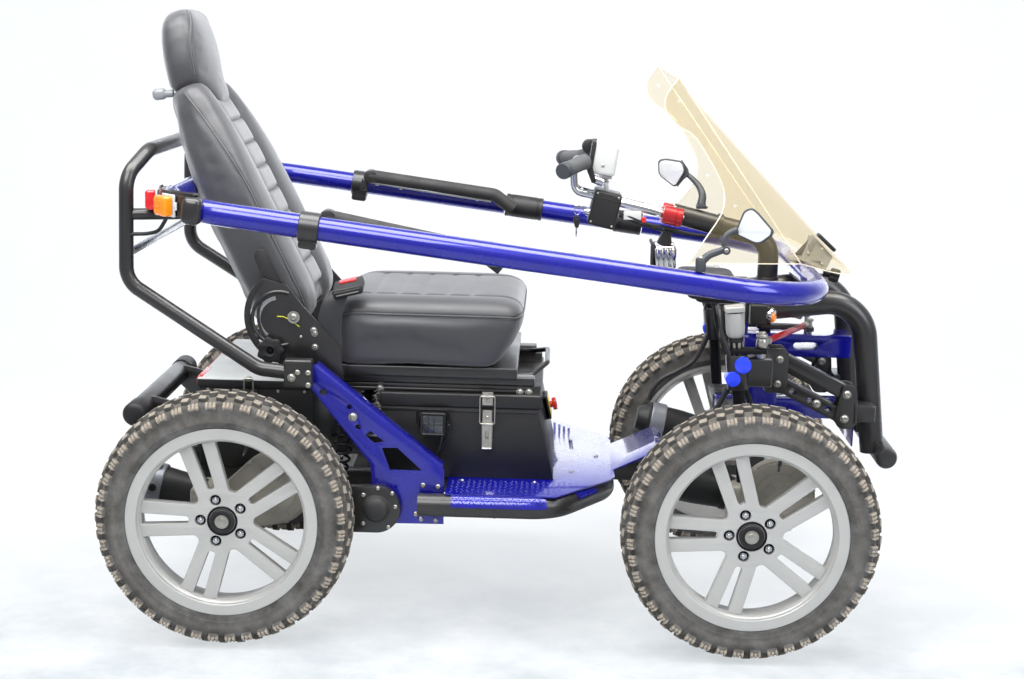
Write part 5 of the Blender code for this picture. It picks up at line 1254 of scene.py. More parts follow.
@dataclass
class Wheel:
    """One wheel: a silver cast rim with five pairs of spokes, and a knobbly tyre."""

    end: End
    side: Side
    track: float = 0.417
    height: float = AXLE_HEIGHT
    rim_half: float = 0.0505
    face_radius: float = 0.180
    face_out: float = 0.034
    face_back: float = 0.012
    spoke_gap: float = 0.012
    spoke_edge: float = 0.038
    pair_headings: tuple[float, ...] = (180.0, 108.0, 36.0, -36.0, -108.0)
    lug_circle: float = 0.048
    knobs: int = 44
    shoulder: tuple[float, float] = (0.0470, 0.2535)

    @property
    def body(self) -> str:
        """Give the wheel's body."""
        return f"wheel_{self.end.tag}_{self.side.tag}"

    @property
    def tag(self) -> str:
        """Give the ending of the wheel's pieces."""
        return f"{self.end.tag}_{self.side.tag}"

    def seat(self, made: Thing) -> Thing:
        """Move a shape, made about the origin with its outer side towards +Y, to the wheel's place.

        Args:
            made: The shape.

        Returns:
            The same shape.
        """
        turn = Matrix.Scale(self.side.value, 4, Vector((0, 1, 0)))
        centre = Matrix.Translation((self.end.value, self.side.value * self.track, self.height))
        return placed(made, centre @ turn)

    def barrel(self) -> Thing:
        """Turn the rim's barrel, with its flat flange and the step inside it.

        Returns:
            The barrel.
        """
        w = self.rim_half
        profile = [(w - 0.0008, 0.2090), (w, 0.2080), (w, 0.1862), (w - 0.0010, 0.1850),
                   (w - 0.0090, 0.1838), (w - 0.0110, 0.1820), (w - 0.0165, 0.1790), (0.010, 0.1775),
                   (-0.030, 0.1850), (-w + 0.002, 0.1990), (-w, 0.2010), (-w, 0.2080),
                   (-w + 0.0015, 0.2093), (-w + 0.0040, 0.2085), (-w + 0.0070, 0.1985),
                   (w - 0.0070, 0.1985), (w - 0.0040, 0.2085), (w - 0.0020, 0.2093)]
        return spun(profile, 128)

    def face(self) -> Thing:
        """Cut the rim's face: five windows between the pairs, a slot in each pair, and the lug holes.

        Returns:
            The face.
        """
        windows = []
        lug_holes = []
        edge = math.degrees(math.asin(self.spoke_edge / self.face_radius))
        gap = math.degrees(math.asin(self.spoke_gap / self.face_radius))
        tip = self.spoke_edge / math.sin(math.radians(36))
        rim = self.face_radius - 0.003
        for heading in self.pair_headings:
            middle = math.radians(heading + 36)
            outer = arc((0, 0), rim, heading + edge + 1.2, heading + 72 - edge - 1.2, 14)
            inner = [(tip * 1.06 * math.cos(middle + a), tip * 1.06 * math.sin(middle + a))
                     for a in (0.10, -0.10)]
            windows.append(eased(outer + inner, 0.010))
            slot = arc((0, 0), rim, heading - gap, heading + gap, 4)
            ray = Vector((math.cos(math.radians(heading)), math.sin(math.radians(heading))))
            across = Vector((-ray.y, ray.x))
            slot += [tuple(ray * 0.074 + across * self.spoke_gap * 0.62),
                     tuple(ray * 0.074 - across * self.spoke_gap * 0.62)]
            windows.append(eased(slot, 0.0068))
            lug_holes.append(circle(tuple(ray * self.lug_circle), 0.0118, 24))
        disc = plate(circle((0, 0), self.face_radius + 0.0005, 96), self.face_out - self.face_back, 0.0,
                     windows + lug_holes, 0.0028)
        return placed(disc, Matrix.Translation((0, (self.face_out + self.face_back) / 2, 0)))

    def rim(self) -> Thing:
        """Model the rim: barrel, face and the hub's boss.

        Returns:
            The rim.
        """
        out = self.face_out
        boss = spun([(0.004, 0.0), (0.004, 0.058), (out - 0.024, 0.060), (out - 0.026, 0.032),
                     (out - 0.004, 0.032), (out - 0.002, 0.030), (out - 0.002, 0.0)], 64)
        made = joined(self.barrel(), self.face(), boss)
        return painted(self.seat(made), WHEEL_SILVER, MACHINED_EDGES)

    def recess(self) -> Thing:
        """Model the dark steel hub that shows in the lug holes and behind the cap.

        Returns:
            The hub.
        """
        out = self.face_out
        hub = spun([(out - 0.020, 0.0), (out - 0.020, 0.061), (out - 0.0185, 0.062), (out - 0.0175, 0.061),
                    (out - 0.0175, 0.0)], 56)
        ring = spun([(out - 0.006, 0.0285), (out - 0.006, 0.0335), (out + 0.0006, 0.0335),
                     (out + 0.0014, 0.0322), (out + 0.0014, 0.0290), (out + 0.0006, 0.0285)], 56)
        return painted(self.seat(joined(hub, ring)), BLACK_STEEL, TURNED_EDGES)

    def hub_cap(self) -> Thing:
        """Model the dark cap on the hub, with its turned ring.

        Returns:
            The cap.
        """
        out = self.face_out
        profile = [(out - 0.0010, 0.0), (out - 0.0010, 0.0275), (out + 0.0050, 0.0272),
                   (out + 0.0072, 0.0250), (out + 0.0076, 0.0205), (out + 0.0060, 0.0185),
                   (out + 0.0058, 0.0)]
        return painted(self.seat(spun(profile, 48)), NYLON_BLACK, TURNED_EDGES)

    def hub_nut(self) -> Thing:
        """Model the bright nut and washer in the middle of the cap.

        Returns:
            The nut with its washer.
        """
        out = self.face_out + 0.0064
        washer = rod((0, out, 0), (0, out + 0.0020, 0), 0.0150, 40, bevel=0.0004)
        nut = rod((0, out + 0.0020, 0), (0, out + 0.0100, 0), 0.0105, 6, bevel=0.0009)
        return painted(self.seat(joined(washer, nut)), ZINC, TURNED_EDGES)

    def lug_nuts(self) -> Thing:
        """Model the five chromed lug nuts.

        Returns:
            The nuts.
        """
        made = []
        for heading in self.pair_headings:
            turn = math.radians(heading)
            x, z = self.lug_circle * math.cos(turn), self.lug_circle * math.sin(turn)
            y = self.face_back + 0.004
            made.append(rod((x, y, z), (x, y + 0.0155, z), 0.0084, 6, 0.0078, 0.0009))
            made.append(rod((x, y + 0.0145, z), (x, y + 0.0188, z), 0.0058, 16, 0.0036, 0.0008))
        return painted(self.seat(joined(*made)), CHROME, TURNED_EDGES)

    def carcass(self) -> Thing:
        """Turn the tyre's carcass, with the ribs on its walls.

        Returns:
            The carcass.
        """
        half = [(0.0400, 0.1990), (0.0455, 0.2010), (0.0490, 0.2095), (0.0512, 0.2108), (0.0523, 0.2122),
                (0.0530, 0.2150), (0.0548, 0.2210), (0.0552, 0.2222), (0.0562, 0.2232), (0.0564, 0.2262),
                (0.0556, 0.2278), (0.0562, 0.2350), (0.0560, 0.2440), (0.0548, 0.2520), (0.0520, 0.2580),
                (0.0460, 0.2625), (0.0360, 0.2670), (0.0240, 0.2705), (0.0120, 0.2722), (0.0, 0.2727)]
        profile = half + [(-y, r) for y, r in reversed(half[:-1])]
        return spun(profile, 120)

    def knob(self, across: float, reach: float, length: float, width: float, height: float, tilt: float,
             heading: float, skew: float = 0.0) -> Thing:
        """Model one tread knob: a block that tapers to its top.

        Args:
            across: Its place across the tread.
            reach: The radius of its foot.
            length: Its length round the tyre.
            width: Its width across the tyre.
            height: Its height.
            tilt: Its lean towards the wall, in degrees.
            heading: Its place round the tyre, in degrees.
            skew: Its turn about its own height, in degrees.

        Returns:
            The knob.
        """
        bpy.ops.mesh.primitive_cube_add(size=1.0, location=(0, 0, height / 2), scale=(length, width, height))
        made = added()
        pick(made, lambda centre, normal: normal.z > 0.9)
        with editing(made):
            bpy.ops.transform.resize(value=(0.84, 0.84, 1.0), center_override=(0, 0, height))
        bevelled(made, 0.0011, 1, 30.0)
        marks = made.data.attributes.new("dust", "FLOAT", "POINT")
        marks.data.foreach_set("value", np.where(points_of(made)[:, 2] > height * 0.93, 1.0, 0.12))
        lean = Matrix.Rotation(math.radians(-tilt), 4, "X") @ Matrix.Rotation(math.radians(skew), 4, "Z")
        turn = Matrix.Rotation(math.radians(heading), 4, "Y")
        return placed(made, turn @ Matrix.Translation((0, across, reach)) @ lean)

    def shoulder_knob(self, s: int, heading: float) -> list[Thing]:
        """Model a shoulder knob: a foot with three lamellae, split by two sipes.

        Args:
            s: The side that it is on, -1 or 1.
            heading: Its place round the tyre, in degrees.

        Returns:
            The knob's pieces.
        """
        across, reach = self.shoulder
        made = [self.knob(s * across, reach, 0.0240, 0.0175, 0.0120, s * 44, heading)]
        for k in (-1, 0, 1):
            made.append(self.knob(s * across, reach, 0.0068, 0.0168, 0.0160, s * 44, heading + k * 1.78))
        return made

    def tread(self) -> Thing:
        """Model the tread: staggered rows of knobs, repeated round the tyre.

        Returns:
            The knobs.
        """
        pitch = 360.0 / self.knobs
        group = []
        for s in BOTH:
            group += self.shoulder_knob(s, 0.0 if s < 0 else pitch / 2)
            offset = pitch / 2 if s < 0 else 0.0
            group.append(self.knob(s * 0.0285, 0.2650, 0.0205, 0.0150, 0.0140, s * 22, offset, s * 14))
            group.append(self.knob(s * 0.0098, 0.2690, 0.0210, 0.0130, 0.0130, s * 4, pitch / 2 - offset,
                                   s * -10))
        made = joined(*group)
        painted(made, TYRE_RUBBER, TURNED_EDGES)
        return turned_copies(made, self.knobs, (0, 0, 0))

    def dusted(self, made: Thing) -> Thing:
        """Store how dusty each point of the carcass is: most in a band half way up the wall.

        Args:
            made: The carcass.

        Returns:
            The carcass.
        """
        marks = made.data.attributes.new("dust", "FLOAT", "POINT")
        points = points_of(made)
        radius = np.hypot(points[:, 0], points[:, 2])
        band = 0.15 * np.exp(-((radius - 0.2330) / 0.0095) ** 2)
        marks.data.foreach_set("value", np.maximum(band, 0.30 * np.clip((radius - 0.262) / 0.006, 0.0, 1.0)))
        return made

    def tyre(self) -> Thing:
        """Model the tyre: carcass and tread.

        Returns:
            The tyre.
        """
        made = joined(self.dusted(self.carcass()), self.tread())
        return painted(self.seat(made), TYRE_RUBBER, MACHINED_EDGES)

    def valve(self) -> Thing:
        """Model the tyre's valve, through the rim's face.

        Returns:
            The valve.
        """
        turn = Matrix.Rotation(math.radians(-72), 4, "Y")
        foot = turn @ Vector((0.176, 0.026, 0))
        tip = turn @ Vector((0.158, 0.046, 0))
        middle = foot.lerp(tip, 0.45)
        made = joined(rod(foot, middle, 0.0042, 16), rod(middle, tip, 0.0030, 16))
        return painted(self.seat(made), NYLON_BLACK)

    def build(self) -> None:
        """Model the wheel and ride it on its body."""
        fitted(self.rim(), f"cast_rim_{self.tag}", self.body, [f"rim_{self.tag}"])
        fitted(self.recess(), f"hub_recess_{self.tag}", self.body)
        fitted(self.hub_cap(), f"hub_cap_{self.tag}", self.body)
        fitted(self.hub_nut(), f"hub_nut_{self.tag}", self.body)
        fitted(self.lug_nuts(), f"lug_nuts_{self.tag}", self.body)
        fitted(self.tyre(), f"knobbly_tyre_{self.tag}", self.body, [f"tyre_{self.tag}"])
        fitted(self.valve(), f"tyre_valve_{self.tag}", self.body)


# Rails and bumpers

@dataclass
class LoopRail:
    """The blue rail that runs round the rider, open on the left where the gate closes it."""

    radius: float = 0.0255
    half: float = 0.4705
    nose: float = 0.678
    tail: float = -0.735
    nose_bend: float = 0.230
    tail_bend: float = 0.160
    open_front: float = 0.325
    open_back: float = -0.035
    clamp_x: float = -0.414

    def height(self, x: float) -> float:
        """Give the height of the rail's middle at a place along the machine."""
        return RAIL_HEIGHT - RAIL_SLOPE * x

    def spot(self, x: float, y: float) -> Vector:
        """Give a point of the rail's sloping plane."""
        return Vector((x, y, self.height(x)))

    def build(self) -> None:
        """Model the rail and the clamps that hold it to the side plates."""
        h = self.half
        ahead = bent([self.spot(self.open_front, h), self.spot(self.nose, h), self.spot(self.nose, -h),
                      self.spot(0, -h)], self.nose_bend, 24)
        behind = bent([self.spot(0, -h), self.spot(self.tail, -h), self.spot(self.tail, h),
                       self.spot(self.open_back, h)], self.tail_bend, 20)
        rail = painted(tube(ahead + behind[1:], self.radius, 7), CANDY_BLUE)
        fitted(rail, "loop_rail_tube", "chassis", ["loop_rail"])
        turn = math.degrees(math.atan(RAIL_SLOPE))
        for side in Side:
            middle = self.spot(self.clamp_x, side.value * h)
            ring = spun([(-0.021, self.radius - 0.001), (-0.021, 0.0310), (-0.0195, 0.0325),
                         (0.0195, 0.0325), (0.021, 0.0310), (0.021, self.radius - 0.001)], 48, axis="X")
            tongue = block((-0.019, -0.017, -0.045), (0.019, 0.017, -0.020), 0.006, 4)
            lug = block((0.006, -side.value * 0.056, -0.012), (0.019, -side.value * 0.024, 0.020), 0.004, 3)
            made = placed(joined(ring, tongue, lug),
                          Matrix.Translation(middle) @ Matrix.Rotation(math.radians(turn), 4, "Y"))
            fitted(painted(made, POWDER_BLACK), f"rail_clamp_{side.tag}", "chassis")


@dataclass
class GateRail:
    """The piece of the rail that swings aside to let the rider in."""

    rail: LoopRail = field(default_factory=LoopRail)
    sleeve: float = 0.0292

    def at(self, x: float) -> Vector:
        """Give the gate's middle at a place along the machine."""
        return self.rail.spot(x, self.rail.half)

    def sleeved(self, back: float, front: float) -> Thing:
        """Model a turned sleeve on the tube, with grooves near its ends.

        Args:
            back: The X of its rear end.
            front: The X of its front end.

        Returns:
            The sleeve.
        """
        length = (self.at(front) - self.at(back)).length
        r = self.sleeve
        profile = [(0.0, self.rail.radius - 0.001), (0.0, r - 0.0014), (0.0014, r)]
        for along in (0.010, 0.015, length - 0.017, length - 0.012):
            profile += [(along, r), (along + 0.0007, r - 0.0010), (along + 0.0018, r - 0.0010),
                        (along + 0.0025, r)]
        profile += [(length - 0.0014, r), (length, r - 0.0014), (length, self.rail.radius - 0.001)]
        turn = Vector((1, 0, 0)).rotation_difference(self.at(front) - self.at(back)).to_matrix().to_4x4()
        made = spun(profile, 48, axis="X")
        return placed(made, Matrix.Translation(self.at(back)) @ turn)

    def build(self) -> None:
        """Model the gate's tube and its two black sleeves."""
        back, front = self.rail.open_back, self.rail.open_front
        bar_tube = painted(tube([self.at(back + 0.002), self.at(front - 0.002)], self.rail.radius, 7),
                           CANDY_BLUE)
        fitted(bar_tube, "gate_tube", "gate", ["gate_rail"])
        made = joined(self.sleeved(back + 0.002, back + 0.098), self.sleeved(front - 0.073, front - 0.002))
        hinge = block((0.322, 0.486, 0.8290), (0.3510, 0.5150, 0.8540), 0.0040, 3)
        hook = block((back + 0.010, 0.492, 0.868), (back + 0.040, 0.510, 0.886), 0.0030)
        fitted(painted(joined(made, hinge, hook), NYLON_BLACK, 25.0), "gate_sleeves", "gate")
        pin = rod((0.337, 0.5025, 0.8190), (0.337, 0.5025, 0.8620), 0.0042, 20)
        fitted(painted(pin, ZINC), "gate_pin", "gate")


# Seat

def held_along(lines: Sequence[Sequence[Vector]], reach: float) -> Callable[[np.ndarray], np.ndarray]:
    """Give a function that tells how near points lie to sewn lines, from 0 to 1.

    Args:
        lines: The lines, as close points.
        reach: The distance at which the value has fallen to about a third.

    Returns:
        The function.
    """
    marks = np.array([tuple(p) for line in lines for p, _ in stepped(line, 0.003)])

    def near(points: np.ndarray) -> np.ndarray:
        """Give each point's nearness to the lines.

        Args:
            points: The points, as rows.

        Returns:
            One value from 0 to 1 for each point.
        """
        least = np.full(len(points), 1.0)
        for start in range(0, len(marks), 64):
            gaps = points[:, None, :] - marks[None, start:start + 64, :]
            least = np.minimum(least, np.sqrt((gaps ** 2).sum(axis=2)).min(axis=1))
        return np.exp(-(least / reach) ** 2)

    return near


def points_of(made: Thing, kind: str = "co") -> np.ndarray:
    """Give a mesh's points, or its point normals, as rows.

    Args:
        made: The mesh's object.
        kind: What is read: co for places, normal for normals.

    Returns:
        One row of three for each point.
    """
    source = made.data.vertices if kind == "co" else made.data.vertex_normals
    flat = np.empty(len(made.data.vertices) * 3)
    source.foreach_get("co" if kind == "co" else "vector", flat)
    return flat.reshape(-1, 3)


def puffed(made: Thing, near: Callable[[np.ndarray], np.ndarray], cap: float, pressure: float = 4.0) -> Thing:
    """Blow a pad's cover up by cloth simulation, held along its sewn lines.

    Args:
        made: The remeshed pad.
        near: How near points lie to the sewn lines.
        cap: The most that a point may move.
        pressure: The pressure inside.

    Returns:
        The same pad.
    """
    rest = points_of(made)
    group = made.vertex_groups.new(name="sewn")
    for index, share in enumerate(near(rest)):
        if share > 0.05:
            group.add([index], float(min(1.0, share * 1.3)), "REPLACE")
    cloth = made.modifiers.new("cloth", "CLOTH")
    cloth.settings.quality = 4
    cloth.settings.mass = 0.3
    cloth.settings.tension_stiffness = 18.0
    cloth.settings.compression_stiffness = 18.0
    cloth.settings.bending_stiffness = 3.0
    cloth.settings.use_pressure = True
    cloth.settings.uniform_pressure_force = pressure
    cloth.settings.vertex_group_mass = "sewn"
    cloth.settings.effector_weights.gravity = 0.0
    cloth.collision_settings.use_collision = False
    cloth.point_cache.frame_start = 1
    cloth.point_cache.frame_end = PUFF_FRAMES
    for step in range(1, PUFF_FRAMES + 1):
        bpy.context.scene.frame_set(step)
    graph = bpy.context.evaluated_depsgraph_get()
    blown = points_of(made.evaluated_get(graph))
    move = blown - rest
    size = np.linalg.norm(move, axis=1, keepdims=True)
    move *= np.minimum(1.0, cap / np.maximum(size, 1e-9))
    made.modifiers.remove(cloth)
    made.vertex_groups.clear()
    bpy.context.scene.frame_set(1)
    made.data.vertices.foreach_set("co", (rest + move).ravel())
    made.data.update()
    return made


def remeshed(made: Thing, voxel: float, smooth: int = 4) -> Thing:
    """Give a form one even skin, and take the steps out of it.

    Args:
        made: The form.
        voxel: The size of the skin's cells.
        smooth: How many rounds of smoothing.

    Returns:
        The same form.
    """
    modified(made, "REMESH", mode="VOXEL", voxel_size=voxel, adaptivity=0.0)
    return modified(made, "SMOOTH", factor=0.5, iterations=smooth)


def sunk(made: Thing, near: Callable[[np.ndarray], np.ndarray], depth: float) -> Thing:
    """Sink a pad's surface along its sewn lines.

    Args:
        made: The pad.
        near: Gives each point's share of the depth.
        depth: The depth of the seams.

    Returns:
        The pad.
    """
    points, normals = points_of(made), points_of(made, "normal")
    points = points - normals * (near(points) * depth)[:, None]
    made.data.vertices.foreach_set("co", points.ravel())
    made.data.update()
    return made


def laid_on(made: Thing, line: Sequence[Vector], lift: float) -> list[tuple[Vector, Vector]]:
    """Lay a line on a mesh, and give each point with the surface's normal.

    Args:
        made: The mesh's object.
        line: The line.
        lift: How far the line floats over the surface.

    Returns:
        Each point with the surface's normal there.
    """
    bpy.context.view_layer.update()
    laid = []
    for spot in line:
        found, place, normal, _ = made.closest_point_on_mesh(spot)
        if found:
            laid.append((place + normal * lift, normal))
    return laid


def eased_line(line: Sequence[Vector], rounds: int = 3) -> list[Vector]:
    """Take the kinks out of a line.

    Args:
        line: The line.
        rounds: How often each point is drawn to its neighbours.

    Returns:
        The smoother line.
    """
    made = [Vector(p) for p in line]
    for _ in range(rounds):
        made = [made[0], *[(a + b * 2 + c) / 4 for a, b, c in zip(made, made[1:], made[2:])], made[-1]]
    return made


def piping(made: Thing, line: Sequence[Vector], radius: float = 0.0021) -> Thing:
    """Sew a round piping along a line on a pad.

    Args:
        made: The pad.
        line: Where the piping runs.
        radius: The piping's radius.

    Returns:
        The piping.
    """
    route = [p for p, _ in laid_on(made, [p for p, _ in stepped(line, 0.008)], radius * 0.25)]
    return tube(eased_line(route), radius, 2)


def stitches(made: Thing, line: Sequence[Vector], offsets: Sequence[float], pitch: float = 0.0078) -> Thing:
    """Sew rows of thread along a line on a pad.

    Args:
        made: The pad.
        line: The line.
        offsets: How far to its side each row runs.
        pitch: The length of a stitch with its gap.

    Returns:
        The stitches.
    """
    places = []
    for offset in offsets:
        for spot, run in stepped(line, pitch):
            (place, normal), = laid_on(made, [spot], 0.0)
            across = normal.cross(run).normalized()
            (place, normal), = laid_on(made, [place + across * offset], 0.0004)
            side = normal.cross(run).normalized()
            ahead = side.cross(normal).normalized()
            turn = Matrix((ahead, side, normal)).transposed().to_4x4()
            places.append(Matrix.Translation(place) @ turn)
    seed = rod((-0.0023, 0, 0), (0.0023, 0, 0), 0.0006, 5, bevel=0.0003)
    return painted(strung(seed, places), THREAD)


@dataclass
class SeatBack:
    """The reclining back: foam body with bolsters, sewn insert, and a headrest that laps over it."""

    pivot: tuple[float, float, float] = (-0.478, 0.0, 0.704)
    lean: float = 22.0
    insert_half: float = 0.086
    insert_foot: float = 0.030
    insert_head: float = 0.512
    blocks: int = 8
    voxel: float = 0.0075
    arm_y: float = 0.2575

    def spot(self, height: float, across: float, ahead: float) -> Vector:
        """Give a point from its height up the back, its place across and its place ahead of the pivot.

        Args:
            height: The height up the back.
            across: The place across.
            ahead: The place ahead of the pivot.

        Returns:
            The point.
        """
        turn = math.radians(self.lean)
        up = Vector((-math.sin(turn), 0, math.cos(turn)))
        front = Vector((math.cos(turn), 0, math.sin(turn)))
        return Vector(self.pivot) + up * height + front * ahead + Vector((0, across, 0))

    def half(self, height: float) -> float:
        """Give the body's half width at a height.

        Args:
            height: The height up the back.

        Returns:
            Half the width there.
        """
        share = max(0.0, (height - 0.24) / 0.22)
        return 0.236 - 0.046 * share ** 2

    def front(self, height: float) -> float:
        """Give how far ahead the bolsters reach at a height."""
        return 0.0445 - 0.075 * height - 0.42 * max(0.0, height - 0.33) ** 2

    def rear(self, height: float) -> float:
        """Give how far behind the pivot the body's back lies at a height."""
        return -0.100 - 0.014 * min(1.0, max(0.0, (height - 0.05) / 0.20))

    def ring(self, height: float, half: float, rear: float, front: float) -> list[Vector]:
        """Give one section of the body, with its bolsters and the channel that the insert lies in.

        Args:
            height: The height up the back.
            half: Half the width there.
            rear: The rear face's place.
            front: The front face's place.

        Returns:
            The section's points.
        """
        deep = min(1.0, (front - rear) / 0.14)
        seam = self.insert_half
        right = [(0.0, front - 0.024), (seam * 0.6, front - 0.024), (seam, front - 0.022),
                 (seam + 0.008, front - 0.010), (seam + 0.028, front), (half * 0.72, front + 0.002),
                 (half * 0.90, front - 0.004), (half - 0.004, front - 0.018 * deep),
                 (half, front - 0.042 * deep), (half, rear + 0.046 * deep), (half * 0.94, rear + 0.014),
                 (half * 0.78, rear), (half * 0.35, rear)]
        right = [(min(v, half), n) for v, n in right]
        flat = right + [(-v, n) for v, n in reversed(right[1:])]
        return [self.spot(height, v, n) for v, n in flat]

    def body_form(self) -> Thing:
        """Loft the body from its foot to its shoulders.

        Returns:
            The body's form.
        """
        rows = [(-0.034, 0.185, -0.050, -0.004), (-0.028, 0.205, -0.066, 0.008),
                (-0.010, 0.226, -0.090, 0.030), (0.015, 0.234, -0.100, 0.037)]
        for i in range(16):
            height = 0.040 + 0.028 * i
            rows.append((height, self.half(height), self.rear(height), self.front(height)))
        rows += [(0.482, 0.180, -0.113, -0.003), (0.505, 0.174, -0.111, -0.007),
                 (0.528, 0.165, -0.108, -0.013), (0.548, 0.152, -0.105, -0.021),
                 (0.560, 0.139, -0.101, -0.031), (0.566, 0.122, -0.094, -0.045)]
        return lofted([self.ring(*row) for row in rows])

    def head_form(self) -> Thing:
        """Loft the headrest, with the rounded tongue that laps over the insert.

        Returns:
            The headrest's form.
        """
        rows = [(0.492, 0.030, -0.050, -0.028), (0.495, 0.046, -0.056, -0.017),
                (0.502, 0.062, -0.062, -0.010), (0.514, 0.077, -0.070, -0.006),
                (0.529, 0.090, -0.080, -0.006), (0.543, 0.102, -0.088, -0.008),
                (0.555, 0.117, -0.098, -0.008), (0.562, 0.129, -0.103, -0.008),
                (0.572, 0.135, -0.106, -0.007), (0.590, 0.136, -0.104, -0.003),
                (0.612, 0.136, -0.100, 0.001), (0.635, 0.133, -0.096, 0.005), (0.668, 0.126, -0.088, 0.008),
                (0.694, 0.115, -0.079, 0.007), (0.711, 0.099, -0.071, 0.002),
                (0.722, 0.078, -0.062, -0.008), (0.728, 0.052, -0.055, -0.020)]
        rings = []
        for height, half, rear, front in rows:
            middle, deep = (rear + front) / 2, (front - rear) / 2
            ring = []
            for i in range(32):
                turn = math.tau * i / 32
                c, s = math.cos(turn), math.sin(turn)
                ring.append(self.spot(height, half * math.copysign(abs(c) ** 0.55, c),
                                      middle + deep * math.copysign(abs(s) ** 0.62, s)))
            rings.append(ring)
        return lofted(rings)

    def edge_line(self, side: int, low: float, high: float, head: bool) -> list[Vector]:
        """Give the corner between the side panel and the front, where the piping runs.

        Args:
            side: The side, -1 or 1.
            low: The height where it starts.
            high: The height where it ends.
            head: Whether it runs on the headrest.

        Returns:
            The corner's points.
        """
        line = []
        for i in range(41):
            height = low + (high - low) * i / 40
            if head:
                share = max(0.0, (height - 0.60) / 0.122)
                half = 0.137 - 0.085 * share ** 2.2
                line.append(self.spot(height, side * half * 0.93, -0.034 + 0.20 * (height - 0.572)))
            else:
                ahead = self.front(height) - 0.016 - 0.13 * max(0.0, height - 0.30)
                line.append(self.spot(height, side * self.half(height) * 0.965, ahead))
        return line

    def inner_line(self, side: int) -> list[Vector]:
        """Give the seam between a bolster and the insert."""
        return [self.spot(h, side * (self.insert_half + 0.004), self.front(h) - 0.022)
                for h in np.linspace(0.0, 0.47, 30)]

    def body(self) -> list[Thing]:
        """Make the body: remeshed, puffed between its seams, and sunk along them.

        Returns:
            The body and its piping.
        """
        made = remeshed(self.body_form(), self.voxel)
        edges = [self.edge_line(s, 0.0, 0.545, False) for s in BOTH]
        inner = [self.inner_line(s) for s in BOTH]
        puffed(made, held_along([*edges, *inner], 0.012), 0.007)
        modified(made, "SMOOTH", factor=0.5, iterations=4)
        modified(made, "SUBSURF", levels=1, render_levels=1)
        sunk(made, held_along(edges, 0.0050), 0.0022)
        painted(made, LEATHERETTE, PAD_EDGES)
        trims = [piping(made, line) for line in edges]
        trim = painted(joined(*trims), LEATHERETTE, PAD_EDGES)
        thread = joined(*[stitches(made, line, (-0.0052, 0.0052)) for line in edges])
        return [made, trim, thread]

    def head(self) -> list[Thing]:
        """Make the headrest cover with its piping that runs over the top.

        Returns:
            The headrest and its piping.
        """
        made = remeshed(self.head_form(), self.voxel * 0.8)
        edges = [self.edge_line(s, 0.572, 0.720, True) for s in BOTH]
        puffed(made, held_along(edges, 0.010), 0.006)
        modified(made, "SUBSURF", levels=1, render_levels=1)
        sunk(made, held_along(edges, 0.0050), 0.0022)
        painted(made, LEATHERETTE, PAD_EDGES)
        trim = painted(joined(*[piping(made, line) for line in edges]), LEATHERETTE, PAD_EDGES)
        thread = joined(*[stitches(made, line, (-0.0052, 0.0052)) for line in edges])
        return [made, trim, thread]

    def insert(self) -> Thing:
        """Make the sewn blocks of the insert, each a small pillow.

        Returns:
            The blocks as one object.
        """
        pitch = (self.insert_head - self.insert_foot) / self.blocks
        made = []
        for i in range(self.blocks):
            middle = self.insert_foot + pitch * (i + 0.5)
            bpy.ops.mesh.primitive_cube_add(size=2.0, location=(0, 0, 0))
            pillow = added()
            with editing(pillow):
                bpy.ops.mesh.select_all(action="SELECT")
                bpy.ops.mesh.subdivide(number_cuts=7)
            rows = []
            for x, y, z in points_of(pillow):
                fade = (1 - abs(x) ** 5) * (1 - abs(y) ** 7)
                across = x * (self.insert_half + 0.0035) * (1 - 0.012 * abs(y) ** 4)
                along = y * (pitch / 2 + 0.0010)
                out = z * (0.0045 + 0.0095 * max(0.0, fade) ** 0.55)
                rows.append(self.spot(middle + along, across, self.front(middle + along) - 0.022 + out))
            pillow.data.vertices.foreach_set("co", np.array([tuple(r) for r in rows]).ravel())
            made.append(cleaned(pillow))
        return painted(joined(*made), LEATHER_INSERT, PAD_EDGES)

    def arms(self) -> Thing:
        """Make the steel straps at the back's sides, with the tail that carries the knob's stud.

        Returns:
            The straps.
        """
        made = []
        frame_turn = Matrix((self.spot(1, 0, 0) - self.spot(0, 0, 0), Vector((0, 1, 0)),
                             self.spot(0, 0, 1) - self.spot(0, 0, 0)))
        frame_turn = Matrix.Translation(self.pivot) @ frame_turn.transposed().to_4x4()
        for side in Side:
            band = plate(hull_of_circles((0.0, -0.010), 0.022, (0.150, -0.020), 0.016), 0.005,
                         side.value * self.arm_y - side.value * 0.0025, [circle((0.0, 0.0), 0.0104)])
            tie = rod((0.130, side.value * 0.190, -0.018), (0.130, side.value * 0.255, -0.018), 0.008, 20)
            made += [placed(band, frame_turn), placed(tie, frame_turn)]
        stud = (-0.0508, -0.0754)
        tail = plate(hull_of_circles((0.0, 0.0), 0.018, stud, 0.011), 0.0046, -0.2552,
                     [circle((0.0, 0.0), 0.0106), circle(stud, 0.0057)])
        made.append(placed(tail, frame_turn))
        return painted(joined(*made), POWDER_BLACK)

    def back_knob(self) -> Thing:
        """Make the small oval knob on its stub behind the shoulder.

        Returns:
            The knob.
        """
        stub = rod((-0.775, -0.110, 1.183), (-0.800, -0.110, 1.180), 0.0085, 24)
        grip = block((-0.823, -0.121, 1.167), (-0.791, -0.099, 1.193), 0.0100, 5, -8.0)
        return painted(joined(stub, grip), ABS_GREY)

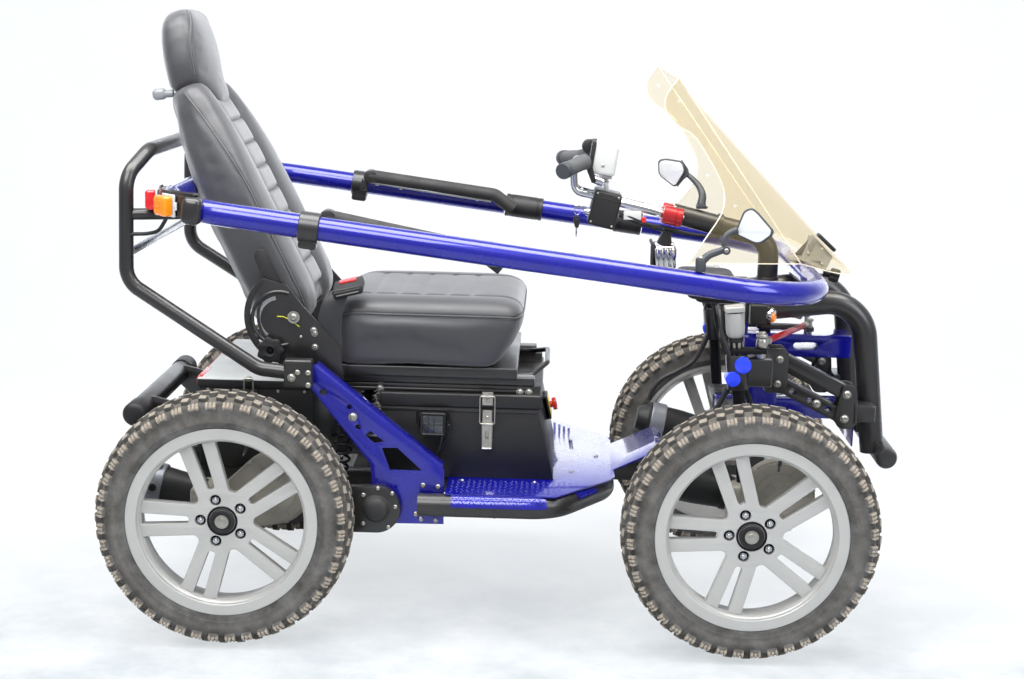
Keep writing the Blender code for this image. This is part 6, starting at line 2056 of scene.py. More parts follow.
    def build(self) -> None:
        """Model the back and ride it on its body."""
        body, trim, thread = self.body()
        fitted(body, "seat_back_cover", "backrest", ["seat_back"])
        fitted(trim, "seat_back_piping", "backrest")
        fitted(thread, "seat_back_stitching", "backrest")
        head, trim, thread = self.head()
        fitted(head, "headrest_cover", "backrest")
        fitted(trim, "headrest_piping", "backrest")
        fitted(thread, "headrest_stitching", "backrest")
        fitted(self.insert(), "seat_back_insert", "backrest")
        fitted(self.arms(), "seat_back_arms", "backrest")
        fitted(self.back_knob(), "seat_back_knob", "backrest")


@dataclass
class Cushion:
    """The seat cushion: crowned foam with side panels, sewn channels and a nose that leans back to its foot.
    """

    rear: float = -0.400
    front: float = 0.046
    half: float = 0.246
    base: float = 0.593
    top: float = 0.741
    crown: float = 0.006
    piping_z: float = 0.713
    seam_half: float = 0.157
    channels: tuple[float, ...] = (-0.312, -0.256, -0.200, -0.144, -0.088)
    voxel: float = 0.0075

    def front_at(self, z: float) -> float:
        """Give the nose's place at a height: it leans back towards its foot.

        Args:
            z: The height.

        Returns:
            The nose's X there.
        """
        share = (z - self.base) / (self.top - self.base)
        return self.front - 0.060 * (1 - share) ** 1.1

    def top_at(self, x: float, y: float) -> float:
        """Give the height of the crowned top.

        Args:
            x: The place along the machine.
            y: The place across it.

        Returns:
            The top's height there.
        """
        along = (x - self.rear) / (self.front - self.rear)
        nose = 0.012 * max(0.0, (along - 0.80) / 0.20) ** 2
        tail = 0.008 * max(0.0, (0.12 - along) / 0.12) ** 2
        return self.top + self.crown * (1 - (y / self.half) ** 4) - nose - tail

    def form(self) -> Thing:
        """Loft the cushion from its foot to its top.

        Returns:
            The cushion's form.
        """
        rows = [(0.0, -0.016), (0.012, -0.004), (0.05, 0.0), (0.35, 0.004), (0.62, 0.004), (0.74, 0.0),
                (0.84, -0.006), (0.92, -0.015), (0.975, -0.030), (1.0, -0.050)]
        rings = []
        height = self.top - self.base
        for share, grow in rows:
            z = self.base + height * share
            low_x, high_x = self.rear - grow, self.front_at(z) + grow
            middle, reach, wide = (low_x + high_x) / 2, (high_x - low_x) / 2, self.half + grow
            ring = []
            for i in range(96):
                turn = math.tau * i / 96
                c, s = math.cos(turn), math.sin(turn)
                x = middle + reach * math.copysign(abs(c) ** 0.24, c)
                y = wide * math.copysign(abs(s) ** 0.24, s)
                rise = (self.top_at(x, y) - self.top) * share ** 6
                ring.append((x, y, z + rise))
            rings.append(ring)
        return lofted(rings)

    def side_line(self) -> list[Vector]:
        """Give the piping's line round the sides and the nose, at the foot of the top panel.

        Returns:
            The piping's points.
        """
        z, h = self.piping_z, self.half
        nose = self.front_at(z)
        flat = [(self.rear + 0.004, -h), (nose - 0.050, -h), (nose - 0.014, -h + 0.010), (nose, -h + 0.045),
                (nose, h - 0.045), (nose - 0.014, h - 0.010), (nose - 0.050, h), (self.rear + 0.004, h)]
        return smooth_route([(x, y, z + 0.004 * math.sin((x - self.rear) * 9)) for x, y in flat], 14)

    def top_line(self, side: int) -> list[Vector]:
        """Give a long seam of the top, from the rear over the nose.

        Args:
            side: The side, -1 or 1.

        Returns:
            The seam's points.
        """
        y = side * self.seam_half
        xs = np.linspace(self.rear + 0.01, self.front - 0.030, 24)
        line = [Vector((x, y, self.top_at(x, y))) for x in xs]
        return line + [Vector((self.front - 0.006, y, self.top - 0.020)),
                       Vector((self.front, y, self.piping_z + 0.004))]

    def channel(self, x: float) -> list[Vector]:
        """Give a channel across the top, between the long seams."""
        return [Vector((x, y, self.top_at(x, y) + 0.003))
                for y in np.linspace(-self.seam_half, self.seam_half, 12)]

    def build(self) -> None:
        """Model the cushion, puff it between its seams and dress it."""
        made = remeshed(self.form(), self.voxel)
        side, tops = self.side_line(), [self.top_line(s) for s in BOTH]
        channels = [self.channel(x) for x in self.channels]
        puffed(made, held_along([side, *tops, *channels], 0.011), 0.006)
        modified(made, "SMOOTH", factor=0.5, iterations=4)
        modified(made, "SUBSURF", levels=1, render_levels=1)
        sunk(made, held_along([side], 0.0045), 0.0020)
        sunk(made, held_along(tops, 0.0055), 0.0042)
        sunk(made, held_along(channels, 0.0060), 0.0058)
        painted(made, LEATHERETTE, PAD_EDGES)
        trim = painted(piping(made, side), LEATHERETTE, PAD_EDGES)
        thread = joined(stitches(made, side, (-0.0050, 0.0050)),
                        *[stitches(made, t, (0.0035 * s,)) for t, s in zip(tops, (-1, 1))])
        fitted(made, "seat_cushion_cover", "seat", ["seat_cushion"])
        fitted(trim, "seat_cushion_piping", "seat")
        fitted(thread, "seat_cushion_stitching", "seat")


@dataclass
class SeatBase:
    """The steel base of the seat: pan, runners, slide handle and the recliner's side plates, with knob and
    belt.
    """

    pivot: tuple[float, float] = (-0.478, 0.704)
    plate_y: float = 0.264
    knob_angle: float = 236.0
    disc: tuple[float, float] = (-0.0326, -0.005)

    def pan(self) -> list[Thing]:
        """Model the pressed pan, its runners and the slide handle.

        Returns:
            The pan's pieces.
        """
        made = [block((-0.420, -0.230, 0.566), (0.020, 0.230, 0.5916), 0.004, 3)]
        for side in Side:
            low, high = sorted((side.value * 0.172, side.value * 0.213))
            made.append(block((-0.400, low, 0.5484), (0.060, high, 0.567), 0.003, 3))
            made.append(block((-0.392, low + 0.012, 0.5460), (0.058, high - 0.012, 0.5490), 0.001))
        route = bent([(-0.060, -0.150, 0.560), (0.052, -0.150, 0.560), (0.088, -0.080, 0.578),
                      (0.088, 0.080, 0.578), (0.052, 0.150, 0.560), (-0.060, 0.150, 0.560)], 0.022, 8)
        made.append(tube(route, 0.0060, 4))
        return made

    def side_plate(self, side: Side) -> list[Thing]:
        """Model a recliner side plate: its arc slot, pressed rim, pin and foot.

        Args:
            side: The side that it is on.

        Returns:
            The plate's pieces.
        """
        px, pz = self.pivot
        s = side.value
        slot = arc(self.pivot, 0.098, 148, 240, 30) + arc(self.pivot, 0.084, 240, 148, 30)
        outline = arc(self.pivot, 0.112, 130, 250, 40) + [(px + 0.020, 0.5662), (px + 0.110, 0.5662),
                                                          (px + 0.105, 0.636), (px + 0.020, 0.728),
                                                          (px - 0.016, 0.774)]
        made = [plate(outline, 0.006, s * self.plate_y, [slot], 0.0010)]
        rim = arc(self.pivot, 0.1115, 132, 246, 40) + arc(self.pivot, 0.1030, 246, 132, 40)
        made.append(plate(rim, 0.0030, s * (self.plate_y + 0.0035), [], 0.0009))
        lip = arc(self.pivot, 0.0835, 150, 238, 30) + arc(self.pivot, 0.0765, 238, 150, 30)
        made.append(plate(lip, 0.0020, s * (self.plate_y + 0.0035), [], 0.0006))
        made.append(rod((px, s * 0.2515, pz), (px, s * 0.274, pz), 0.010, 28))
        made.append(tube([Vector((a, s * 0.2675, b))
                          for a, b in arc((px + self.disc[0], pz + self.disc[1]), 0.0605, 70, 290, 40)],
                         0.0042, 4))
        made.append(block((px + 0.050, s * 0.210, 0.566), (px + 0.110, s * 0.262, 0.586), 0.002))
        return made

    def knob(self) -> list[Thing]:
        """Model the star knob with its pressed middle and stud.

        Returns:
            The knob's pieces.
        """
        turn = math.radians(self.knob_angle)
        x, z = self.pivot[0] + 0.091 * math.cos(turn), self.pivot[1] + 0.091 * math.sin(turn)
        y = -0.2674
        outline = []
        for i in range(112):
            angle = math.tau * i / 112
            radius = 0.0285 + 0.0024 * math.cos(7 * angle)
            outline.append((x + radius * math.cos(angle), z + radius * math.sin(angle)))
        star = plate(outline, 0.016, y - 0.0115, [circle((x, z), 0.0075, 32)], 0.0030)
        cup = spun([(-0.0045, 0.0), (-0.0045, 0.0060), (-0.0190, 0.0095), (-0.0205, 0.0130),
                    (-0.0212, 0.0125), (-0.0200, 0.0085), (-0.0100, 0.0050), (-0.0100, 0.0)], 40, (x, y, z))
        washer = rod((x, y, z), (x, y - 0.0035, z), 0.014, 36)
        stud = rod((x, -0.252, z), (x, y - 0.018, z), 0.0050, 20)
        return [painted(joined(star, cup), NYLON_BLACK, TURNED_EDGES),
                painted(joined(washer, stud), BLACK_STEEL, TURNED_EDGES)]

    def belt(self) -> list[Thing]:
        """Model the strap up the cushion's side, and the buckle with its button on the cushion.

        Returns:
            The belt's pieces.
        """
        y = -0.2590
        route = smooth_route([(-0.402, y + 0.004, 0.588), (-0.402, y, 0.625), (-0.401, y - 0.0008, 0.670),
                              (-0.397, y + 0.0006, 0.712), (-0.389, y + 0.0060, 0.742),
                              (-0.378, y + 0.020, 0.758), (-0.370, y + 0.040, 0.762)], 6)
        webbing = strap(route, (1, 0, 0.16), 0.054, 0.0030)
        hems = [strap([p + Vector((dx, 0, dx * 0.16)) for p in route], (1, 0, 0.16), 0.0035, 0.0040)
                for dx in (-0.0245, 0.0245)]
        pose = Matrix.Translation((-0.362, -0.2230, 0.7665)) @ Matrix.Rotation(math.radians(-14), 4, "Y")
        pose = pose @ Matrix.Rotation(math.radians(10), 4, "X")
        shell = block((-0.034, -0.036, -0.011), (0.034, 0.036, 0.010), 0.0055, 4)
        lip = block((-0.032, -0.0395, -0.0085), (0.032, -0.0300, 0.0055), 0.0030, 3)
        tongue = block((-0.024, 0.0350, -0.0030), (0.024, 0.0480, 0.0015), 0.0012)
        button = block((-0.020, 0.0040, 0.0085), (0.020, 0.0280, 0.0125), 0.0012)
        slot = block((-0.026, -0.0402, -0.0030), (0.026, -0.0385, -0.0005), 0.0004)
        webbing = painted(joined(webbing, *hems), WEBBING, 50.0)
        buckle = painted(placed(joined(shell, lip), pose), NYLON_BLACK)
        bright = painted(placed(joined(tongue, slot), pose), ZINC)
        return [webbing, buckle, bright, painted(placed(button, pose), RED_PLASTIC)]

    def small_parts(self) -> list[Thing]:
        """Model the pivot bolts, the plate's screws and the thin yellow release wire.

        Returns:
            The bolts, the screws and the wire.
        """
        px, pz = self.pivot
        made = [bolts([(px, -0.2740, pz)], (0, -1, 0), 0.0085, 0.0140),
                bolts([(px, 0.2740, pz)], (0, 1, 0), 0.0085, 0.0140),
                bolts([(px + 0.044, -0.2670, 0.675), (px + 0.046, -0.2670, 0.668),
                       (px + 0.047, -0.2670, 0.637)], (0, -1, 0), 0.0055, 0.0075),
                bolts([(px + 0.015, -0.2670, 0.659)], (0, -1, 0), 0.0035)]
        wire = tube(smooth_route([(px - 0.038, -0.2680, 0.704), (px - 0.022, -0.2690, 0.703),
                                  (px - 0.004, -0.2700, 0.694), (px + 0.012, -0.2685, 0.682)], 8), 0.0011,
                    2)
        middle = (px + self.disc[0], pz + self.disc[1])
        crescent = arc(middle, 0.0510, 100, 236, 26) + arc(middle, 0.0425, 236, 100, 26)
        crescents = [plate(crescent, 0.0024, s * 0.2664, [], 0.0006) for s in BOTH]
        made.append(painted(joined(*crescents), BRUSHED))
        return [joined(*made), painted(wire, WIRE_YELLOW)]

    def build(self) -> None:
        """Model the base, the knob and the belt, and ride them."""
        steel = joined(*self.pan(), *[p for side in Side for p in self.side_plate(side)])
        fitted(painted(steel, POWDER_BLACK), "seat_base", "seat", ["seat_pan"])
        star, stud = self.knob()
        fitted(star, "recliner_star_knob", "recline_knob", ["recliner_knob"])
        fitted(stud, "recliner_stud", "recline_knob")
        webbing, buckle, tongue, button = self.belt()
        fitted(webbing, "belt_strap", "seat", ["lap_belt"])
        fitted(buckle, "belt_buckle", "seat")
        fitted(tongue, "belt_tongue", "seat")
        fitted(button, "belt_button", "seat")
        screws, wire = self.small_parts()
        fitted(screws, "seat_base_bolts", "seat")
        fitted(wire, "recliner_wire", "seat")


@dataclass
class Armrest:
    """An armrest: a foam sleeve on a bent bar, with its steel strip underneath."""

    side: Side
    half: float = 0.418

    def build(self) -> None:
        """Model the armrest and ride it on its arm."""
        y = self.side.value * self.half
        drop = 0.0 if self.side is Side.LEFT else -0.030
        start = Vector((-0.386, y, RAIL_HEIGHT + RAIL_SLOPE * 0.386 + 0.028 + drop * 0.3))
        end = Vector((-0.060, y, RAIL_HEIGHT + RAIL_SLOPE * 0.060 + 0.026 + drop))
        tip = Vector((-0.012, y, end.z - 0.036))
        route = bent([start, end, tip], 0.030, 12)
        sleeve = bevelled(tube(route, 0.0172, 8), 0.005, 4, 60.0)
        name = self.side.tag
        body = f"armrest_arm_{name}"
        fitted(painted(sleeve, PAD_FOAM), f"armrest_sleeve_{name}", body, [f"armrest_{name}"])
        strip = bar(start + Vector((0.004, 0, -0.0165)), end + Vector((-0.010, 0, -0.0165)), 0.018, 0.005,
                    0.001)
        fitted(painted(strip, BRUSHED), f"armrest_strip_{name}", body)
        hub = rod((start.x + 0.004, y - 0.0161, start.z), (start.x + 0.004, y + 0.0161, start.z), 0.0175,
                  36, bevel=0.003)
        fitted(painted(hub, POWDER_BLACK), f"armrest_hub_{name}", body)
        under = [start.lerp(end, t) + Vector((0, 0, -0.0192)) for t in (0.06, 0.25, 0.86)]
        fitted(bolts(under, (0, 0, -1), 0.0050), f"armrest_bolts_{name}", body)


# Rear of the machine

@dataclass
class RearHoop:
    """The black hoop behind the seat, with its cross tube, its stays to the rail and the lamps."""

    radius: float = 0.016
    bend: float = 0.058
    path: tuple[tuple[float, float, float], ...] = (
        (-0.482, 0.3414, 0.594), (-0.545, 0.3414, 0.600), (-0.836, 0.330, 0.785), (-0.832, 0.330, 1.015),
        (-0.800, 0.255, 1.066), (-0.800, 0.0, 1.066))
    lamp_centre: tuple[float, float] = (-0.575, 0.3105)
    lamp_z: float = 0.9660
    foot_y: float = 0.3574
    rail: LoopRail = field(default_factory=LoopRail)

    def tubes(self) -> Thing:
        """Model the hoop's tube, its blocks on the side plates and its stays.

        Returns:
            The tubes.
        """
        right = [(x, -y, z) for x, y, z in self.path[:-1]]
        left = [tuple(p) for p in reversed(self.path[:-1])]
        made = [tube(bent(right + left, self.bend, 14), self.radius, 7)]
        for side in Side:
            s = side.value
            made.append(block((-0.4880, s * 0.3254, 0.5610), (-0.4250, s * self.foot_y, 0.6240), 0.0050, 4))
            z = self.rail.height(-0.735) - 0.0383
            made.append(rod((-0.836, s * 0.328, z), (-0.715, s * 0.290, z), 0.0128, 28))
            made.append(tube([Vector((-0.715, s * 0.290, z)), Vector((-0.700, s * 0.300, z + 0.016))],
                             0.010, 4))
        return painted(joined(*made), POWDER_BLACK)

    def outward(self, side: Side, heading: float, reach: float, z: float) -> Matrix:
        """Give the place on a lamp strip whose own +X looks outwards.

        Args:
            side: The side that the strip is on.
            heading: The angle round the strip's bend.
            reach: How far out the place lies.
            z: The place's height.

        Returns:
            The place.
        """
        turn = math.radians(heading)
        x, y = self.lamp_centre
        spot = (x + reach * math.cos(turn), side.value * y + reach * math.sin(turn), z)
        return Matrix.Translation(spot) @ Matrix.Rotation(turn, 4, "Z")

    def strip(self, side: Side) -> Thing:
        """Model the bent strip that the lamps stand on, and the clamp at its end on the rail.

        Args:
            side: The side that it is on.

        Returns:
            The strip.
        """
        s, (x, y) = side.value, self.lamp_centre
        flat = arc((x, s * y), 0.1840, 180 + s * 4, 180 - s * 64, 26)
        band = strap([(a, b, self.lamp_z) for a, b in flat], (0, 0, 1), 0.046, 0.0050)
        lip = strap([(x + (a - x) * 0.955, s * y + (b - s * y) * 0.955, self.lamp_z + 0.0240)
                     for a, b in flat], (0, 0, 1), 0.0040, 0.020)
        turn = math.degrees(math.atan(RAIL_SLOPE))
        middle = self.rail.spot(-0.658, s * self.rail.half)
        clamp = block(middle - Vector((0.021, 0.0290, 0.0285)), middle + Vector((0.021, 0.0290, 0.0285)),
                      0.013, 3, turn)
        return painted(joined(band, lip, clamp), POWDER_BLACK)

    def lamp(self, side: Side, heading: float, width: float, lens: Finish, tag: str) -> None:
        """Model one lamp: a pale base and a ribbed clear lens.

        Args:
            side: The side that it is on.
            heading: The angle round the strip's bend.
            width: The lamp's width.
            lens: The lens's finish.
            tag: The word in its pieces' names.
        """
        seat = self.outward(side, heading, 0.1870, self.lamp_z)
        base = block((0.0, -width / 2, -0.0240), (0.0055, width / 2, 0.0240), 0.0025, 3)
        tabs = [block((0.0, t * (width / 2 + 0.002) - 0.004, -0.009),
                      (0.004, t * (width / 2 + 0.002) + 0.004, 0.009), 0.0015) for t in BOTH]
        glass = block((0.0045, -width / 2 + 0.003, -0.0215), (0.0275, width / 2 - 0.003, 0.0215), 0.0060, 4)
        ribs = [block((0.0250, -width / 2 + 0.008 + i * (width - 0.016) / 5, -0.0165),
                      (0.0290, -width / 2 + 0.011 + i * (width - 0.016) / 5, 0.0165), 0.0012)
                for i in range(5)]
        cross = [block((0.0255, -width / 2 + 0.008, z - 0.0012), (0.0285, width / 2 - 0.008, z + 0.0012),
                       0.0008) for z in (-0.0110, 0.0, 0.0110)]
        name = f"{tag}_{side.tag}"
        fitted(painted(placed(joined(base, *tabs), seat), ABS_WHITE), f"lamp_base_{name}", "chassis")
        fitted(painted(placed(joined(glass, *ribs, *cross), seat), lens), f"lamp_lens_{name}", "chassis")

    def lead(self, side: Side) -> Thing:
        """Model the lamps' lead, which hangs from the strip to the hoop.

        Args:
            side: The side that it is on.

        Returns:
            The lead.
        """
        s = side.value
        points = [(-0.728, s * 0.395, 0.940), (-0.741, s * 0.372, 0.922), (-0.760, s * 0.350, 0.900),
                  (-0.786, s * 0.342, 0.892), (-0.820, s * 0.338, 0.889), (-0.834, s * 0.334, 0.880)]
        return tube(smooth_route(points, 6), 0.0042, 3)

    def build(self) -> None:
        """Model the hoop and what stands on it."""
        fitted(self.tubes(), "rear_hoop_tube", "chassis", ["rear_hoop"])
        cross = painted(rod((-0.826, -0.322, 0.850), (-0.826, 0.322, 0.850), 0.009, 32), BRUSHED)
        fitted(cross, "hoop_cross_tube", "chassis")
        screws = []
        for side in Side:
            s = side.value
            fitted(self.strip(side), f"lamp_strip_{side.tag}", "chassis")
            self.lamp(side, 180 - s * 6, 0.048, LENS_RED, "tail")
            self.lamp(side, 180 - s * 42, 0.050, LENS_AMBER, "turn")
            screws.append(bolts([(-0.4701, s * self.foot_y, 0.5852)], (0, s, 0), 0.0072, 0.0090))
            screws.append(bolts([(x, s * self.foot_y, z)
                                 for x, z in ((-0.4570, 0.5965), (-0.4340, 0.5960), (-0.4340, 0.5685))],
                                (0, s, 0), 0.0064))
        leads = painted(joined(*[self.lead(side) for side in Side]), CABLE_PVC)
        fitted(leads, "lamp_leads", "chassis")
        fitted(joined(*screws), "hoop_bolts", "chassis")


@dataclass
class RearBumper:
    """The round bar behind the rear box, on two bent straps, with rubber ends."""

    place: tuple[float, float] = (-0.838, 0.472)
    radius: float = 0.025
    half: float = 0.270

    def build(self) -> None:
        """Model the bar, its ends and its straps."""
        x, z = self.place
        r, h = self.radius, self.half
        outline = eased([(-0.848, 0.486), (-0.818, 0.494), (-0.705, 0.466), (-0.705, 0.361),
                         (-0.740, 0.361), (-0.838, 0.452)], 0.008)
        made = [rod((x, -h, z), (x, h, z), r, 48)] + [plate(outline, 0.008, s * 0.1754, [], 0.0015)
                                                      for s in BOTH]
        fitted(painted(joined(*made), POWDER_BLACK), "rear_bumper_bar", "chassis",
               ["rear_bumper"])
        ends = []
        for s in BOTH:
            profile = [(s * (h - 0.055), r - 0.001), (s * (h - 0.055), r + 0.0022),
                       (s * (h + 0.002), r + 0.0026), (s * (h + 0.009), r - 0.001),
                       (s * (h + 0.012), r - 0.008), (s * (h + 0.012), 0.0), (s * (h - 0.002), 0.0),
                       (s * (h - 0.002), r - 0.001)]
            ends.append(spun(profile, 48, (x, 0, z)))
        fitted(painted(joined(*ends), NYLON_BLACK), "rear_bumper_ends", "chassis")
        spots = ((-0.722, 0.385), (-0.722, 0.425), (-0.722, 0.448))
        screws = [bolts([(px, s * 0.1796, pz) for px, pz in spots], (0, s, 0), 0.0065, 0.0085) for s in BOTH]
        fitted(joined(*screws), "rear_bumper_bolts", "chassis")


@dataclass
class RearBox:
    """The steel box over the rear axle, with its pale lid, wire catches and red edge."""

    half: float = 0.235

    def catch(self, s: int) -> list[Thing]:
        """Model a wire catch at the box's side.

        Args:
            s: The side that it is on, -1 or 1.

        Returns:
            The catch's pieces.
        """
        y = s * (self.half + 0.0012)
        keeper = block((-0.603, y, 0.500), (-0.565, y + s * 0.012, 0.530), 0.002)
        wire = tube(bent([(-0.594, y + s * 0.013, 0.518), (-0.594, y + s * 0.013, 0.556),
                          (-0.574, y + s * 0.013, 0.556), (-0.574, y + s * 0.013, 0.518)], 0.004, 5),
                    0.0020, 3)
        hook = block((-0.590, y, 0.5500), (-0.578, y + s * 0.014, 0.5600), 0.002)
        return [painted(keeper, NYLON_BLACK), painted(joined(wire, hook), ZINC)]

    def build(self) -> None:
        """Dress the box and its lid, and model the small parts on them."""
        carried_over("rear_box", STOVE_BLACK, "chassis", 0.0018)
        carried_over("rear_box_lid", ABS_WHITE, "box_lid", 0.0030)
        low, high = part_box("rear_box_lid")
        trim = block((low[0] - 0.0012, -0.229, low[2] + 0.002), (low[0] + 0.0006, 0.229, high[2] - 0.001),
                     0.0007)
        tape = block((low[0], -0.228, high[2] - 0.0008), (low[0] + 0.011, -0.120, high[2] + 0.0007), 0.0003)
        fitted(painted(joined(trim, tape), RED_PLASTIC), "rear_lid_trim", "box_lid")
        lips = [block((low[0] + 0.001, s * high[1], low[2] + 0.0004),
                      (high[0], s * (high[1] + 0.0010), high[2] - 0.0035), 0.0004) for s in BOTH]
        fitted(painted(joined(*lips), STOVE_BLACK), "rear_lid_lips", "box_lid")
        dark, bright = zip(*[self.catch(s) for s in BOTH])
        fitted(joined(*dark), "rear_catch_keepers", "chassis")
        fitted(joined(*bright), "rear_catch_wires", "chassis")
        rivets = [(x, -0.2314, 0.525) for x in (-0.68, -0.52, -0.46)]
        fitted(bolts(rivets, (0, -1, 0), 0.0040), "rear_box_rivets", "chassis")


# Battery box and its fittings

@dataclass
class BatteryBox:
    """The steel box under the seat: lid, draw latches, work lamp and battery isolator."""

    half: float = 0.225
    latch_x: float = -0.0445

    def latch(self, side: Side) -> None:
        """Model a draw latch: hook bracket on the lid, wire bail and riveted lever plate.

        Args:
            side: The side of the box that it is on.
        """
        s, x = side.value, self.latch_x
        y = s * 0.2300
        hook = [block((x - 0.0125, y, 0.5060), (x + 0.0125, y + s * 0.0035, 0.5370), 0.0010),
                block((x - 0.0090, y, 0.5230), (x + 0.0090, y + s * 0.0120, 0.5265), 0.0012),
                block((x - 0.0090, y + s * 0.0095, 0.5230), (x + 0.0090, y + s * 0.0120, 0.5345), 0.0010)]
        base = plate(eased([(x - 0.0115, 0.4020), (x + 0.0115, 0.4020), (x + 0.0125, 0.4700),
                            (x - 0.0125, 0.4700)], 0.003), 0.0020, y + s * 0.0014)
        fitted(painted(joined(*hook, base), ZINC), f"latch_hook_{side.tag}", "chassis")
        lever = plate(eased([(x - 0.0105, 0.4115), (x - 0.0115, 0.4060), (x + 0.0115, 0.4060),
                             (x + 0.0105, 0.4115), (x + 0.0100, 0.4960), (x - 0.0100, 0.4960)], 0.003),
                      0.0024, y + s * 0.0072,
                      [hull_of_circles((x, 0.4440), 0.0035, (x, 0.4330), 0.0035, 8)], 0.0006)
        flanges = [block((x + t * 0.0100 - 0.0008, y + s * 0.002, 0.4700),
                         (x + t * 0.0100 + 0.0008, y + s * 0.0072, 0.4950), 0.0004) for t in BOTH]
        bend = rod((x - 0.0110, y + s * 0.0085, 0.4065), (x + 0.0110, y + s * 0.0085, 0.4065), 0.0022, 16)
        wide = 0.0170
        ring = bent([(x - 0.004, y + s * 0.0110, 0.5285), (x - wide, y + s * 0.0110, 0.5285),
                     (x - wide, y + s * 0.0100, 0.4640), (x + wide, y + s * 0.0100, 0.4640),
                     (x + wide, y + s * 0.0110, 0.5285), (x + 0.004, y + s * 0.0110, 0.5285)], 0.005, 5)
        bail = tube(ring, 0.0016, 3, True)
        rivets = bolts([(x, y + s * 0.0084, 0.4790)], (0, s, 0), 0.0040)
        made = painted(joined(lever, *flanges, bend, bail), ZINC)
        fitted(joined(made, rivets), f"latch_lever_{side.tag}", f"box_latch_{side.tag}",
               [f"latch_{side.tag}"])
        fitted(bolts([(x, y + s * 0.0035, 0.5160)], (0, s, 0), 0.0045), f"latch_screw_{side.tag}",
               "chassis")

    def work_lamp(self) -> None:
        """Model the square work lamp on its bracket, with its lead."""
        low, high = (-0.196, -0.2560, 0.4370), (-0.137, -0.2330, 0.4900)
        shell = block(low, high, 0.0050, 3)
        pick(shell, lambda centre, normal: normal.y < -0.9)
        with editing(shell):
            bpy.ops.mesh.inset(thickness=0.0055, depth=0.0)
            bpy.ops.transform.translate(value=(0, 0.0040, 0))
        fins = [block((-0.190 + i * 0.0115, -0.2335, 0.4420), (-0.1865 + i * 0.0115, -0.2250, 0.4850),
                      0.0006) for i in range(5)]
        yoke = [block((x - 0.0015, -0.2500, 0.4540), (x + 0.0015, -0.2255, 0.4720), 0.0008)
                for x in (-0.2000, -0.1330)]
        fitted(painted(joined(shell, *fins, *yoke), NYLON_BLACK), "work_lamp_shell", "chassis")
        bail = tube(bent([(-0.2020, -0.2480, 0.4640), (-0.2020, -0.2480, 0.4955),
                          (-0.1310, -0.2480, 0.4955), (-0.1310, -0.2480, 0.4640)], 0.010, 8), 0.0028, 4)
        fitted(painted(bail, BLACK_STEEL), "work_lamp_bail", "chassis")
        glass = block((-0.1895, -0.2552, 0.4435), (-0.1435, -0.2508, 0.4835), 0.0015)
        fitted(painted(glass, LAMP_GLASS), "work_lamp_glass", "chassis")
        grid = [block((x, -0.2562, 0.4440), (x + 0.0016, -0.2546, 0.4830), 0.0005)
                for x in (-0.1770, -0.1645)]
        ledge = block((-0.1890, -0.2562, 0.4620), (-0.1440, -0.2546, 0.4636), 0.0005)
        fitted(painted(joined(*grid, ledge), NYLON_BLACK), "work_lamp_grid", "chassis")
        route = smooth_route([(-0.150, -0.2360, 0.4400), (-0.147, -0.2410, 0.4250),
                              (-0.152, -0.2400, 0.4050), (-0.160, -0.2330, 0.3900),
                              (-0.168, -0.2280, 0.3800)], 6)
        curl = smooth_route([(-0.1350, -0.2350, 0.4800), (-0.1290, -0.2400, 0.4600),
                             (-0.1330, -0.2400, 0.4350), (-0.1430, -0.2350, 0.4150),
                             (-0.1500, -0.2280, 0.4000)], 6)
        fitted(painted(joined(tube(route, 0.0026, 3), tube(curl, 0.0022, 3)), CABLE_PVC), "work_lamp_lead",
               "chassis")
        screws = joined(bolts([(-0.2016, -0.2400, 0.4630)], (-1, 0, 0), 0.0045),
                        bolts([(-0.1314, -0.2400, 0.4630)], (1, 0, 0), 0.0045))
        fitted(screws, "work_lamp_bolts", "chassis")

    def isolator(self) -> None:
        """Model the isolator's housing, its yellow plate and the red knob that is pressed."""
        place = facing((0.0796, 0.0, 0.455), (0.9748, 0.0, 0.2231))
        housing = block((-0.028, -0.032, 0.0), (0.028, 0.032, 0.0160), 0.0040, 3)
        fitted(painted(placed(housing, place), NYLON_BLACK), "isolator_housing", "chassis")
        label = block((-0.024, -0.028, 0.0158), (0.024, 0.028, 0.0172), 0.0006)
        fitted(painted(placed(label, place), YELLOW_PLATE), "isolator_plate", "chassis")
        profile = [(0.0175, 0.0), (0.0175, 0.0080), (0.0230, 0.0080), (0.0250, 0.0125), (0.0285, 0.0140),
                   (0.0325, 0.0136), (0.0340, 0.0110), (0.0345, 0.0)]
        knob = spun(profile, 40, axis="Z")
        grooves = turned_copies(block((0.0128, -0.0012, 0.0235), (0.0150, 0.0012, 0.0335), 0.0006), 12,
                                (0, 0, 0), "Z")
        fitted(painted(placed(joined(knob, grooves), place), RED_PLASTIC), "isolator_knob", "stop",
               ["stop_button"])

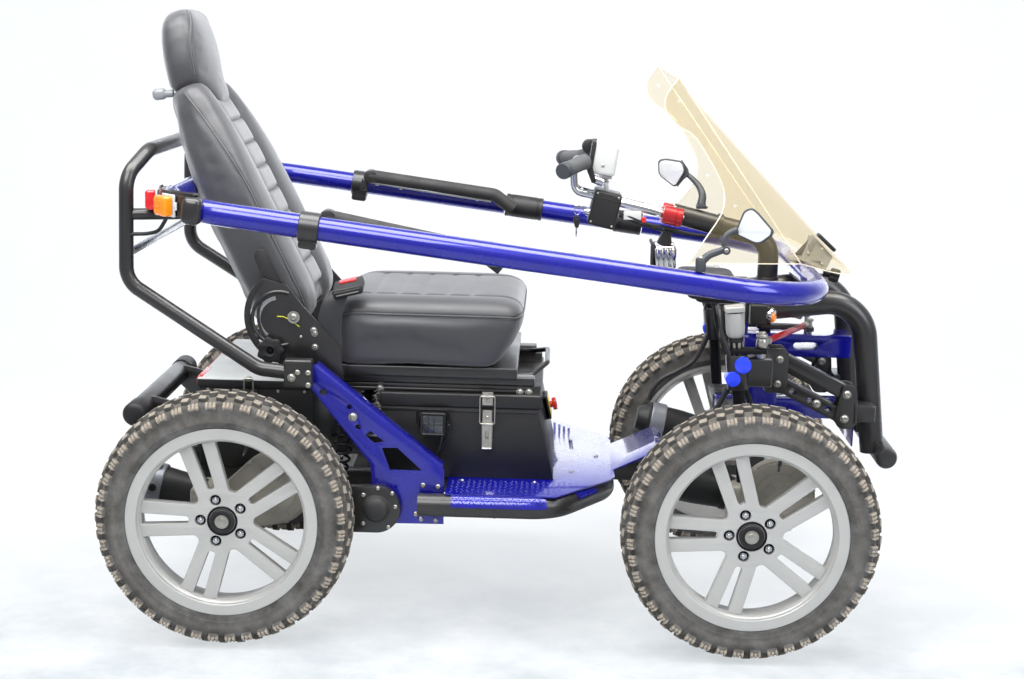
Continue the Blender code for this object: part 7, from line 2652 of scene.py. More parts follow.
    def build(self) -> None:
        """Dress the box and model its fittings."""
        carried_over("battery_box", STOVE_BLACK, "chassis", 0.0022)
        carried_over("battery_lid", STOVE_BLACK, "chassis", 0.0022)
        carried_over("battery_pack", NYLON_BLACK, "chassis", 0.0020)
        lips = []
        for s in BOTH:
            lips.append(block((-0.2860, s * 0.2252, 0.4885), (0.0690, s * 0.2285, 0.4950), 0.0012))
            lips.append(block((-0.3900, s * 0.1750, 0.5300), (0.0560, s * 0.2125, 0.5385), 0.0030, 3))
            lips.append(block((-0.3960, s * 0.1750, 0.5395), (0.0600, s * 0.2125, 0.5470), 0.0020, 2))
        fitted(painted(joined(*lips), POWDER_BLACK), "box_rails", "chassis")
        for side in Side:
            self.latch(side)
        self.work_lamp()
        self.isolator()
        low = [(x, s * 0.2130, 0.5345) for s in BOTH for x in (-0.290, 0.0275, 0.0480)]
        made = [bolts([p for p in low if p[1] * s > 0], (0, s, 0), 0.0065, 0.0085) for s in BOTH]
        spacers = [rod((x, s * 0.2005, 0.5300), (x, s * 0.2005, 0.5480), 0.0075, 20) for s in BOTH
                   for x in (-0.290, 0.030)]
        fitted(joined(*made, painted(joined(*spacers), ZINC)), "box_rail_bolts", "chassis")


# Chassis

@dataclass
class SidePlate:
    """A blue laser-cut side plate with its folded flange, pivot housing and bolts."""

    side: Side
    pivot: tuple[float, float] = (-0.2835, 0.288)

    def build(self) -> None:
        """Dress the plate and model the housing and bolts on it."""
        s, name = self.side.value, self.side.tag
        carried_over(f"side_plate_{name}", CANDY_BLUE, "chassis", 0.0012)
        x, z = self.pivot
        outline = arc(self.pivot, 0.0530, 90, -90, 30) + [(x - 0.052, z - 0.053), (x - 0.060, z - 0.046),
                                                          (x - 0.060, z + 0.046), (x - 0.052, z + 0.053)]
        cover = plate(eased(outline, 0.003, 3), 0.0040, s * 0.3478, [], 0.0012)
        fitted(painted(cover, POWDER_BLACK), f"pivot_cover_{name}", "chassis")
        profile = [(0.3490, 0.0), (0.3490, 0.0315), (0.3510, 0.0312), (0.3530, 0.0285), (0.3590, 0.0275),
                   (0.3650, 0.0240), (0.3690, 0.0170), (0.3710, 0.0080), (0.3714, 0.0)]
        dome = spun([(s * a, r) for a, r in profile], 48, (x, 0, z + 0.003))
        fitted(painted(dome, PAD_FOAM), f"pivot_dome_{name}", "chassis")
        cap = [(-0.2799, 0.3375), (-0.2479, 0.3270), (-0.2405, 0.2962), (-0.3120, 0.3214),
               (-0.2560, 0.2490), (-0.3120, 0.2560)]
        flat = [(-0.3387, 0.4932), (-0.1815, 0.3409), (-0.1482, 0.3383), (-0.1852, 0.2621),
                (-0.1524, 0.2607), (-0.1970, 0.2739)]
        made = [bolts([(a, s * 0.3497, b) for a, b in cap], (0, s, 0), 0.0050),
                bolts([(a, s * 0.3252, b) for a, b in flat[1:]], (0, s, 0), 0.0058),
                bolts([(flat[0][0], s * 0.3252, flat[0][1])], (0, s, 0), 0.0080, 0.0098)]
        fitted(joined(*made), f"side_plate_bolts_{name}", "chassis")


@dataclass
class Chassis:
    """The black chassis with its round floor tube, and the blue footplate with its embossed tread."""

    pitch: float = 0.0120
    tube_bend: float = 0.100
    tube_place: tuple[float, float] = (0.355, 0.305)
    tube_route: tuple[tuple[float, float, float], ...] = (
        (-0.190, 0.355, 0.305), (0.110, 0.355, 0.305), (0.225, 0.180, 0.305))

    def floor_tube(self) -> Thing:
        """Model the bent tube round the footplate, with its weld rings.

        Returns:
            The tube with its welds.
        """
        path = [(x, -y, z) for x, y, z in self.tube_route] + [tuple(p) for p in reversed(self.tube_route)]
        made = [tube(bent(path, self.tube_bend, 18), 0.0256, 8)]
        weld = [(-0.0030, 0.0250), (-0.0022, 0.0264), (0.0022, 0.0264), (0.0030, 0.0250)]
        y, z = self.tube_place
        made += [spun(weld, 48, (-0.020, s * y, z), "X") for s in BOTH]
        return painted(joined(*made), POWDER_BLACK)

    def frame_copy(self) -> None:
        """Dress the chassis, with the flanges cut away that the blue plates hide on the real machine."""
        made = solid_copy("chassis_frame")
        cutters = [block((-0.1990, s * 0.3253, 0.2560), (-0.1370, s * 0.3318, 0.3540), 0.0) for s in BOTH]
        carved(made, *cutters)
        painted(bevelled(made, 0.0010, 2, MACHINED_EDGES), POWDER_BLACK)
        fitted(made, "chassis_frame_dressed", "chassis", ["chassis_frame"])

    def lozenges(self) -> Thing:
        """Model the raised pattern that is pressed into the footplate's sides.

        Returns:
            The raised pattern.
        """
        places = []
        for i in range(30):
            for j in range(-30, 31):
                x, y = -0.118 + self.pitch * i, self.pitch * (j + (0.5 if i % 2 else 0.0))
                reach = 0.352 if x < 0.100 else 0.352 - (x - 0.100) * 1.45
                if 0.2440 < abs(y) < reach and x < 0.150:
                    turn = Matrix.Rotation(math.radians(45 if (i + j) % 2 else -45), 4, "Z")
                    places.append(Matrix.Translation((x, y, FOOTPLATE_TOP)) @ turn)
        for s, station, heading in [(s, n, a) for s in BOTH for n in range(17) for a in range(5)]:
            turn = Matrix.Rotation(math.radians(45 if (station + heading) % 2 else -45), 4, "Z")
            across = (self.pitch / 2 if heading % 2 else 0.0)
            angle = 84 - heading * 15
            lean = Matrix.Rotation(math.radians(-s * (90 - angle)), 4, "X")
            out = Vector((0, s * math.cos(math.radians(angle)), math.sin(math.radians(angle)))) * 0.0279
            y, z = self.tube_place
            middle = Vector((-0.112 + self.pitch * station + across, s * y, z))
            places.append(Matrix.Translation(middle + out) @ lean @ turn)
        outline = [(-0.0050, 0), (-0.0024, 0.0014), (0.0024, 0.0014), (0.0050, 0), (0.0024, -0.0014),
                   (-0.0024, -0.0014)]
        points = [(x, y, -0.0002) for x, y in outline] + [(x * 0.6, y * 0.45, 0.0009) for x, y in outline]
        faces = [(i, (i + 1) % 6, 6 + (i + 1) % 6, 6 + i) for i in range(6)]
        faces += [tuple(range(6, 12)), tuple(range(5, -1, -1))]
        return painted(strung(meshed(points, faces), places), CANDY_BLUE, 20.0)

    def skirt(self, side: Side, start: float, end: float, low: float) -> Thing:
        """Model a flange of the footplate, folded down over the floor tube.

        Args:
            side: The machine's side.
            start: Where it starts, as a length along the tube.
            end: Where it ends.
            low: The angle that its lower edge reaches down to on the tube.

        Returns:
            The flange.
        """
        s = side.value
        bends = bent([(x, s * y, z) for x, y, z in self.tube_route], self.tube_bend, 18)
        route = [spot for spot, _ in stepped(bends, 0.004)]
        reach, rings = 0.0, []
        for i in range(1, len(route) - 1):
            reach += (route[i] - route[i - 1]).length
            if start <= reach <= end:
                run = (route[i + 1] - route[i - 1]).normalized()
                out = run.cross(Vector((0, 0, 1))) * (-s)
                angles = [math.radians(92 + (low - 92) * k / 10) for k in range(11)]
                around = [[route[i] + (out * math.cos(a) + Vector((0, 0, 1)) * math.sin(a)) * r
                           for a in angles] for r in (0.0279, 0.0262)]
                rings.append(around[0] + list(reversed(around[1])))
        return lofted(rings)

    def build(self) -> None:
        """Dress the chassis and the footplate, and model the tube and the small parts."""
        skirts = [self.skirt(side, *span) for side in Side
                  for span in ((0.070, 0.279, 6.0), (0.352, 0.432, 22.0))]
        fitted(painted(joined(*skirts), CANDY_BLUE), "footplate_flanges", "chassis")
        self.frame_copy()
        fitted(self.floor_tube(), "floor_tube", "chassis")
        carried_over("footplate", CANDY_BLUE, "chassis", 0.0006)
        fitted(self.lozenges(), "footplate_tread", "chassis")
        spots = [(-0.098, -0.250, FOOTPLATE_TOP), (0.066, -0.250, FOOTPLATE_TOP),
                 (-0.098, 0.250, FOOTPLATE_TOP), (0.066, 0.250, FOOTPLATE_TOP),
                 (0.150, -0.150, FOOTPLATE_TOP), (0.150, 0.150, FOOTPLATE_TOP), (0.210, 0.0, FOOTPLATE_TOP)]
        fitted(bolts(spots, (0, 0, 1), 0.0050), "footplate_screws", "chassis")


# Wheel drives

@dataclass
class Drive:
    """A wheel drive: cast gear case, hub flange and the motor that runs back and up from it."""

    end: End
    side: Side
    motor_tilt: float = 12.0
    cover_bolts: int = 9

    @property
    def body(self) -> str:
        """Give the body that carries the drive."""
        return f"knuckle_{self.side.tag}" if self.end is End.FRONT else f"rear_suspension_{self.side.tag}"

    @property
    def tag(self) -> str:
        """Give the ending of the drive's pieces."""
        return f"{self.end.tag}_{self.side.tag}"

    def case(self) -> tuple[Thing, Thing]:
        """Model the gear case with its cover, rim, hub flange and cover bolts.

        Returns:
            The case with its cover, and the bolts.
        """
        s, hub = self.side.value, (self.end.value, AXLE_HEIGHT)
        shift = (0.066, 0.062) if self.end is End.FRONT else (0.096, 0.046)
        big = (hub[0] + shift[0], hub[1] + shift[1])
        inner = 0.3215 if self.end is End.FRONT else 0.3160
        outline = hull_of_circles(big, 0.082, hub, 0.050, 30)
        made = [plate(outline, 0.3500 - inner, s * (0.3500 + inner) / 2, [], 0.0045),
                plate(hull_of_circles(big, 0.076, hub, 0.044, 30), 0.0060, s * 0.3520, [], 0.0022),
                plate(circle(big, 0.052, 40), 0.0040, s * 0.3560, [circle(big, 0.034, 36)], 0.0015)]
        made += [bar((big[0] + 0.020 * math.cos(a), s * 0.3550, big[1] + 0.020 * math.sin(a)),
                     (big[0] + 0.070 * math.cos(a), s * 0.3550, big[1] + 0.070 * math.sin(a)), 0.0045,
                     0.0050, 0.0012) for a in np.linspace(0, math.tau, 7)[:-1]]
        made.append(rod((hub[0], s * 0.350, hub[1]), (hub[0], s * 0.4200, hub[1]), 0.030, 40, bevel=0.002))
        made.append(spun([(s * 0.3540, 0.0), (s * 0.3540, 0.0440), (s * 0.3580, 0.0430),
                          (s * 0.3640, 0.0340), (s * 0.3700, 0.0320), (s * 0.3700, 0.0)], 48,
                         (hub[0], 0, hub[1])))
        rim = []
        for i in range(self.cover_bolts):
            angle = math.tau * (i + 0.3) / self.cover_bolts
            rim.append((big[0] + 0.0785 * math.cos(angle), s * 0.3500, big[1] + 0.0785 * math.sin(angle)))
        return painted(joined(*made), CASE_ALLOY, MACHINED_EDGES), bolts(rim, (0, s, 0), 0.0045)

    def knee(self) -> Thing:
        """Model the cast block between the case and the motor.

        Returns:
            The block.
        """
        s, x = self.side.value, self.end.value
        if self.end is End.FRONT:
            spans = [((x - 0.045, 0.232, 0.273), (x + 0.050, 0.343, 0.363))]
        else:
            spans = [((x - 0.096, 0.236, 0.247), (x - 0.0376, 0.339, 0.323)),
                     ((x - 0.086, 0.317, 0.253), (x + 0.004, 0.351, 0.315))]
        made = []
        for low, high in spans:
            made.append(block((low[0], s * low[1], low[2]), (high[0], s * high[1], high[2]), 0.012, 4))
        return painted(joined(*made), CASE_ALLOY, MACHINED_EDGES)

    def motor(self) -> list[tuple[Thing, str]]:
        """Model the motor: tapered can, silver band with two plugs, and a faceted cap.

        Returns:
            Each piece with the end of its name.
        """
        s, x = self.side.value, self.end.value
        root = (x - 0.020, 0.327) if self.end is End.FRONT else (x - 0.066, 0.287)
        start = Vector((root[0], s * 0.272, root[1]))
        tilt = math.radians(self.motor_tilt)
        back = Vector((-math.cos(tilt), 0, math.sin(tilt)))
        place = facing(start, back)
        cut = 0.0 if self.end is End.FRONT else 0.032
        can = spun([(0.0, 0.0), (0.0, 0.034), (0.012, 0.037), (0.060, 0.041), (0.096, 0.0435),
                    (0.136 - cut, 0.0440), (0.136 - cut, 0.0)], 48, axis="Z")
        collar = spun([(0.018, 0.0360), (0.018, 0.0400), (0.022, 0.0410), (0.030, 0.0410), (0.033, 0.0395),
                       (0.033, 0.0360)], 48, axis="Z")
        profile = ((0.134, 0.040), (0.134, 0.0475), (0.1365, 0.0490), (0.1685, 0.0490), (0.1710, 0.0475),
                   (0.1710, 0.040))
        band = spun([(a - cut, r) for a, r in profile], 56, axis="Z")
        cap = rod((0, 0, 0.1700 - cut), (0, 0, 0.2050 - cut), 0.0455, 12, 0.0310, 0.0020)
        profile = ((0.1700, 0.0400), (0.1700, 0.0462), (0.1760, 0.0462), (0.1780, 0.0440), (0.1780, 0.0400))
        ring = spun([(a - cut, r) for a, r in profile], 48, axis="Z")
        dark = painted(placed(joined(can, collar, cap, ring), place), NYLON_BLACK, 28.0)
        plugs, rims = [], []
        for angle in ((-62.0, -128.0) if self.end is End.FRONT else (-84.0, -20.0)):
            turn = Matrix.Rotation(math.radians(angle if s < 0 else -angle), 4, "Z")
            turn = turn @ Matrix.Translation((0.0486, 0, 0.1525 - cut))
            lay = place @ turn @ Matrix.Rotation(math.radians(90), 4, "Y")
            plugs.append(placed(spun([(0.0, 0.0), (0.0, 0.0088), (0.0022, 0.0088), (0.0030, 0.0078),
                                      (0.0030, 0.0044), (0.0012, 0.0040), (0.0012, 0.0)], 24, axis="Z"),
                                lay))
            rims.append(placed(spun([(-0.0030, 0.0096), (-0.0030, 0.0118), (0.0006, 0.0118),
                                     (0.0014, 0.0108), (0.0014, 0.0096)], 24, axis="Z"), lay))
        silver = painted(placed(band, place), BAND_GREY, TURNED_EDGES)
        silver = painted(joined(silver, *rims), BAND_GREY, TURNED_EDGES)
        return [(dark, "motor_can"), (silver, "motor_band"),
                (painted(joined(*plugs), NYLON_BLACK), "motor_plugs")]

    def build(self) -> None:
        """Model the drive and ride it on its body."""
        case, screws = self.case()
        fitted(joined(case, self.knee()), f"gear_case_{self.tag}", self.body,
               [f"drive_{self.tag}"])
        fitted(screws, f"case_bolts_{self.tag}", self.body)
        for made, name in self.motor():
            fitted(made, f"{name}_{self.tag}", self.body)


# Suspension

@dataclass
class Kingpin:
    """The steered upright: pin, silver cup, steering arm with its ball joint, and nuts."""

    side: Side
    arm: float = 0.055
    y: float = 0.300
    head: tuple[float, float] = (0.4975, 0.720)
    rake: tuple[float, float] = (0.0405, 0.437)

    def spot(self, z: float) -> Vector:
        """Give the point of the raked pin at a height."""
        (x, top), (back, drop) = self.head, self.rake
        return Vector((x + back * (top - z) / drop, self.side.value * self.y, z))

    def build(self) -> None:
        """Model the upright and ride it on the knuckle."""
        body, tag = f"knuckle_{self.side.tag}", self.side.tag
        up = (self.spot(0.75) - self.spot(0.35)).normalized()
        pin = rod(self.spot(0.343), self.spot(0.700), 0.0138, 32)
        fitted(painted(pin, BLACK_STEEL), f"kingpin_{tag}", body)
        cup = spun([(-0.034, 0.0), (-0.034, 0.0080), (-0.0330, 0.0125), (-0.0290, 0.0172),
                    (-0.0220, 0.0200), (-0.0100, 0.0210), (0.0220, 0.0210), (0.0245, 0.0200),
                    (0.0245, 0.0)], 48, axis="Z")
        lid = spun([(0.0235, 0.0), (0.0235, 0.0205), (0.0262, 0.0205), (0.0262, 0.0)], 48, axis="Z")
        cap = block((-0.0215, -0.0215, 0.0255), (0.0215, 0.0215, 0.0385), 0.0030, 3)
        seal = spun([(-0.0405, 0.0), (-0.0405, 0.0165), (-0.0330, 0.0170), (-0.0325, 0.0)], 40, axis="Z")
        place = facing(self.spot(0.722), up)
        fitted(painted(placed(joined(cup, cap), place), WHEEL_SILVER, MACHINED_EDGES), f"kingpin_cup_{tag}",
               body)
        fitted(painted(placed(joined(lid, seal), place), NYLON_BLACK), f"kingpin_seal_{tag}", body)
        foot, ball = self.spot(0.661), self.spot(0.661) + Vector((self.arm, 0, 0))
        level = floor_plate(hull_of_circles((foot.x, foot.y), 0.0225, (ball.x, ball.y), 0.0135, 20), 0.6555,
                            0.6665, [], 0.0018)
        fitted(painted(level, BLACK_STEEL), f"steering_arm_{tag}", body)
        nuts = [rod(self.spot(0.6545), self.spot(0.6400), 0.0150, 6, bevel=0.0012),
                rod(self.spot(0.6400), self.spot(0.6310), 0.0110, 24),
                rod(self.spot(0.6310), self.spot(0.6150), 0.0070, 20),
                rod(self.spot(0.6665), self.spot(0.6800), 0.0155, 6, bevel=0.0012)]
        nuts += [rod(ball - Vector((0, 0, 0.0055)), ball - Vector((0, 0, 0.0160)), 0.0105, 6, bevel=0.0010),
                 rod(ball - Vector((0, 0, 0.0160)), ball - Vector((0, 0, 0.0230)), 0.0058, 16),
                 rod(ball + Vector((0, 0, 0.0300)), ball + Vector((0, 0, 0.0375)), 0.0125, 28, bevel=0.0020),
                 rod(ball + Vector((0, 0, 0.0375)), ball + Vector((0, 0, 0.0430)), 0.0095, 6, bevel=0.0010)]
        fitted(painted(joined(*nuts), ZINC, TURNED_EDGES), f"kingpin_nuts_{tag}", body)


@dataclass
class TieRod:
    """A red tie rod with its ball joint, lock nut and threaded ends."""

    side: Side

    def build(self) -> None:
        """Model the rod and ride it on its body."""
        s, tag, body = self.side.value, self.side.tag, f"track_rod_{self.side.tag}"
        outer, stud = Vector((0.558, s * 0.300, 0.679)), Vector((0.702, s * 0.030, 0.679))
        run = (stud - outer).normalized()
        inner = stud - run * 0.024
        joint = spun([(-0.0100, 0.0070), (-0.0100, 0.0105), (-0.0050, 0.0128), (0.0050, 0.0128),
                      (0.0100, 0.0105), (0.0100, 0.0070)], 32, axis="Z")
        placed(joint, Matrix.Translation(outer))
        neck = rod(outer + run * 0.011, outer + run * 0.024, 0.0085, 20)
        fitted(painted(joined(joint, neck), ZINC, TURNED_EDGES), f"tie_rod_joint_{tag}", body,
               [f"tie_rod_{tag}"])
        shaft = rod(outer + run * 0.020, inner, 0.0048, 20)
        nut = rod(outer + run * 0.026, outer + run * 0.036, 0.0105, 6, bevel=0.0010)
        ferrule = rod(outer + run * 0.036, outer + run * 0.041, 0.0088, 24)
        eye = rod(inner - run * 0.022, inner, 0.0066, 24)
        fitted(painted(joined(shaft, nut, ferrule, eye), ZINC, TURNED_EDGES), f"tie_rod_ends_{tag}", body)
        tube_red = rod(outer + run * 0.041, inner - run * 0.028, 0.0080, 6, bevel=0.0008)
        fitted(painted(tube_red, RED_ANODISED, 25.0), f"tie_rod_tube_{tag}", body)


@dataclass
class FrontSuspension:
    """The links, carriers and their bolts at one side of the front."""

    side: Side
    y: float = 0.190

    def build(self) -> None:
        """Dress the links and the carrier, and model the bolts and discs."""
        s, tag = self.side.value, self.side.tag
        carried_over(f"lower_link_{tag}", POWDER_BLACK, f"lower_arm_{tag}", 0.0014)
        carried_over(f"upper_link_{tag}", POWDER_BLACK, f"upper_arm_{tag}", 0.0014)
        carried_over(f"front_carrier_{tag}", POWDER_BLACK, f"carrier_{tag}", 0.0016)
        face = s * (self.y + 0.0275)
        at_carrier = [(0.6105, face, 0.627), (0.6075, face, 0.571)]
        inner = [(x, s * (self.y - 0.0275), z) for x, _, z in at_carrier]
        made = joined(bolts(at_carrier, (0, s, 0), 0.0078, 0.0088), bolts(inner, (0, -s, 0), 0.0078, 0.0088))
        fitted(made, f"carrier_bolts_{tag}", f"carrier_{tag}")
        ends = [Vector((x, s * (self.y + 0.0206), z)) for x, z in ((0.7625, 0.494), (0.6075, 0.571))]
        place = ends[0].lerp(ends[1], 0.41)
        fitted(bolts([place], (0, s, 0), 0.0085, 0.0100), f"link_bolt_{tag}", f"lower_arm_{tag}")
        discs = [rod((0.5160, s * 0.290, 0.6330), (0.5160, s * 0.3330, 0.6330), 0.0180, 40, bevel=0.0016),
                 rod((0.4960, s * 0.290, 0.6010), (0.4960, s * 0.3290, 0.6010), 0.0165, 40, bevel=0.0016)]
        fitted(painted(joined(*discs), CAP_BLUE), f"carrier_discs_{tag}", f"carrier_{tag}")
        loom = [smooth_route([(0.500, s * 0.292, 0.612), (0.492, s * 0.290, 0.580),
                              (0.462, s * 0.285, 0.520), (0.418, s * 0.280, 0.490),
                              (0.380, s * 0.276, 0.470), (0.356, s * 0.274, 0.440),
                              (0.350, s * 0.272, 0.416)], 8),
                smooth_route([(0.508, s * 0.270, 0.640), (0.522, s * 0.262, 0.590),
                              (0.545, s * 0.255, 0.530), (0.552, s * 0.250, 0.480),
                              (0.548, s * 0.250, 0.440), (0.540, s * 0.255, 0.380),
                              (0.530, s * 0.262, 0.364)], 8)]
        made = joined(tube(loom[0], 0.0062, 4), tube(loom[1], 0.0068, 4))
        fitted(painted(made, CABLE_PVC), f"motor_loom_{tag}", f"knuckle_{tag}")
        drop = smooth_route([(0.462, s * 0.262, 0.752), (0.466, s * 0.285, 0.735),
                             (0.470, s * 0.300, 0.700), (0.480, s * 0.312, 0.670),
                             (0.492, s * 0.312, 0.640), (0.502, s * 0.305, 0.612)], 8)
        coil = smooth_route([(0.472, s * 0.262, 0.752), (0.476, s * 0.270, 0.725),
                             (0.486, s * 0.268, 0.700), (0.500, s * 0.262, 0.670),
                             (0.508, s * 0.262, 0.640)], 8)
        made = joined(tube(drop, 0.0058, 4), tube(coil, 0.0046, 4))
        fitted(painted(made, CABLE_PVC), f"knuckle_loom_{tag}", f"knuckle_{tag}")


@dataclass
class RearSuspension:
    """The rear arm with its coil-over shock at one side."""

    side: Side
    top: tuple[float, float] = (-0.352, 0.500)
    foot: tuple[float, float] = (-0.385, 0.315)
    y: float = 0.262
    coil_radius: float = 0.0190
    coil_ends: tuple[float, float] = (0.0325, 0.1535)
    coils: float = 6.4

    @property
    def place(self) -> Matrix:
        """Give the shock's place: its own +Z looks from its top down to its foot.

        Returns:
            The place.
        """
        y = self.side.value * self.y
        top, foot = (Vector((x, y, z)) for x, z in (self.top, self.foot))
        return facing(top, foot - top)

    def spring(self) -> Thing:
        """Model the coil spring, whose turns lie a little closer at its ends.

        Returns:
            The spring.
        """
        mean, low, high, steps = self.coil_radius, *self.coil_ends, 220
        path = []
        for i in range(steps + 1):
            t = i / steps
            angle = math.tau * self.coils * t
            rise = low + (high - low) * ((0.5 - 0.5 * math.cos(math.pi * t)) * 0.25 + t * 0.75)
            path.append(Vector((mean * math.cos(angle), mean * math.sin(angle), rise)))
        return painted(placed(tube(path, 0.0036, 5), self.place), BLACK_STEEL)

    def build(self) -> None:
        """Dress the arm and model the shock."""
        s, tag = self.side.value, self.side.tag
        carried_over(f"rear_arm_{tag}", POWDER_BLACK, f"rear_suspension_{tag}", 0.0020)
        eye = rod((self.top[0], s * (self.y - 0.010), self.top[1]),
                  (self.top[0], s * (self.y + 0.010), self.top[1]), 0.0130, 32)
        can = spun([(0.010, 0.0), (0.010, 0.0115), (0.016, 0.0130), (0.102, 0.0130), (0.1045, 0.0118),
                    (0.105, 0.0)], 40, axis="Z")
        collar = spun([(0.0200, 0.0), (0.0200, 0.0235), (0.0215, 0.0255), (0.0270, 0.0255),
                       (0.0285, 0.0235), (0.0285, 0.0)], 40, axis="Z")
        fitted(painted(joined(eye, placed(joined(can, collar), self.place)), NYLON_BLACK),
               f"shock_can_{tag}", f"shock_upper_{tag}", [f"shock_body_{tag}"])
        fitted(self.spring(), f"coil_spring_{tag}", f"shock_upper_{tag}",
               [f"rear_spring_{tag}"])
        stem = spun([(0.076, 0.0), (0.076, 0.0058), (0.176, 0.0058), (0.176, 0.0)], 28, axis="Z")
        seat = spun([(0.1580, 0.0), (0.1580, 0.0245), (0.1595, 0.0255), (0.1650, 0.0255), (0.1665, 0.0240),
                     (0.1690, 0.0110), (0.1690, 0.0)], 40, axis="Z")
        low_eye = rod((self.foot[0], s * (self.y - 0.010), self.foot[1]),
                      (self.foot[0], s * (self.y + 0.010), self.foot[1]), 0.0130, 32)
        fitted(painted(placed(stem, self.place), CHROME), f"shock_stem_{tag}", f"shock_lower_{tag}",
               [f"shock_rod_{tag}"])
        fitted(painted(joined(placed(seat, self.place), low_eye), BLACK_STEEL), f"shock_foot_{tag}",
               f"shock_lower_{tag}")
        fitted(bolts([(self.foot[0], s * (self.y + 0.0120), self.foot[1])], (0, s, 0), 0.0070),
               f"shock_foot_bolt_{tag}", f"shock_lower_{tag}")


# Nose

@dataclass
class FrontBumper:
    """The thick black bumper: bent legs, tie plate and bottom bar, with the cheeks that hold the links."""

    half: float = 0.140
    radius: float = 0.0275
    bend: float = 0.088

    def build(self) -> None:
        """Model the bumper and its bolts."""
        made = []
        for side in Side:
            s, y = side.value, side.value * self.half
            made.append(tube(bent([(0.5460, y, 0.726), (0.802, y, 0.757), (0.843, y, 0.402)], self.bend,
                                  20), self.radius, 8))
            cheek = eased([(0.7575, 0.574), (0.7875, 0.568), (0.7935, 0.494), (0.7845, 0.470),
                           (0.7505, 0.470), (0.7385, 0.490)], 0.012)
            made += [plate(cheek, 0.0060, s * 0.190 + t * 0.0240, [], 0.0012) for t in BOTH]
            made.append(block((0.7840, s * 0.160, 0.482), (0.7910, s * 0.220, 0.530), 0.0020))
            made.append(block((0.7900, s * 0.124, 0.486), (0.8320, s * 0.216, 0.524), 0.0030))
        made.append(block((0.5330, -0.166, 0.700), (0.5456, 0.166, 0.756), 0.0030, 3))
        made.append(block((0.8024, -0.140, 0.444), (0.8350, 0.140, 0.504), 0.0040, 3))
        caps = spun([(-0.214, 0.0), (-0.214, 0.016), (-0.2115, 0.0220), (-0.205, 0.0250), (0.205, 0.0250),
                     (0.2115, 0.0220), (0.214, 0.016), (0.214, 0.0)], 48, (0.865, 0, 0.402))
        made.append(caps)
        fitted(painted(joined(*made), POWDER_BLACK), "front_bumper_tubes", "chassis",
               ["front_bumper"])
        screws = []
        for side in Side:
            s = side.value
            screws.append(bolts([(0.7655, s * 0.2170, 0.5500), (0.7625, s * 0.2170, 0.4940)], (0, s, 0),
                                0.0085, 0.0098))
            screws.append(bolts([(0.7655, s * 0.1630, 0.5500), (0.7625, s * 0.1630, 0.4940)], (0, -s, 0),
                                0.0085, 0.0098))
        fitted(joined(*screws), "front_link_bolts", "chassis")
        panel = block((0.7960, -0.132, 0.408), (0.8000, 0.132, 0.512), 0.0020)
        fitted(painted(panel, CANDY_BLUE), "nose_panel", "chassis")


@dataclass
class NoseFrame:
    """The blue nose frame with the pan, the indicators and the small parts round it."""

    def indicator(self, side: Side) -> None:
        """Model a small indicator: black box with an amber lens.

        Args:
            side: The side that it is on.
        """
        s, tag = side.value, side.tag
        box = block((0.5400, s * 0.176, 0.7020), (0.5780, s * 0.214, 0.7490), 0.0040, 3)
        hood = block((0.5760, s * 0.176, 0.7080), (0.5850, s * 0.214, 0.7440), 0.0030, 3)
        fitted(painted(joined(box, hood), NYLON_BLACK), f"indicator_box_{tag}", "chassis")
        mouth = spun([(0.0, 0.0), (0.0, 0.0150), (0.0100, 0.0160), (0.0130, 0.0140), (0.0105, 0.0120),
                      (0.0060, 0.0)], 32, axis="Z")
        placed(mouth, facing((0.5820, s * 0.200, 0.7260), (0.9, s * 0.5, 0)))
        fitted(painted(mouth, CHROME), f"indicator_mouth_{tag}", "chassis")
        lens = spun([(0.0050, 0.0), (0.0050, 0.0115), (0.0120, 0.0110), (0.0165, 0.0075), (0.0180, 0.0)],
                    32, axis="Z")
        placed(lens, facing((0.5820, s * 0.200, 0.7200), (0.9, s * 0.5, 0)))
        fitted(painted(lens, LENS_AMBER), f"indicator_lens_{tag}", "chassis")

    def build(self) -> None:
        """Dress the frame and model what hangs on it."""
        carried_over("nose_frame", CANDY_BLUE, "chassis", 0.0026)
        shape = eased([(0.400, -0.215), (0.5320, -0.200), (0.5320, 0.200), (0.400, 0.215)], 0.040, 8)
        tray = floor_plate(shape, 0.7560, 0.7720, [], 0.0070)
        under = floor_plate(eased([(0.420, -0.196), (0.5320, -0.184), (0.5320, 0.184), (0.420, 0.196)],
                                  0.036, 8), 0.7460, 0.7570, [], 0.0050)
        fitted(painted(joined(tray, under), NYLON_BLACK), "nose_pan", "chassis")
        for side in Side:
            self.indicator(side)
        ends = []
        for side in Side:
            s = side.value
            tube_end = block((0.4870, s * 0.0240, 0.4630), (0.5670, s * 0.1400, 0.4910), 0.0025)
            hollow = block((0.4905, s * 0.1200, 0.4665), (0.5635, s * 0.150, 0.4875), 0.0)
            ends.append(carved(tube_end, hollow))
        fitted(painted(joined(*ends), POWDER_BLACK), "nose_cross_tube", "chassis")


# Steering

def tapered(path: Sequence[Spot], radii: Sequence[float], sides: int = 20) -> Thing:
    """Make a round bar along a route, whose radius changes from point to point.

    Args:
        path: The route's points.
        radii: The radius at each point.
        sides: How many sides it has.

    Returns:
        The bar.
    """
    route = [Vector(p) for p in path]
    rings, side = [], None
    for i, spot in enumerate(route):
        run = (route[min(i + 1, len(route) - 1)] - route[max(i - 1, 0)]).normalized()
        side = (run.orthogonal() if side is None else side - run * side.dot(run)).normalized()
        up = run.cross(side)
        rings.append([spot + (side * math.cos(math.tau * k / sides) + up * math.sin(math.tau * k / sides))
                      * radii[i] for k in range(sides)])
    return lofted(rings)


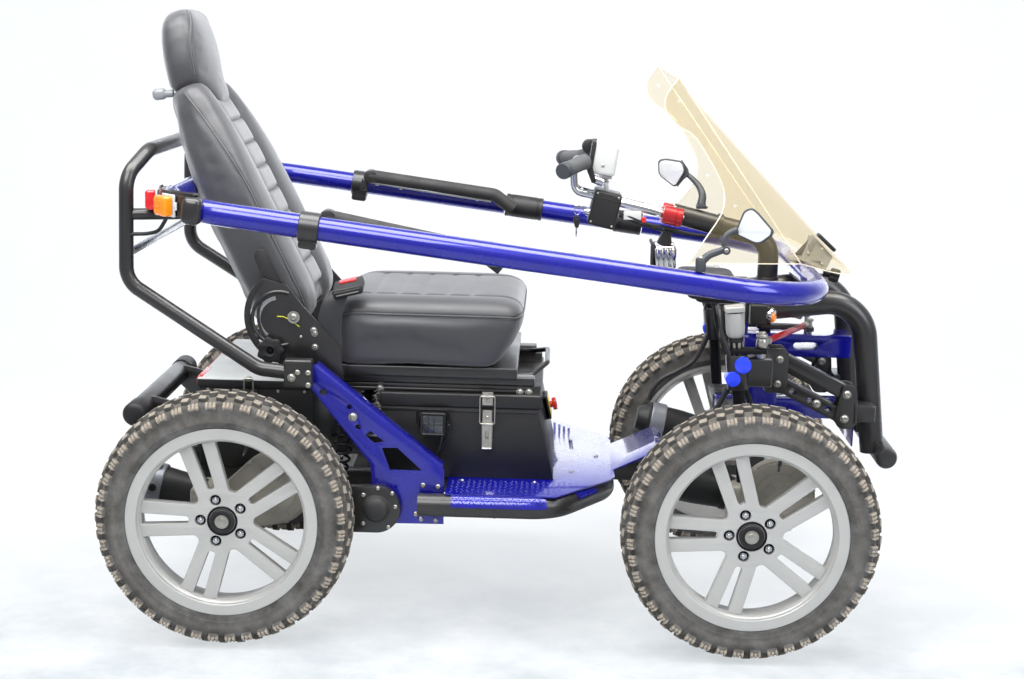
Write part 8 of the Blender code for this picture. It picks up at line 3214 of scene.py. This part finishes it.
@dataclass
class Steering:
    """The steering column, its red clamp, the drop arm and the lamp under it."""

    start: tuple[float, float] = (0.372, 0.926)
    back: tuple[float, float] = (-0.9763, 0.2164)

    def spot(self, along: float, across: float = 0.0, up: float = 0.0) -> Vector:
        """Give a point of the tiller: along it towards the rider, across and up.

        Args:
            along: How far towards the rider.
            across: How far to the left.
            up: How far up.

        Returns:
            The point.
        """
        (x, z), (bx, bz) = self.start, self.back
        return Vector((x + bx * along + bz * up, across, z + bz * along - bx * up))

    def column(self) -> None:
        """Model the column's tube with its collar, the drop arm and its studs."""
        route = bent([(0.600, 0, 0.765), (0.600, 0, 0.872), (0.372, 0, 0.926)], 0.055, 18)
        made = [tube(route, 0.0240, 8)]
        ahead = self.spot(-0.060) - self.spot(-0.020)
        collar = spun([(0.0, 0.0230), (0.0, 0.0262), (0.0120, 0.0262), (0.0130, 0.0252), (0.0130, 0.0230)],
                      48, axis="Z")
        made.append(placed(collar, facing(self.spot(-0.105), ahead)))
        made.append(rod((0.600, 0, 0.764), (0.600, 0, 0.782), 0.0262, 44))
        made.append(rod((0.600, 0, 0.640), (0.600, 0, 0.780), 0.014, 32))
        made.append(floor_plate(hull_of_circles((0.600, 0), 0.020, (0.702, 0), 0.011, 20), 0.659, 0.669, [],
                                0.0015))
        made.append(block((0.693, -0.038, 0.659), (0.711, 0.038, 0.669), 0.0020))
        fitted(painted(joined(*made), POWDER_BLACK), "column_tube", "steering",
               ["steering_column"])
        studs = [rod((0.702, y, 0.650), (0.702, y, 0.684), 0.005, 20) for y in (-0.030, 0.030)]
        nuts = [rod((0.702, y, 0.6835), (0.702, y, 0.6890), 0.0085, 6, bevel=0.0008) for y in (-0.030, 0.030)]
        fitted(painted(joined(*studs, *nuts), ZINC), "column_studs", "steering")

    def clamp(self) -> None:
        """Model the two-lobed red clamp with its bolts."""
        lobes = []
        for s in BOTH:
            profile = [(0.0, 0.0), (0.0, 0.0205), (0.0015, 0.0222), (0.0145, 0.0222), (0.0155, 0.0212),
                       (0.0165, 0.0222), (0.0445, 0.0222), (0.0460, 0.0205), (0.0460, 0.0)]
            place = facing(self.spot(-0.022, s * 0.0260, -0.004), self.spot(1) - self.spot(0))
            lobes.append(placed(spun(profile, 48, axis="Z"), place))
        middle = (self.spot(-0.020, 0, -0.004) + self.spot(0.022, 0, -0.004)) / 2
        half = Vector((0.0205, 0.020, 0.0185))
        lobes.append(block(middle - half, middle + half, 0.003, 3, 12.5))
        fitted(painted(joined(*lobes), RED_ANODISED), "tiller_clamp", "steering")
        ahead = self.spot(-0.1) - self.spot(0)
        made = bolts([self.spot(-0.0222, s * y, -0.004 + u) for s in BOTH
                      for y, u in ((0.040, 0.004), (0.020, 0.014), (0.020, -0.012))], ahead, 0.0055)
        top = bolts([self.spot(0.0, s * 0.026, 0.0182) for s in BOTH], self.spot(0, 0, 1) - self.spot(0),
                    0.0050)
        fitted(joined(made, top), "tiller_clamp_bolts", "steering")

    def lamp(self) -> None:
        """Model the small chromed lamp that hangs under the column, with its bracket."""
        x, z = 0.352, 0.826
        shell = block((x - 0.024, -0.046, z - 0.032), (x + 0.030, 0.046, z + 0.030), 0.012, 4)
        facets = [block((x - 0.020 + i * 0.012, -0.0480, z - 0.024),
                        (x - 0.012 + i * 0.012, -0.0440, z + 0.022), 0.0020, 2, -8.0) for i in range(4)]
        fitted(painted(joined(shell, *facets), CHROME), "column_lamp_shell", "steering")
        rim = block((x - 0.030, -0.049, z - 0.035), (x - 0.023, 0.049, z + 0.033), 0.0030, 2)
        arms = plate([(x - 0.016, z + 0.026), (x + 0.020, z + 0.026), (x + 0.016, 0.8900),
                      (x + 0.004, 0.8960)], 0.030, 0.0, [], 0.0020)
        fitted(painted(joined(rim, arms), NYLON_BLACK), "column_lamp_bracket", "steering")
        glass = block((x - 0.0312, -0.044, z - 0.030), (x - 0.0295, 0.044, z + 0.028), 0.0010)
        fitted(painted(glass, LAMP_GLASS), "column_lamp_glass", "steering")

    def loom(self) -> None:
        """Model the leads that run from the control block to the column, with their plug."""
        a = smooth_route([self.spot(0.122, -0.030, -0.026), self.spot(0.090, -0.033, -0.030),
                          self.spot(0.045, -0.030, -0.036), self.spot(0.010, -0.024, -0.034),
                          self.spot(-0.040, -0.018, -0.036), self.spot(-0.085, -0.014, -0.032),
                          self.spot(-0.120, -0.010, -0.027)], 7)
        b = smooth_route([self.spot(0.122, -0.022, -0.034), self.spot(0.080, -0.024, -0.040),
                          self.spot(0.030, -0.020, -0.044), self.spot(-0.030, -0.012, -0.040),
                          self.spot(-0.090, -0.008, -0.034)], 7)
        fitted(painted(joined(tube(a, 0.0040, 3), tube(b, 0.0030, 3)), CABLE_PVC), "tiller_leads",
               "steering")
        plug = block(self.spot(0.115, -0.036, -0.018), self.spot(0.070, -0.024, -0.030), 0.0020)
        red = block(self.spot(0.070, -0.037, -0.023), self.spot(0.058, -0.023, -0.033), 0.0010)
        fitted(painted(plug, ABS_WHITE), "tiller_plug", "steering")
        fitted(painted(red, RED_PLASTIC), "tiller_plug_lock", "steering")

    def build(self) -> None:
        """Model the column and everything that turns with it alone."""
        self.column()
        self.clamp()
        self.lamp()
        self.loom()


@dataclass
class Tiller:
    """The tiller head: chromed rods, control block, display, bent bars, grips and key."""

    steering: Steering = field(default_factory=Steering)
    block_centre: tuple[float, float] = (0.2115, 0.936)

    def bars(self) -> None:
        """Model the chromed rods and bent bars."""
        spot = self.steering.spot
        made = [rod(spot(0.022, s * 0.026, -0.004), spot(0.150, s * 0.026, -0.004), 0.0098, 36) for s in BOTH]
        for s in BOTH:
            route = bent([(0.200, s * 0.030, 0.962), (0.140, s * 0.034, 0.975), (0.136, s * 0.040, 1.040),
                          (0.160, s * 0.075, 1.047)], 0.024, 12)
            made.append(tube(route, 0.0088, 6))
        made.append(rod((0.1800, -0.046, 1.006), (0.2060, -0.046, 0.998), 0.0095, 24))
        fitted(painted(joined(*made), CHROME), "tiller_bars", "tiller_head", ["tiller"])

    def control_block(self) -> None:
        """Model the control block: black housing, clear top and its corner screws."""
        x, z = self.block_centre
        housing = block((x - 0.0325, -0.047, z - 0.0430), (x + 0.0325, 0.047, z + 0.0400), 0.0060, 4, 12.5)
        turn = Matrix.Translation((x, 0, z)) @ Matrix.Rotation(math.radians(12.5), 4, "Y")
        turn = turn @ Matrix.Translation((-x, 0, -z))
        seam = placed(block((x - 0.0332, -0.0477, z + 0.0225), (x + 0.0332, 0.0477, z + 0.0255), 0.0010),
                      turn)
        fitted(painted(joined(housing, seam), NYLON_BLACK), "control_block", "tiller_head")
        clear = placed(block((x - 0.0300, -0.0445, z + 0.0400), (x + 0.0300, 0.0445, z + 0.0600), 0.0050,
                             3), turn)
        fitted(painted(clear, CLEAR_TRAY), "control_tray", "tiller_head")
        corners = [turn @ Vector((x + a, -0.0470, z + b)) for a in (-0.025, 0.025) for b in (-0.035, 0.033)]
        fitted(bolts(corners, (0, -1, 0), 0.0028), "control_screws", "tiller_head")

    def display(self) -> None:
        """Model the display box, its dark face and the stalks that hold it."""
        low, high = (0.181, -0.0455, 1.0145), (0.237, 0.0455, 1.0865)
        shell = block(low, high, 0.0080, 4, 8.0)
        fitted(painted(shell, ABS_WHITE), "display_shell", "tiller_head")
        middle = (Vector(low) + Vector(high)) / 2
        turn = Matrix.Translation(middle) @ Matrix.Rotation(math.radians(8.0), 4, "Y")
        turn = turn @ Matrix.Translation(-middle)
        rim = placed(block((0.1735, -0.0470, 1.0120), (0.1830, 0.0470, 1.0890), 0.0040, 3), turn)
        horn = rod((0.172, 0.030, 1.074), (0.172, 0.062, 1.074), 0.0165, 32, bevel=0.004)
        wedge = plate([(0.168, 1.040), (0.186, 1.020), (0.190, 1.092), (0.172, 1.090)], 0.030, 0.045, [],
                      0.003)
        fitted(painted(joined(rim, horn, wedge), NYLON_BLACK), "display_rim", "tiller_head")
        face = placed(block((0.1728, -0.0390, 1.0200), (0.1740, 0.0390, 1.0810), 0.0005), turn)
        fitted(painted(face, SCREEN_GREEN), "display_face", "tiller_head")
        stalks = [rod((0.215, y, 0.970), (0.212, y, 1.020), 0.006, 20) for y in (-0.018, 0.018)]
        foot = placed(block((0.186, -0.040, 1.0080), (0.232, 0.040, 1.0145), 0.0020), turn)
        screw = bolts([turn @ Vector((0.206, -0.0455, 1.036))], (0, -1, 0), 0.0040)
        fitted(joined(painted(joined(*stalks, foot), BRUSHED), screw), "display_stalks", "tiller_head")

    def grips(self) -> None:
        """Model the ribbed rubber grips with their dark ends, and the thumb lever."""
        dark, soft = [], []
        for s in BOTH:
            inner, outer = Vector((0.160, s * 0.069, 1.047)), Vector((0.111, s * 0.182, 1.034))
            length = (outer - inner).length
            profile = [(0.0, 0.0), (0.0, 0.0165), (0.0015, 0.0185), (0.0060, 0.0185), (0.0075, 0.0165)]
            steps = 15
            for i in range(steps):
                a = 0.010 + (length - 0.034) * i / steps
                profile += [(a, 0.0165), (a + 0.0012, 0.0172), (a + 0.0036, 0.0172), (a + 0.0048, 0.0165)]
            profile += [(length - 0.020, 0.0165), (length - 0.020, 0.0)]
            place = facing(inner, outer - inner)
            soft.append(placed(spun(profile, 36, axis="Z"), place))
            end = spun([(length - 0.0205, 0.0), (length - 0.0205, 0.0176), (length - 0.0190, 0.0186),
                        (length - 0.0030, 0.0186), (length, 0.0165), (length, 0.0)], 36, axis="Z")
            dark.append(placed(end, place))
        fitted(painted(joined(*soft), GRIP_RUBBER), "tiller_grips", "tiller_head")
        fitted(painted(joined(*dark), GRIP_END), "grip_ends", "tiller_head")
        lever = plate(hull_of_circles((0.1690, 1.0436), 0.0080, (0.1830, 1.0036), 0.0060, 12), 0.0080,
                      -0.0580, [], 0.0022)
        fitted(painted(lever, NYLON_BLACK), "throttle_paddle", "throttle", ["throttle_lever"])

    def key(self) -> None:
        """Model the key in its switch, with a second key that hangs on the ring."""
        barrel = rod((0.1850, -0.0300, 0.9250), (0.1690, -0.0300, 0.9290), 0.0100, 28, bevel=0.0020)
        nose = rod((0.1700, -0.0300, 0.9290), (0.1640, -0.0300, 0.9305), 0.0065, 24)
        blade = block((0.1400, -0.0312, 0.9330), (0.1660, -0.0288, 0.9420), 0.0008, 1, 8.0)
        ring = tube([Vector((0.1480 + 0.0062 * math.cos(t), -0.0300, 0.9290 + 0.0090 * math.sin(t)))
                     for t in np.linspace(0, math.tau, 25)[:-1]], 0.0009, 3, True)
        tip = plate([(0.1447, 0.8900), (0.1493, 0.8900), (0.1485, 0.8700), (0.1470, 0.8670),
                     (0.1455, 0.8700)], 0.0020, -0.0320)
        fitted(painted(joined(barrel, nose, blade, ring, tip), CHROME), "key_switch", "tiller_head")
        fob = plate(eased([(0.1400, 0.9180), (0.1540, 0.9180), (0.1560, 0.9080), (0.1520, 0.8900),
                           (0.1440, 0.8900), (0.1390, 0.9080)], 0.0050), 0.0060, -0.0320,
                    [circle((0.1470, 0.9130), 0.0026)], 0.0015)
        fitted(painted(fob, NYLON_BLACK), "key_fob", "tiller_head")

    def build(self) -> None:
        """Model the tiller head."""
        self.bars()
        self.control_block()
        self.display()
        self.grips()
        self.key()


@dataclass
class Mirror:
    """A mirror: foot and knuckle, tapered arm, five-sided shell and its glass."""

    side: Side

    def face(self) -> tuple[list[tuple[float, float]], Vector, float]:
        """Give the glass's outline about its middle, the middle, and the turn of its face.

        Returns:
            The outline, the middle and the turn in degrees.
        """
        if self.side is Side.RIGHT:
            flat = [(-0.0230, 0.0300), (-0.0070, 0.0365), (0.0050, 0.0280), (0.0385, -0.0070),
                    (0.0360, -0.0170), (0.0160, -0.0335), (0.0040, -0.0355), (-0.0345, -0.0200),
                    (-0.0380, -0.0130)]
            return flat, Vector((0.512, -0.4560, 0.955)), -17.0
        flat = [(-0.0345, 0.0220), (-0.0295, 0.0276), (-0.0170, 0.0300), (0.0250, 0.0262), (0.0330, 0.0060),
                (0.0120, -0.0300), (0.0040, -0.0310), (-0.0270, -0.0110), (-0.0325, -0.0030)]
        return flat, Vector((0.371, 0.050, 1.017)), -24.0

    def head(self) -> None:
        """Model the shell and its glass."""
        flat, middle, turn = self.face()
        pose = Matrix.Translation(middle) @ Matrix.Rotation(math.radians(turn), 4, "Z")
        rounded = eased(flat, 0.0080, 6)
        shell = plate([(x * 1.06, z * 1.06) for x, z in rounded], 0.0100, 0.0, [], 0.0030)
        back = plate([(x * 0.86 + 0.004, z * 0.86) for x, z in rounded], 0.0120, 0.0100, [], 0.0055)
        parts = [shell, back]
        if self.side is Side.LEFT:
            parts.append(plate([(0.020, 0.030), (0.036, 0.010), (0.040, -0.004), (0.026, -0.016),
                                (0.012, -0.034), (0.022, 0.0)], 0.0110, 0.0050, [], 0.003))
        name, body = self.side.tag, f"mirror_head_{self.side.tag}"
        shell = placed(joined(*parts), pose)
        fitted(painted(shell, MIRROR_SHELL), f"mirror_shell_{name}", body, [f"mirror_{name}"])
        glass = plate([(x * 0.93, z * 0.93) for x, z in rounded], 0.0016, -0.0054, [], 0.0005)
        fitted(painted(placed(glass, pose), MIRROR_GLASS), f"mirror_glass_{name}", body)

    def arm(self) -> None:
        """Model the arm, its knuckle and its foot."""
        name, body = self.side.tag, f"mirror_head_{self.side.tag}"
        if self.side is Side.RIGHT:
            route = smooth_route([(0.404, -0.4705, 0.880), (0.418, -0.468, 0.893), (0.436, -0.463, 0.900),
                                  (0.454, -0.461, 0.906)], 6)
            radii = list(np.linspace(0.0088, 0.0070, len(route)))
            riser = smooth_route([(0.454, -0.461, 0.903), (0.449, -0.459, 0.920), (0.456, -0.456, 0.936),
                                  (0.476, -0.452, 0.946)], 6)
            made = [tapered(route, radii), tapered(riser, list(np.linspace(0.0052, 0.0072, len(riser)))),
                    rod((0.402, -0.4705, 0.8585), (0.402, -0.4705, 0.8880), 0.0112, 28, bevel=0.003),
                    rod((0.454, -0.472, 0.904), (0.454, -0.450, 0.904), 0.0088, 24)]
            screw = joined(bolts([(0.454, -0.4720, 0.904)], (0, -1, 0), 0.0050),
                           bolts([(0.402, -0.4705, 0.8880)], (0, 0, 1), 0.0060))
        else:
            route = smooth_route([(0.4375, 0.000, 0.9480), (0.4400, 0.006, 0.9680), (0.4340, 0.018, 0.9860),
                                  (0.4200, 0.034, 1.0020), (0.4040, 0.046, 1.0150)], 6)
            made = [tapered(route, list(np.linspace(0.0102, 0.0052, len(route)))),
                    rod((0.4380, 0, 0.9390), (0.4370, 0, 0.9500), 0.0118, 28, bevel=0.002),
                    rod((0.4265, -0.004, 0.9440), (0.4495, -0.004, 0.9440), 0.0058, 20)]
            screw = bolts([(0.4500, -0.004, 0.9440)], (1, 0, 0), 0.0050)
        fitted(painted(joined(*made), MIRROR_SHELL), f"mirror_arm_{name}", body)
        fitted(screw, f"mirror_screws_{name}", body)

    def build(self) -> None:
        """Model the mirror and ride it on its head."""
        self.head()
        self.arm()


@dataclass
class Windscreen:
    """The windscreen: a bowed sheet of tinted acrylic with two swept wings, and its bracket at the nose."""

    top: tuple[float, float] = (0.347, 1.254)
    foot: tuple[float, float] = (0.634, 0.856)
    crease_foot: tuple[float, float] = (0.7915, 0.800)
    rows: int = 40
    columns: int = 36
    across: int = 12
    half: tuple[float, float] = (0.400, 0.10)
    wing: tuple[tuple[float, float, float], ...] = ((0.00, 0.3480, 1.2538), (0.02, 0.3360, 1.2420),
                                                    (0.05, 0.3210, 1.2210), (0.09, 0.3170, 1.2010),
                                                    (0.15, 0.3240, 1.1800), (0.22, 0.3480, 1.1520),
                                                    (0.28, 0.3700, 1.1440), (0.34, 0.3880, 1.1320),
                                                    (0.42, 0.4100, 1.1000), (0.53, 0.4360, 1.0590),
                                                    (0.62, 0.4530, 1.0260), (0.70, 0.4580, 0.9970),
                                                    (0.78, 0.4520, 0.9660), (0.89, 0.4180, 0.9180),
                                                    (1.00, 0.3820, 0.8660))

    def front(self, down: float, across: float) -> Vector:
        """Give a point of the front, from the top edge down and across from -1 to 1.

        Args:
            down: The share of the way down, from 0 to 1.
            across: The place across, from -1 to 1.

        Returns:
            The point.
        """
        top = Vector((self.top[0], 0, self.top[1]))
        edge = top.lerp(Vector((self.foot[0], 0, self.foot[1])), down)
        crease = top.lerp(Vector((self.crease_foot[0], 0, self.crease_foot[1])), down)
        made = edge.lerp(crease, 1 - across * across)
        return Vector((made.x, (self.half[0] - self.half[1] * down) * across, made.z))

    def outer(self, down: float, s: int) -> Vector:
        """Give a point of a wing's free edge.

        Args:
            down: The share of the way down, from 0 to 1.
            s: The side, -1 or 1.

        Returns:
            The point.
        """
        shares, xs, zs = zip(*self.wing)
        x, z = float(np.interp(down, shares, xs)), float(np.interp(down, shares, zs))
        fold = self.front(down, s)
        away = math.hypot(x - fold.x, z - fold.z)
        return Vector((x, fold.y + s * (self.half[1] * down + 0.004) * min(1.0, away / 0.24), z))

    def free_edge(self, s: int) -> list[Vector]:
        """Give a wing's free edge, made smooth."""
        return eased_line([self.outer(i / self.rows, s) for i in range(self.rows + 1)], 2)

    def sheet(self) -> Thing:
        """Model the sheet as one skin, and give it its thickness.

        Returns:
            The sheet.
        """
        edges = {s: self.free_edge(s) for s in (-1, 1)}
        rows = []
        for i in range(self.rows + 1):
            down = i / self.rows
            left = [edges[-1][i].lerp(self.front(down, -1), k / self.across) for k in range(self.across)]
            middle = [self.front(down, -1 + 2 * k / self.columns) for k in range(self.columns + 1)]
            right = [self.front(down, 1).lerp(edges[1][i], k / self.across)
                     for k in range(1, self.across + 1)]
            rows.append(left + middle + right)
        wide = len(rows[0])
        faces = [(i * wide + j, i * wide + j + 1, (i + 1) * wide + j + 1, (i + 1) * wide + j)
                 for i in range(self.rows) for j in range(wide - 1)]
        made = cleaned(meshed([p for row in rows for p in row], faces), 0.0002)
        modified(made, "SOLIDIFY", thickness=0.0036, offset=0.0, use_even_offset=True)
        holes = []
        for s in BOTH:
            for x, z in ((0.3500, 1.2060), (0.4800, 0.9850)):
                holes.append(rod((x, s * 0.30, z), (x, s * 0.50, z), 0.0042, 20, bevel=0.0))
        return painted(carved(made, *holes), TINTED_ACRYLIC, TURNED_EDGES)

    def edges(self) -> Thing:
        """Model the sheet's cut edges and folds as thin tubes painted near white: a painted highlight where
        they would catch the light.

        Returns:
            The edges.
        """
        made = []
        for s in BOTH:
            made.append(tube([self.front(i / 30, s) for i in range(31)], 0.0017, 2))
            made.append(tube(self.free_edge(s), 0.0014, 2))
            made.append(tube([self.front(1.0, s), self.outer(1.0, s)], 0.0014, 2))
        made.append(tube([self.front(0.0, -1 + i / 10) for i in range(21)], 0.0014, 2))
        made.append(tube([self.front(1.0, -1 + i / 10) for i in range(21)], 0.0014, 2))
        # Painted highlight: the edge tubes are painted near white, in place of the light that the edges and
        # folds would catch.
        return painted(joined(*made), EDGE_HIGHLIGHT_PAINT)

    def bracket(self) -> None:
        """Model the bracket plate, its foot on the nose, the clamp knob and the clip."""
        corners = [Vector(p)
                   for p in ((0.701, -0.004, 0.8830), (0.7500, -0.004, 0.8330), (0.7260, -0.048, 0.8040),
                             (0.6670, -0.048, 0.8300))]
        normal = (corners[1] - corners[0]).cross(corners[3] - corners[0]).normalized() * 0.0015
        shield = lofted([[c - normal for c in corners], [c + normal for c in corners]])
        mirror = copied(shield, Matrix.Scale(-1, 4, Vector((0, 1, 0))))
        foot = block((0.6440, -0.040, 0.8246), (0.7180, 0.040, 0.8290), 0.0010)
        post = plate([(0.6820, 0.8266), (0.6900, 0.8266), (0.7020, 0.8760), (0.6960, 0.8800)], 0.060, 0.0,
                     [], 0.0010)
        made = bevelled(joined(shield, mirror), 0.0006, 1)
        fitted(painted(joined(made, foot, post), BRACKET_GREY), "screen_bracket_plate", "chassis",
               ["screen_bracket"])
        heads = bolts([(0.6890, -0.0345, 0.8440), (0.7210, -0.0280, 0.8540), (0.7200, -0.0400, 0.8215)],
                      -normal if normal.y > 0 else normal, 0.0038)
        fitted(heads, "screen_bracket_bolts", "chassis")
        clip = bar((0.7130, 0.0, 0.8850), (0.7540, 0.0, 0.8480), 0.034, 0.0090, 0.0035)
        neck = rod((0.7260, -0.028, 0.7990), (0.7440, -0.030, 0.7950), 0.0085, 24)
        lobes = []
        for i in range(60):
            angle = math.tau * i / 60
            radius = 0.0150 + 0.0014 * math.cos(6 * angle)
            lobes.append((radius * math.cos(angle), radius * math.sin(angle)))
        grip = lofted([[Vector((x * k, y * k, z)) for x, y in lobes]
                       for k, z in ((0.86, 0.0), (1.0, 0.003), (1.0, 0.019), (0.86, 0.0225))])
        placed(grip, facing((0.7410, -0.030, 0.7960), (0.95, -0.10, -0.24)))
        fitted(painted(joined(clip, neck, grip), NYLON_BLACK), "screen_knob", "chassis")

    def build(self) -> None:
        """Model the windscreen and what holds it."""
        fitted(self.sheet(), "windscreen_sheet", "chassis", ["windscreen"])
        fitted(self.edges(), "windscreen_edges", "chassis")
        self.bracket()


# Studio

@dataclass
class Studio:
    """The pale studio: floor, lamps, world and the camera that took the photograph."""

    floor_z: float = -0.0010
    place: tuple[float, float, float] = (0.0962, -4.0241, 1.3833)
    yaw: float = -0.0234
    pitch: float = 0.1887
    roll: float = 0.0223
    lens: float = 60.49

    def camera(self) -> None:
        """Set the camera where the photograph was taken from."""
        ahead = Vector((math.sin(self.yaw) * math.cos(self.pitch), math.cos(self.yaw) * math.cos(self.pitch),
                        -math.sin(self.pitch)))
        right = ahead.cross(Vector((0, 0, 1))).normalized()
        up = right.cross(ahead)
        side = math.cos(self.roll) * right + math.sin(self.roll) * up
        top = -math.sin(self.roll) * right + math.cos(self.roll) * up
        data = bpy.data.cameras.new("camera")
        data.lens = self.lens
        data.sensor_width = 36.0
        data.clip_end = 100.0
        eye = bpy.data.objects.new("camera", data)
        bpy.context.scene.collection.objects.link(eye)
        turn = Matrix((side, top, -ahead)).transposed().to_4x4()
        eye.matrix_world = Matrix.Translation(self.place) @ turn
        bpy.context.scene.camera = eye

    def lamp(self, name: str, place: Spot, aim: Spot, size: tuple[float, float], power: float,
             colour: str) -> None:
        """Hang a soft box.

        Args:
            name: Its name.
            place: Where it hangs.
            aim: The point that it faces.
            size: Its width and height.
            power: Its power in watts.
            colour: Its light's colour.
        """
        data = bpy.data.lights.new(name, "AREA")
        data.shape = "RECTANGLE"
        data.size, data.size_y = size
        data.energy = power
        data.color = linear(colour)[:3]
        made = bpy.data.objects.new(name, data)
        bpy.context.scene.collection.objects.link(made)
        made.location = place
        made.rotation_euler = (Vector(aim) - Vector(place)).to_track_quat("-Z", "Y").to_euler()

    def floor(self) -> None:
        """Lay the pale floor and raise the backdrop behind it, as one swept sheet."""
        z = self.floor_z
        profile = [(-9.0, z), (2.2, z), *arc((2.2, z + 1.0), 1.0, -90, 0, 12)[1:], (3.2, z + 6.0)]
        mesh = bpy.data.meshes.new("studio_floor")
        points = [(x, y, h) for x in (-9.0, 9.0) for y, h in profile]
        count = len(profile)
        mesh.from_pydata(points, [], [(count + i, count + i + 1, i + 1, i) for i in range(count - 1)])
        made = bpy.data.objects.new("studio_floor", mesh)
        bpy.context.scene.collection.objects.link(made)
        painted(made, FLOOR_PAINT)
        made.data.materials[0] = self.lit(FLOOR_PAINT.material())

    def lit(self, paint: bpy.types.Material) -> bpy.types.Material:
        """Lift the floor's paint for the camera, and dim it in reflections, as the room behind the camera is
        dark.

        Args:
            paint: The floor's material.

        Returns:
            The same material.
        """
        tree = paint.node_tree
        out = tree.nodes["Material Output"]
        shader = tree.nodes["Principled BSDF"]
        path = add_node(tree, "ShaderNodeLightPath")
        share = add_node(tree, "ShaderNodeMath", {"operation": "MULTIPLY", 1: 0.80},
                         {0: path.outputs["Is Camera Ray"]}).outputs[0]
        colour = shader.inputs["Base Color"].links[0].from_socket
        glow = add_node(tree, "ShaderNodeEmission", {"Strength": 1.0}, {"Color": colour})
        mix = add_node(tree, "ShaderNodeMixShader", None,
                       {0: share, 1: shader.outputs[0], 2: glow.outputs[0]})
        depth = add_node(tree, "ShaderNodeSeparateXYZ", None,
                         {0: add_node(tree, "ShaderNodeTexCoord").outputs["Object"]}).outputs["Y"]
        near = add_node(tree, "ShaderNodeMapRange", {1: 1.0, 2: 0.0, 3: 0.0, 4: 0.6}, {0: depth}).outputs[0]
        dim = add_node(tree, "ShaderNodeMath", {"operation": "MULTIPLY"},
                       {0: path.outputs["Is Glossy Ray"], 1: near}).outputs[0]
        dark = add_node(tree, "ShaderNodeEmission", {"Color": linear("#000000"), "Strength": 0.0})
        last = add_node(tree, "ShaderNodeMixShader", None, {0: dim, 1: mix.outputs[0], 2: dark.outputs[0]})
        # The sheet's outer side lets a view from behind the backdrop through.
        outer = add_node(tree, "ShaderNodeNewGeometry").outputs["Backfacing"]
        open_side = add_node(tree, "ShaderNodeBsdfTransparent")
        sheet = add_node(tree, "ShaderNodeMixShader", None,
                         {0: outer, 1: last.outputs[0], 2: open_side.outputs[0]})
        tree.links.new(sheet.outputs[0], out.inputs["Surface"])
        return paint

    def world(self) -> None:
        """Fill the room with an even white light."""
        made = bpy.data.worlds.new("studio")
        bpy.context.scene.world = made
        made.use_nodes = True
        tree = made.node_tree
        back = tree.nodes["Background"]
        back.inputs["Color"].default_value = linear("#f4f7ff")
        path = add_node(tree, "ShaderNodeLightPath")
        seen = add_node(tree, "ShaderNodeMath", {"operation": "MAXIMUM"},
                        {0: path.outputs["Is Camera Ray"], 1: path.outputs["Is Transmission Ray"]}).outputs[0]
        power = add_node(tree, "ShaderNodeMapRange", {3: 0.50, 4: 1.0}, {0: seen}).outputs[0]
        tree.links.new(power, back.inputs["Strength"])

    def build(self) -> None:
        """Set up the studio."""
        scene = bpy.context.scene
        scene.view_settings.view_transform = "Standard"
        scene.render.resolution_x, scene.render.resolution_y = PHOTO_SIZE
        self.camera()
        self.floor()
        self.world()
        self.lamp("key", (-1.2, -3.2, 3.6), (0, 0, 0.5), (2.6, 1.8), 130.0, "#ffffff")
        self.lamp("fill", (3.2, -2.6, 2.4), (0.2, 0, 0.6), (1.8, 2.2), 60.0, "#f6f9ff")
        self.lamp("top", (0.0, -0.6, 3.4), (0, 0, 0.4), (5.0, 1.6), 230.0, "#ffffff")


def main() -> None:
    """Build the scooter, sub-assembly by sub-assembly."""
    logging.basicConfig(level=logging.INFO, format="%(message)s")
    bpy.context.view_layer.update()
    Studio().build()
    for side in Side:
        for end in End:
            Wheel(end, side).build()
    LoopRail().build()
    GateRail().build()
    RearHoop().build()
    RearBumper().build()
    RearBox().build()
    BatteryBox().build()
    Chassis().build()
    for side in Side:
        SidePlate(side).build()
    SeatBack().build()
    Cushion().build()
    SeatBase().build()
    FrontBumper().build()
    NoseFrame().build()
    Steering().build()
    Tiller().build()
    Windscreen().build()
    for side in Side:
        Armrest(side).build()
        Mirror(side).build()
        FrontSuspension(side).build()
        RearSuspension(side).build()
        Kingpin(side).build()
        TieRod(side).build()
        for end in End:
            Drive(end, side).build()


if __name__ == "__main__":
    main()
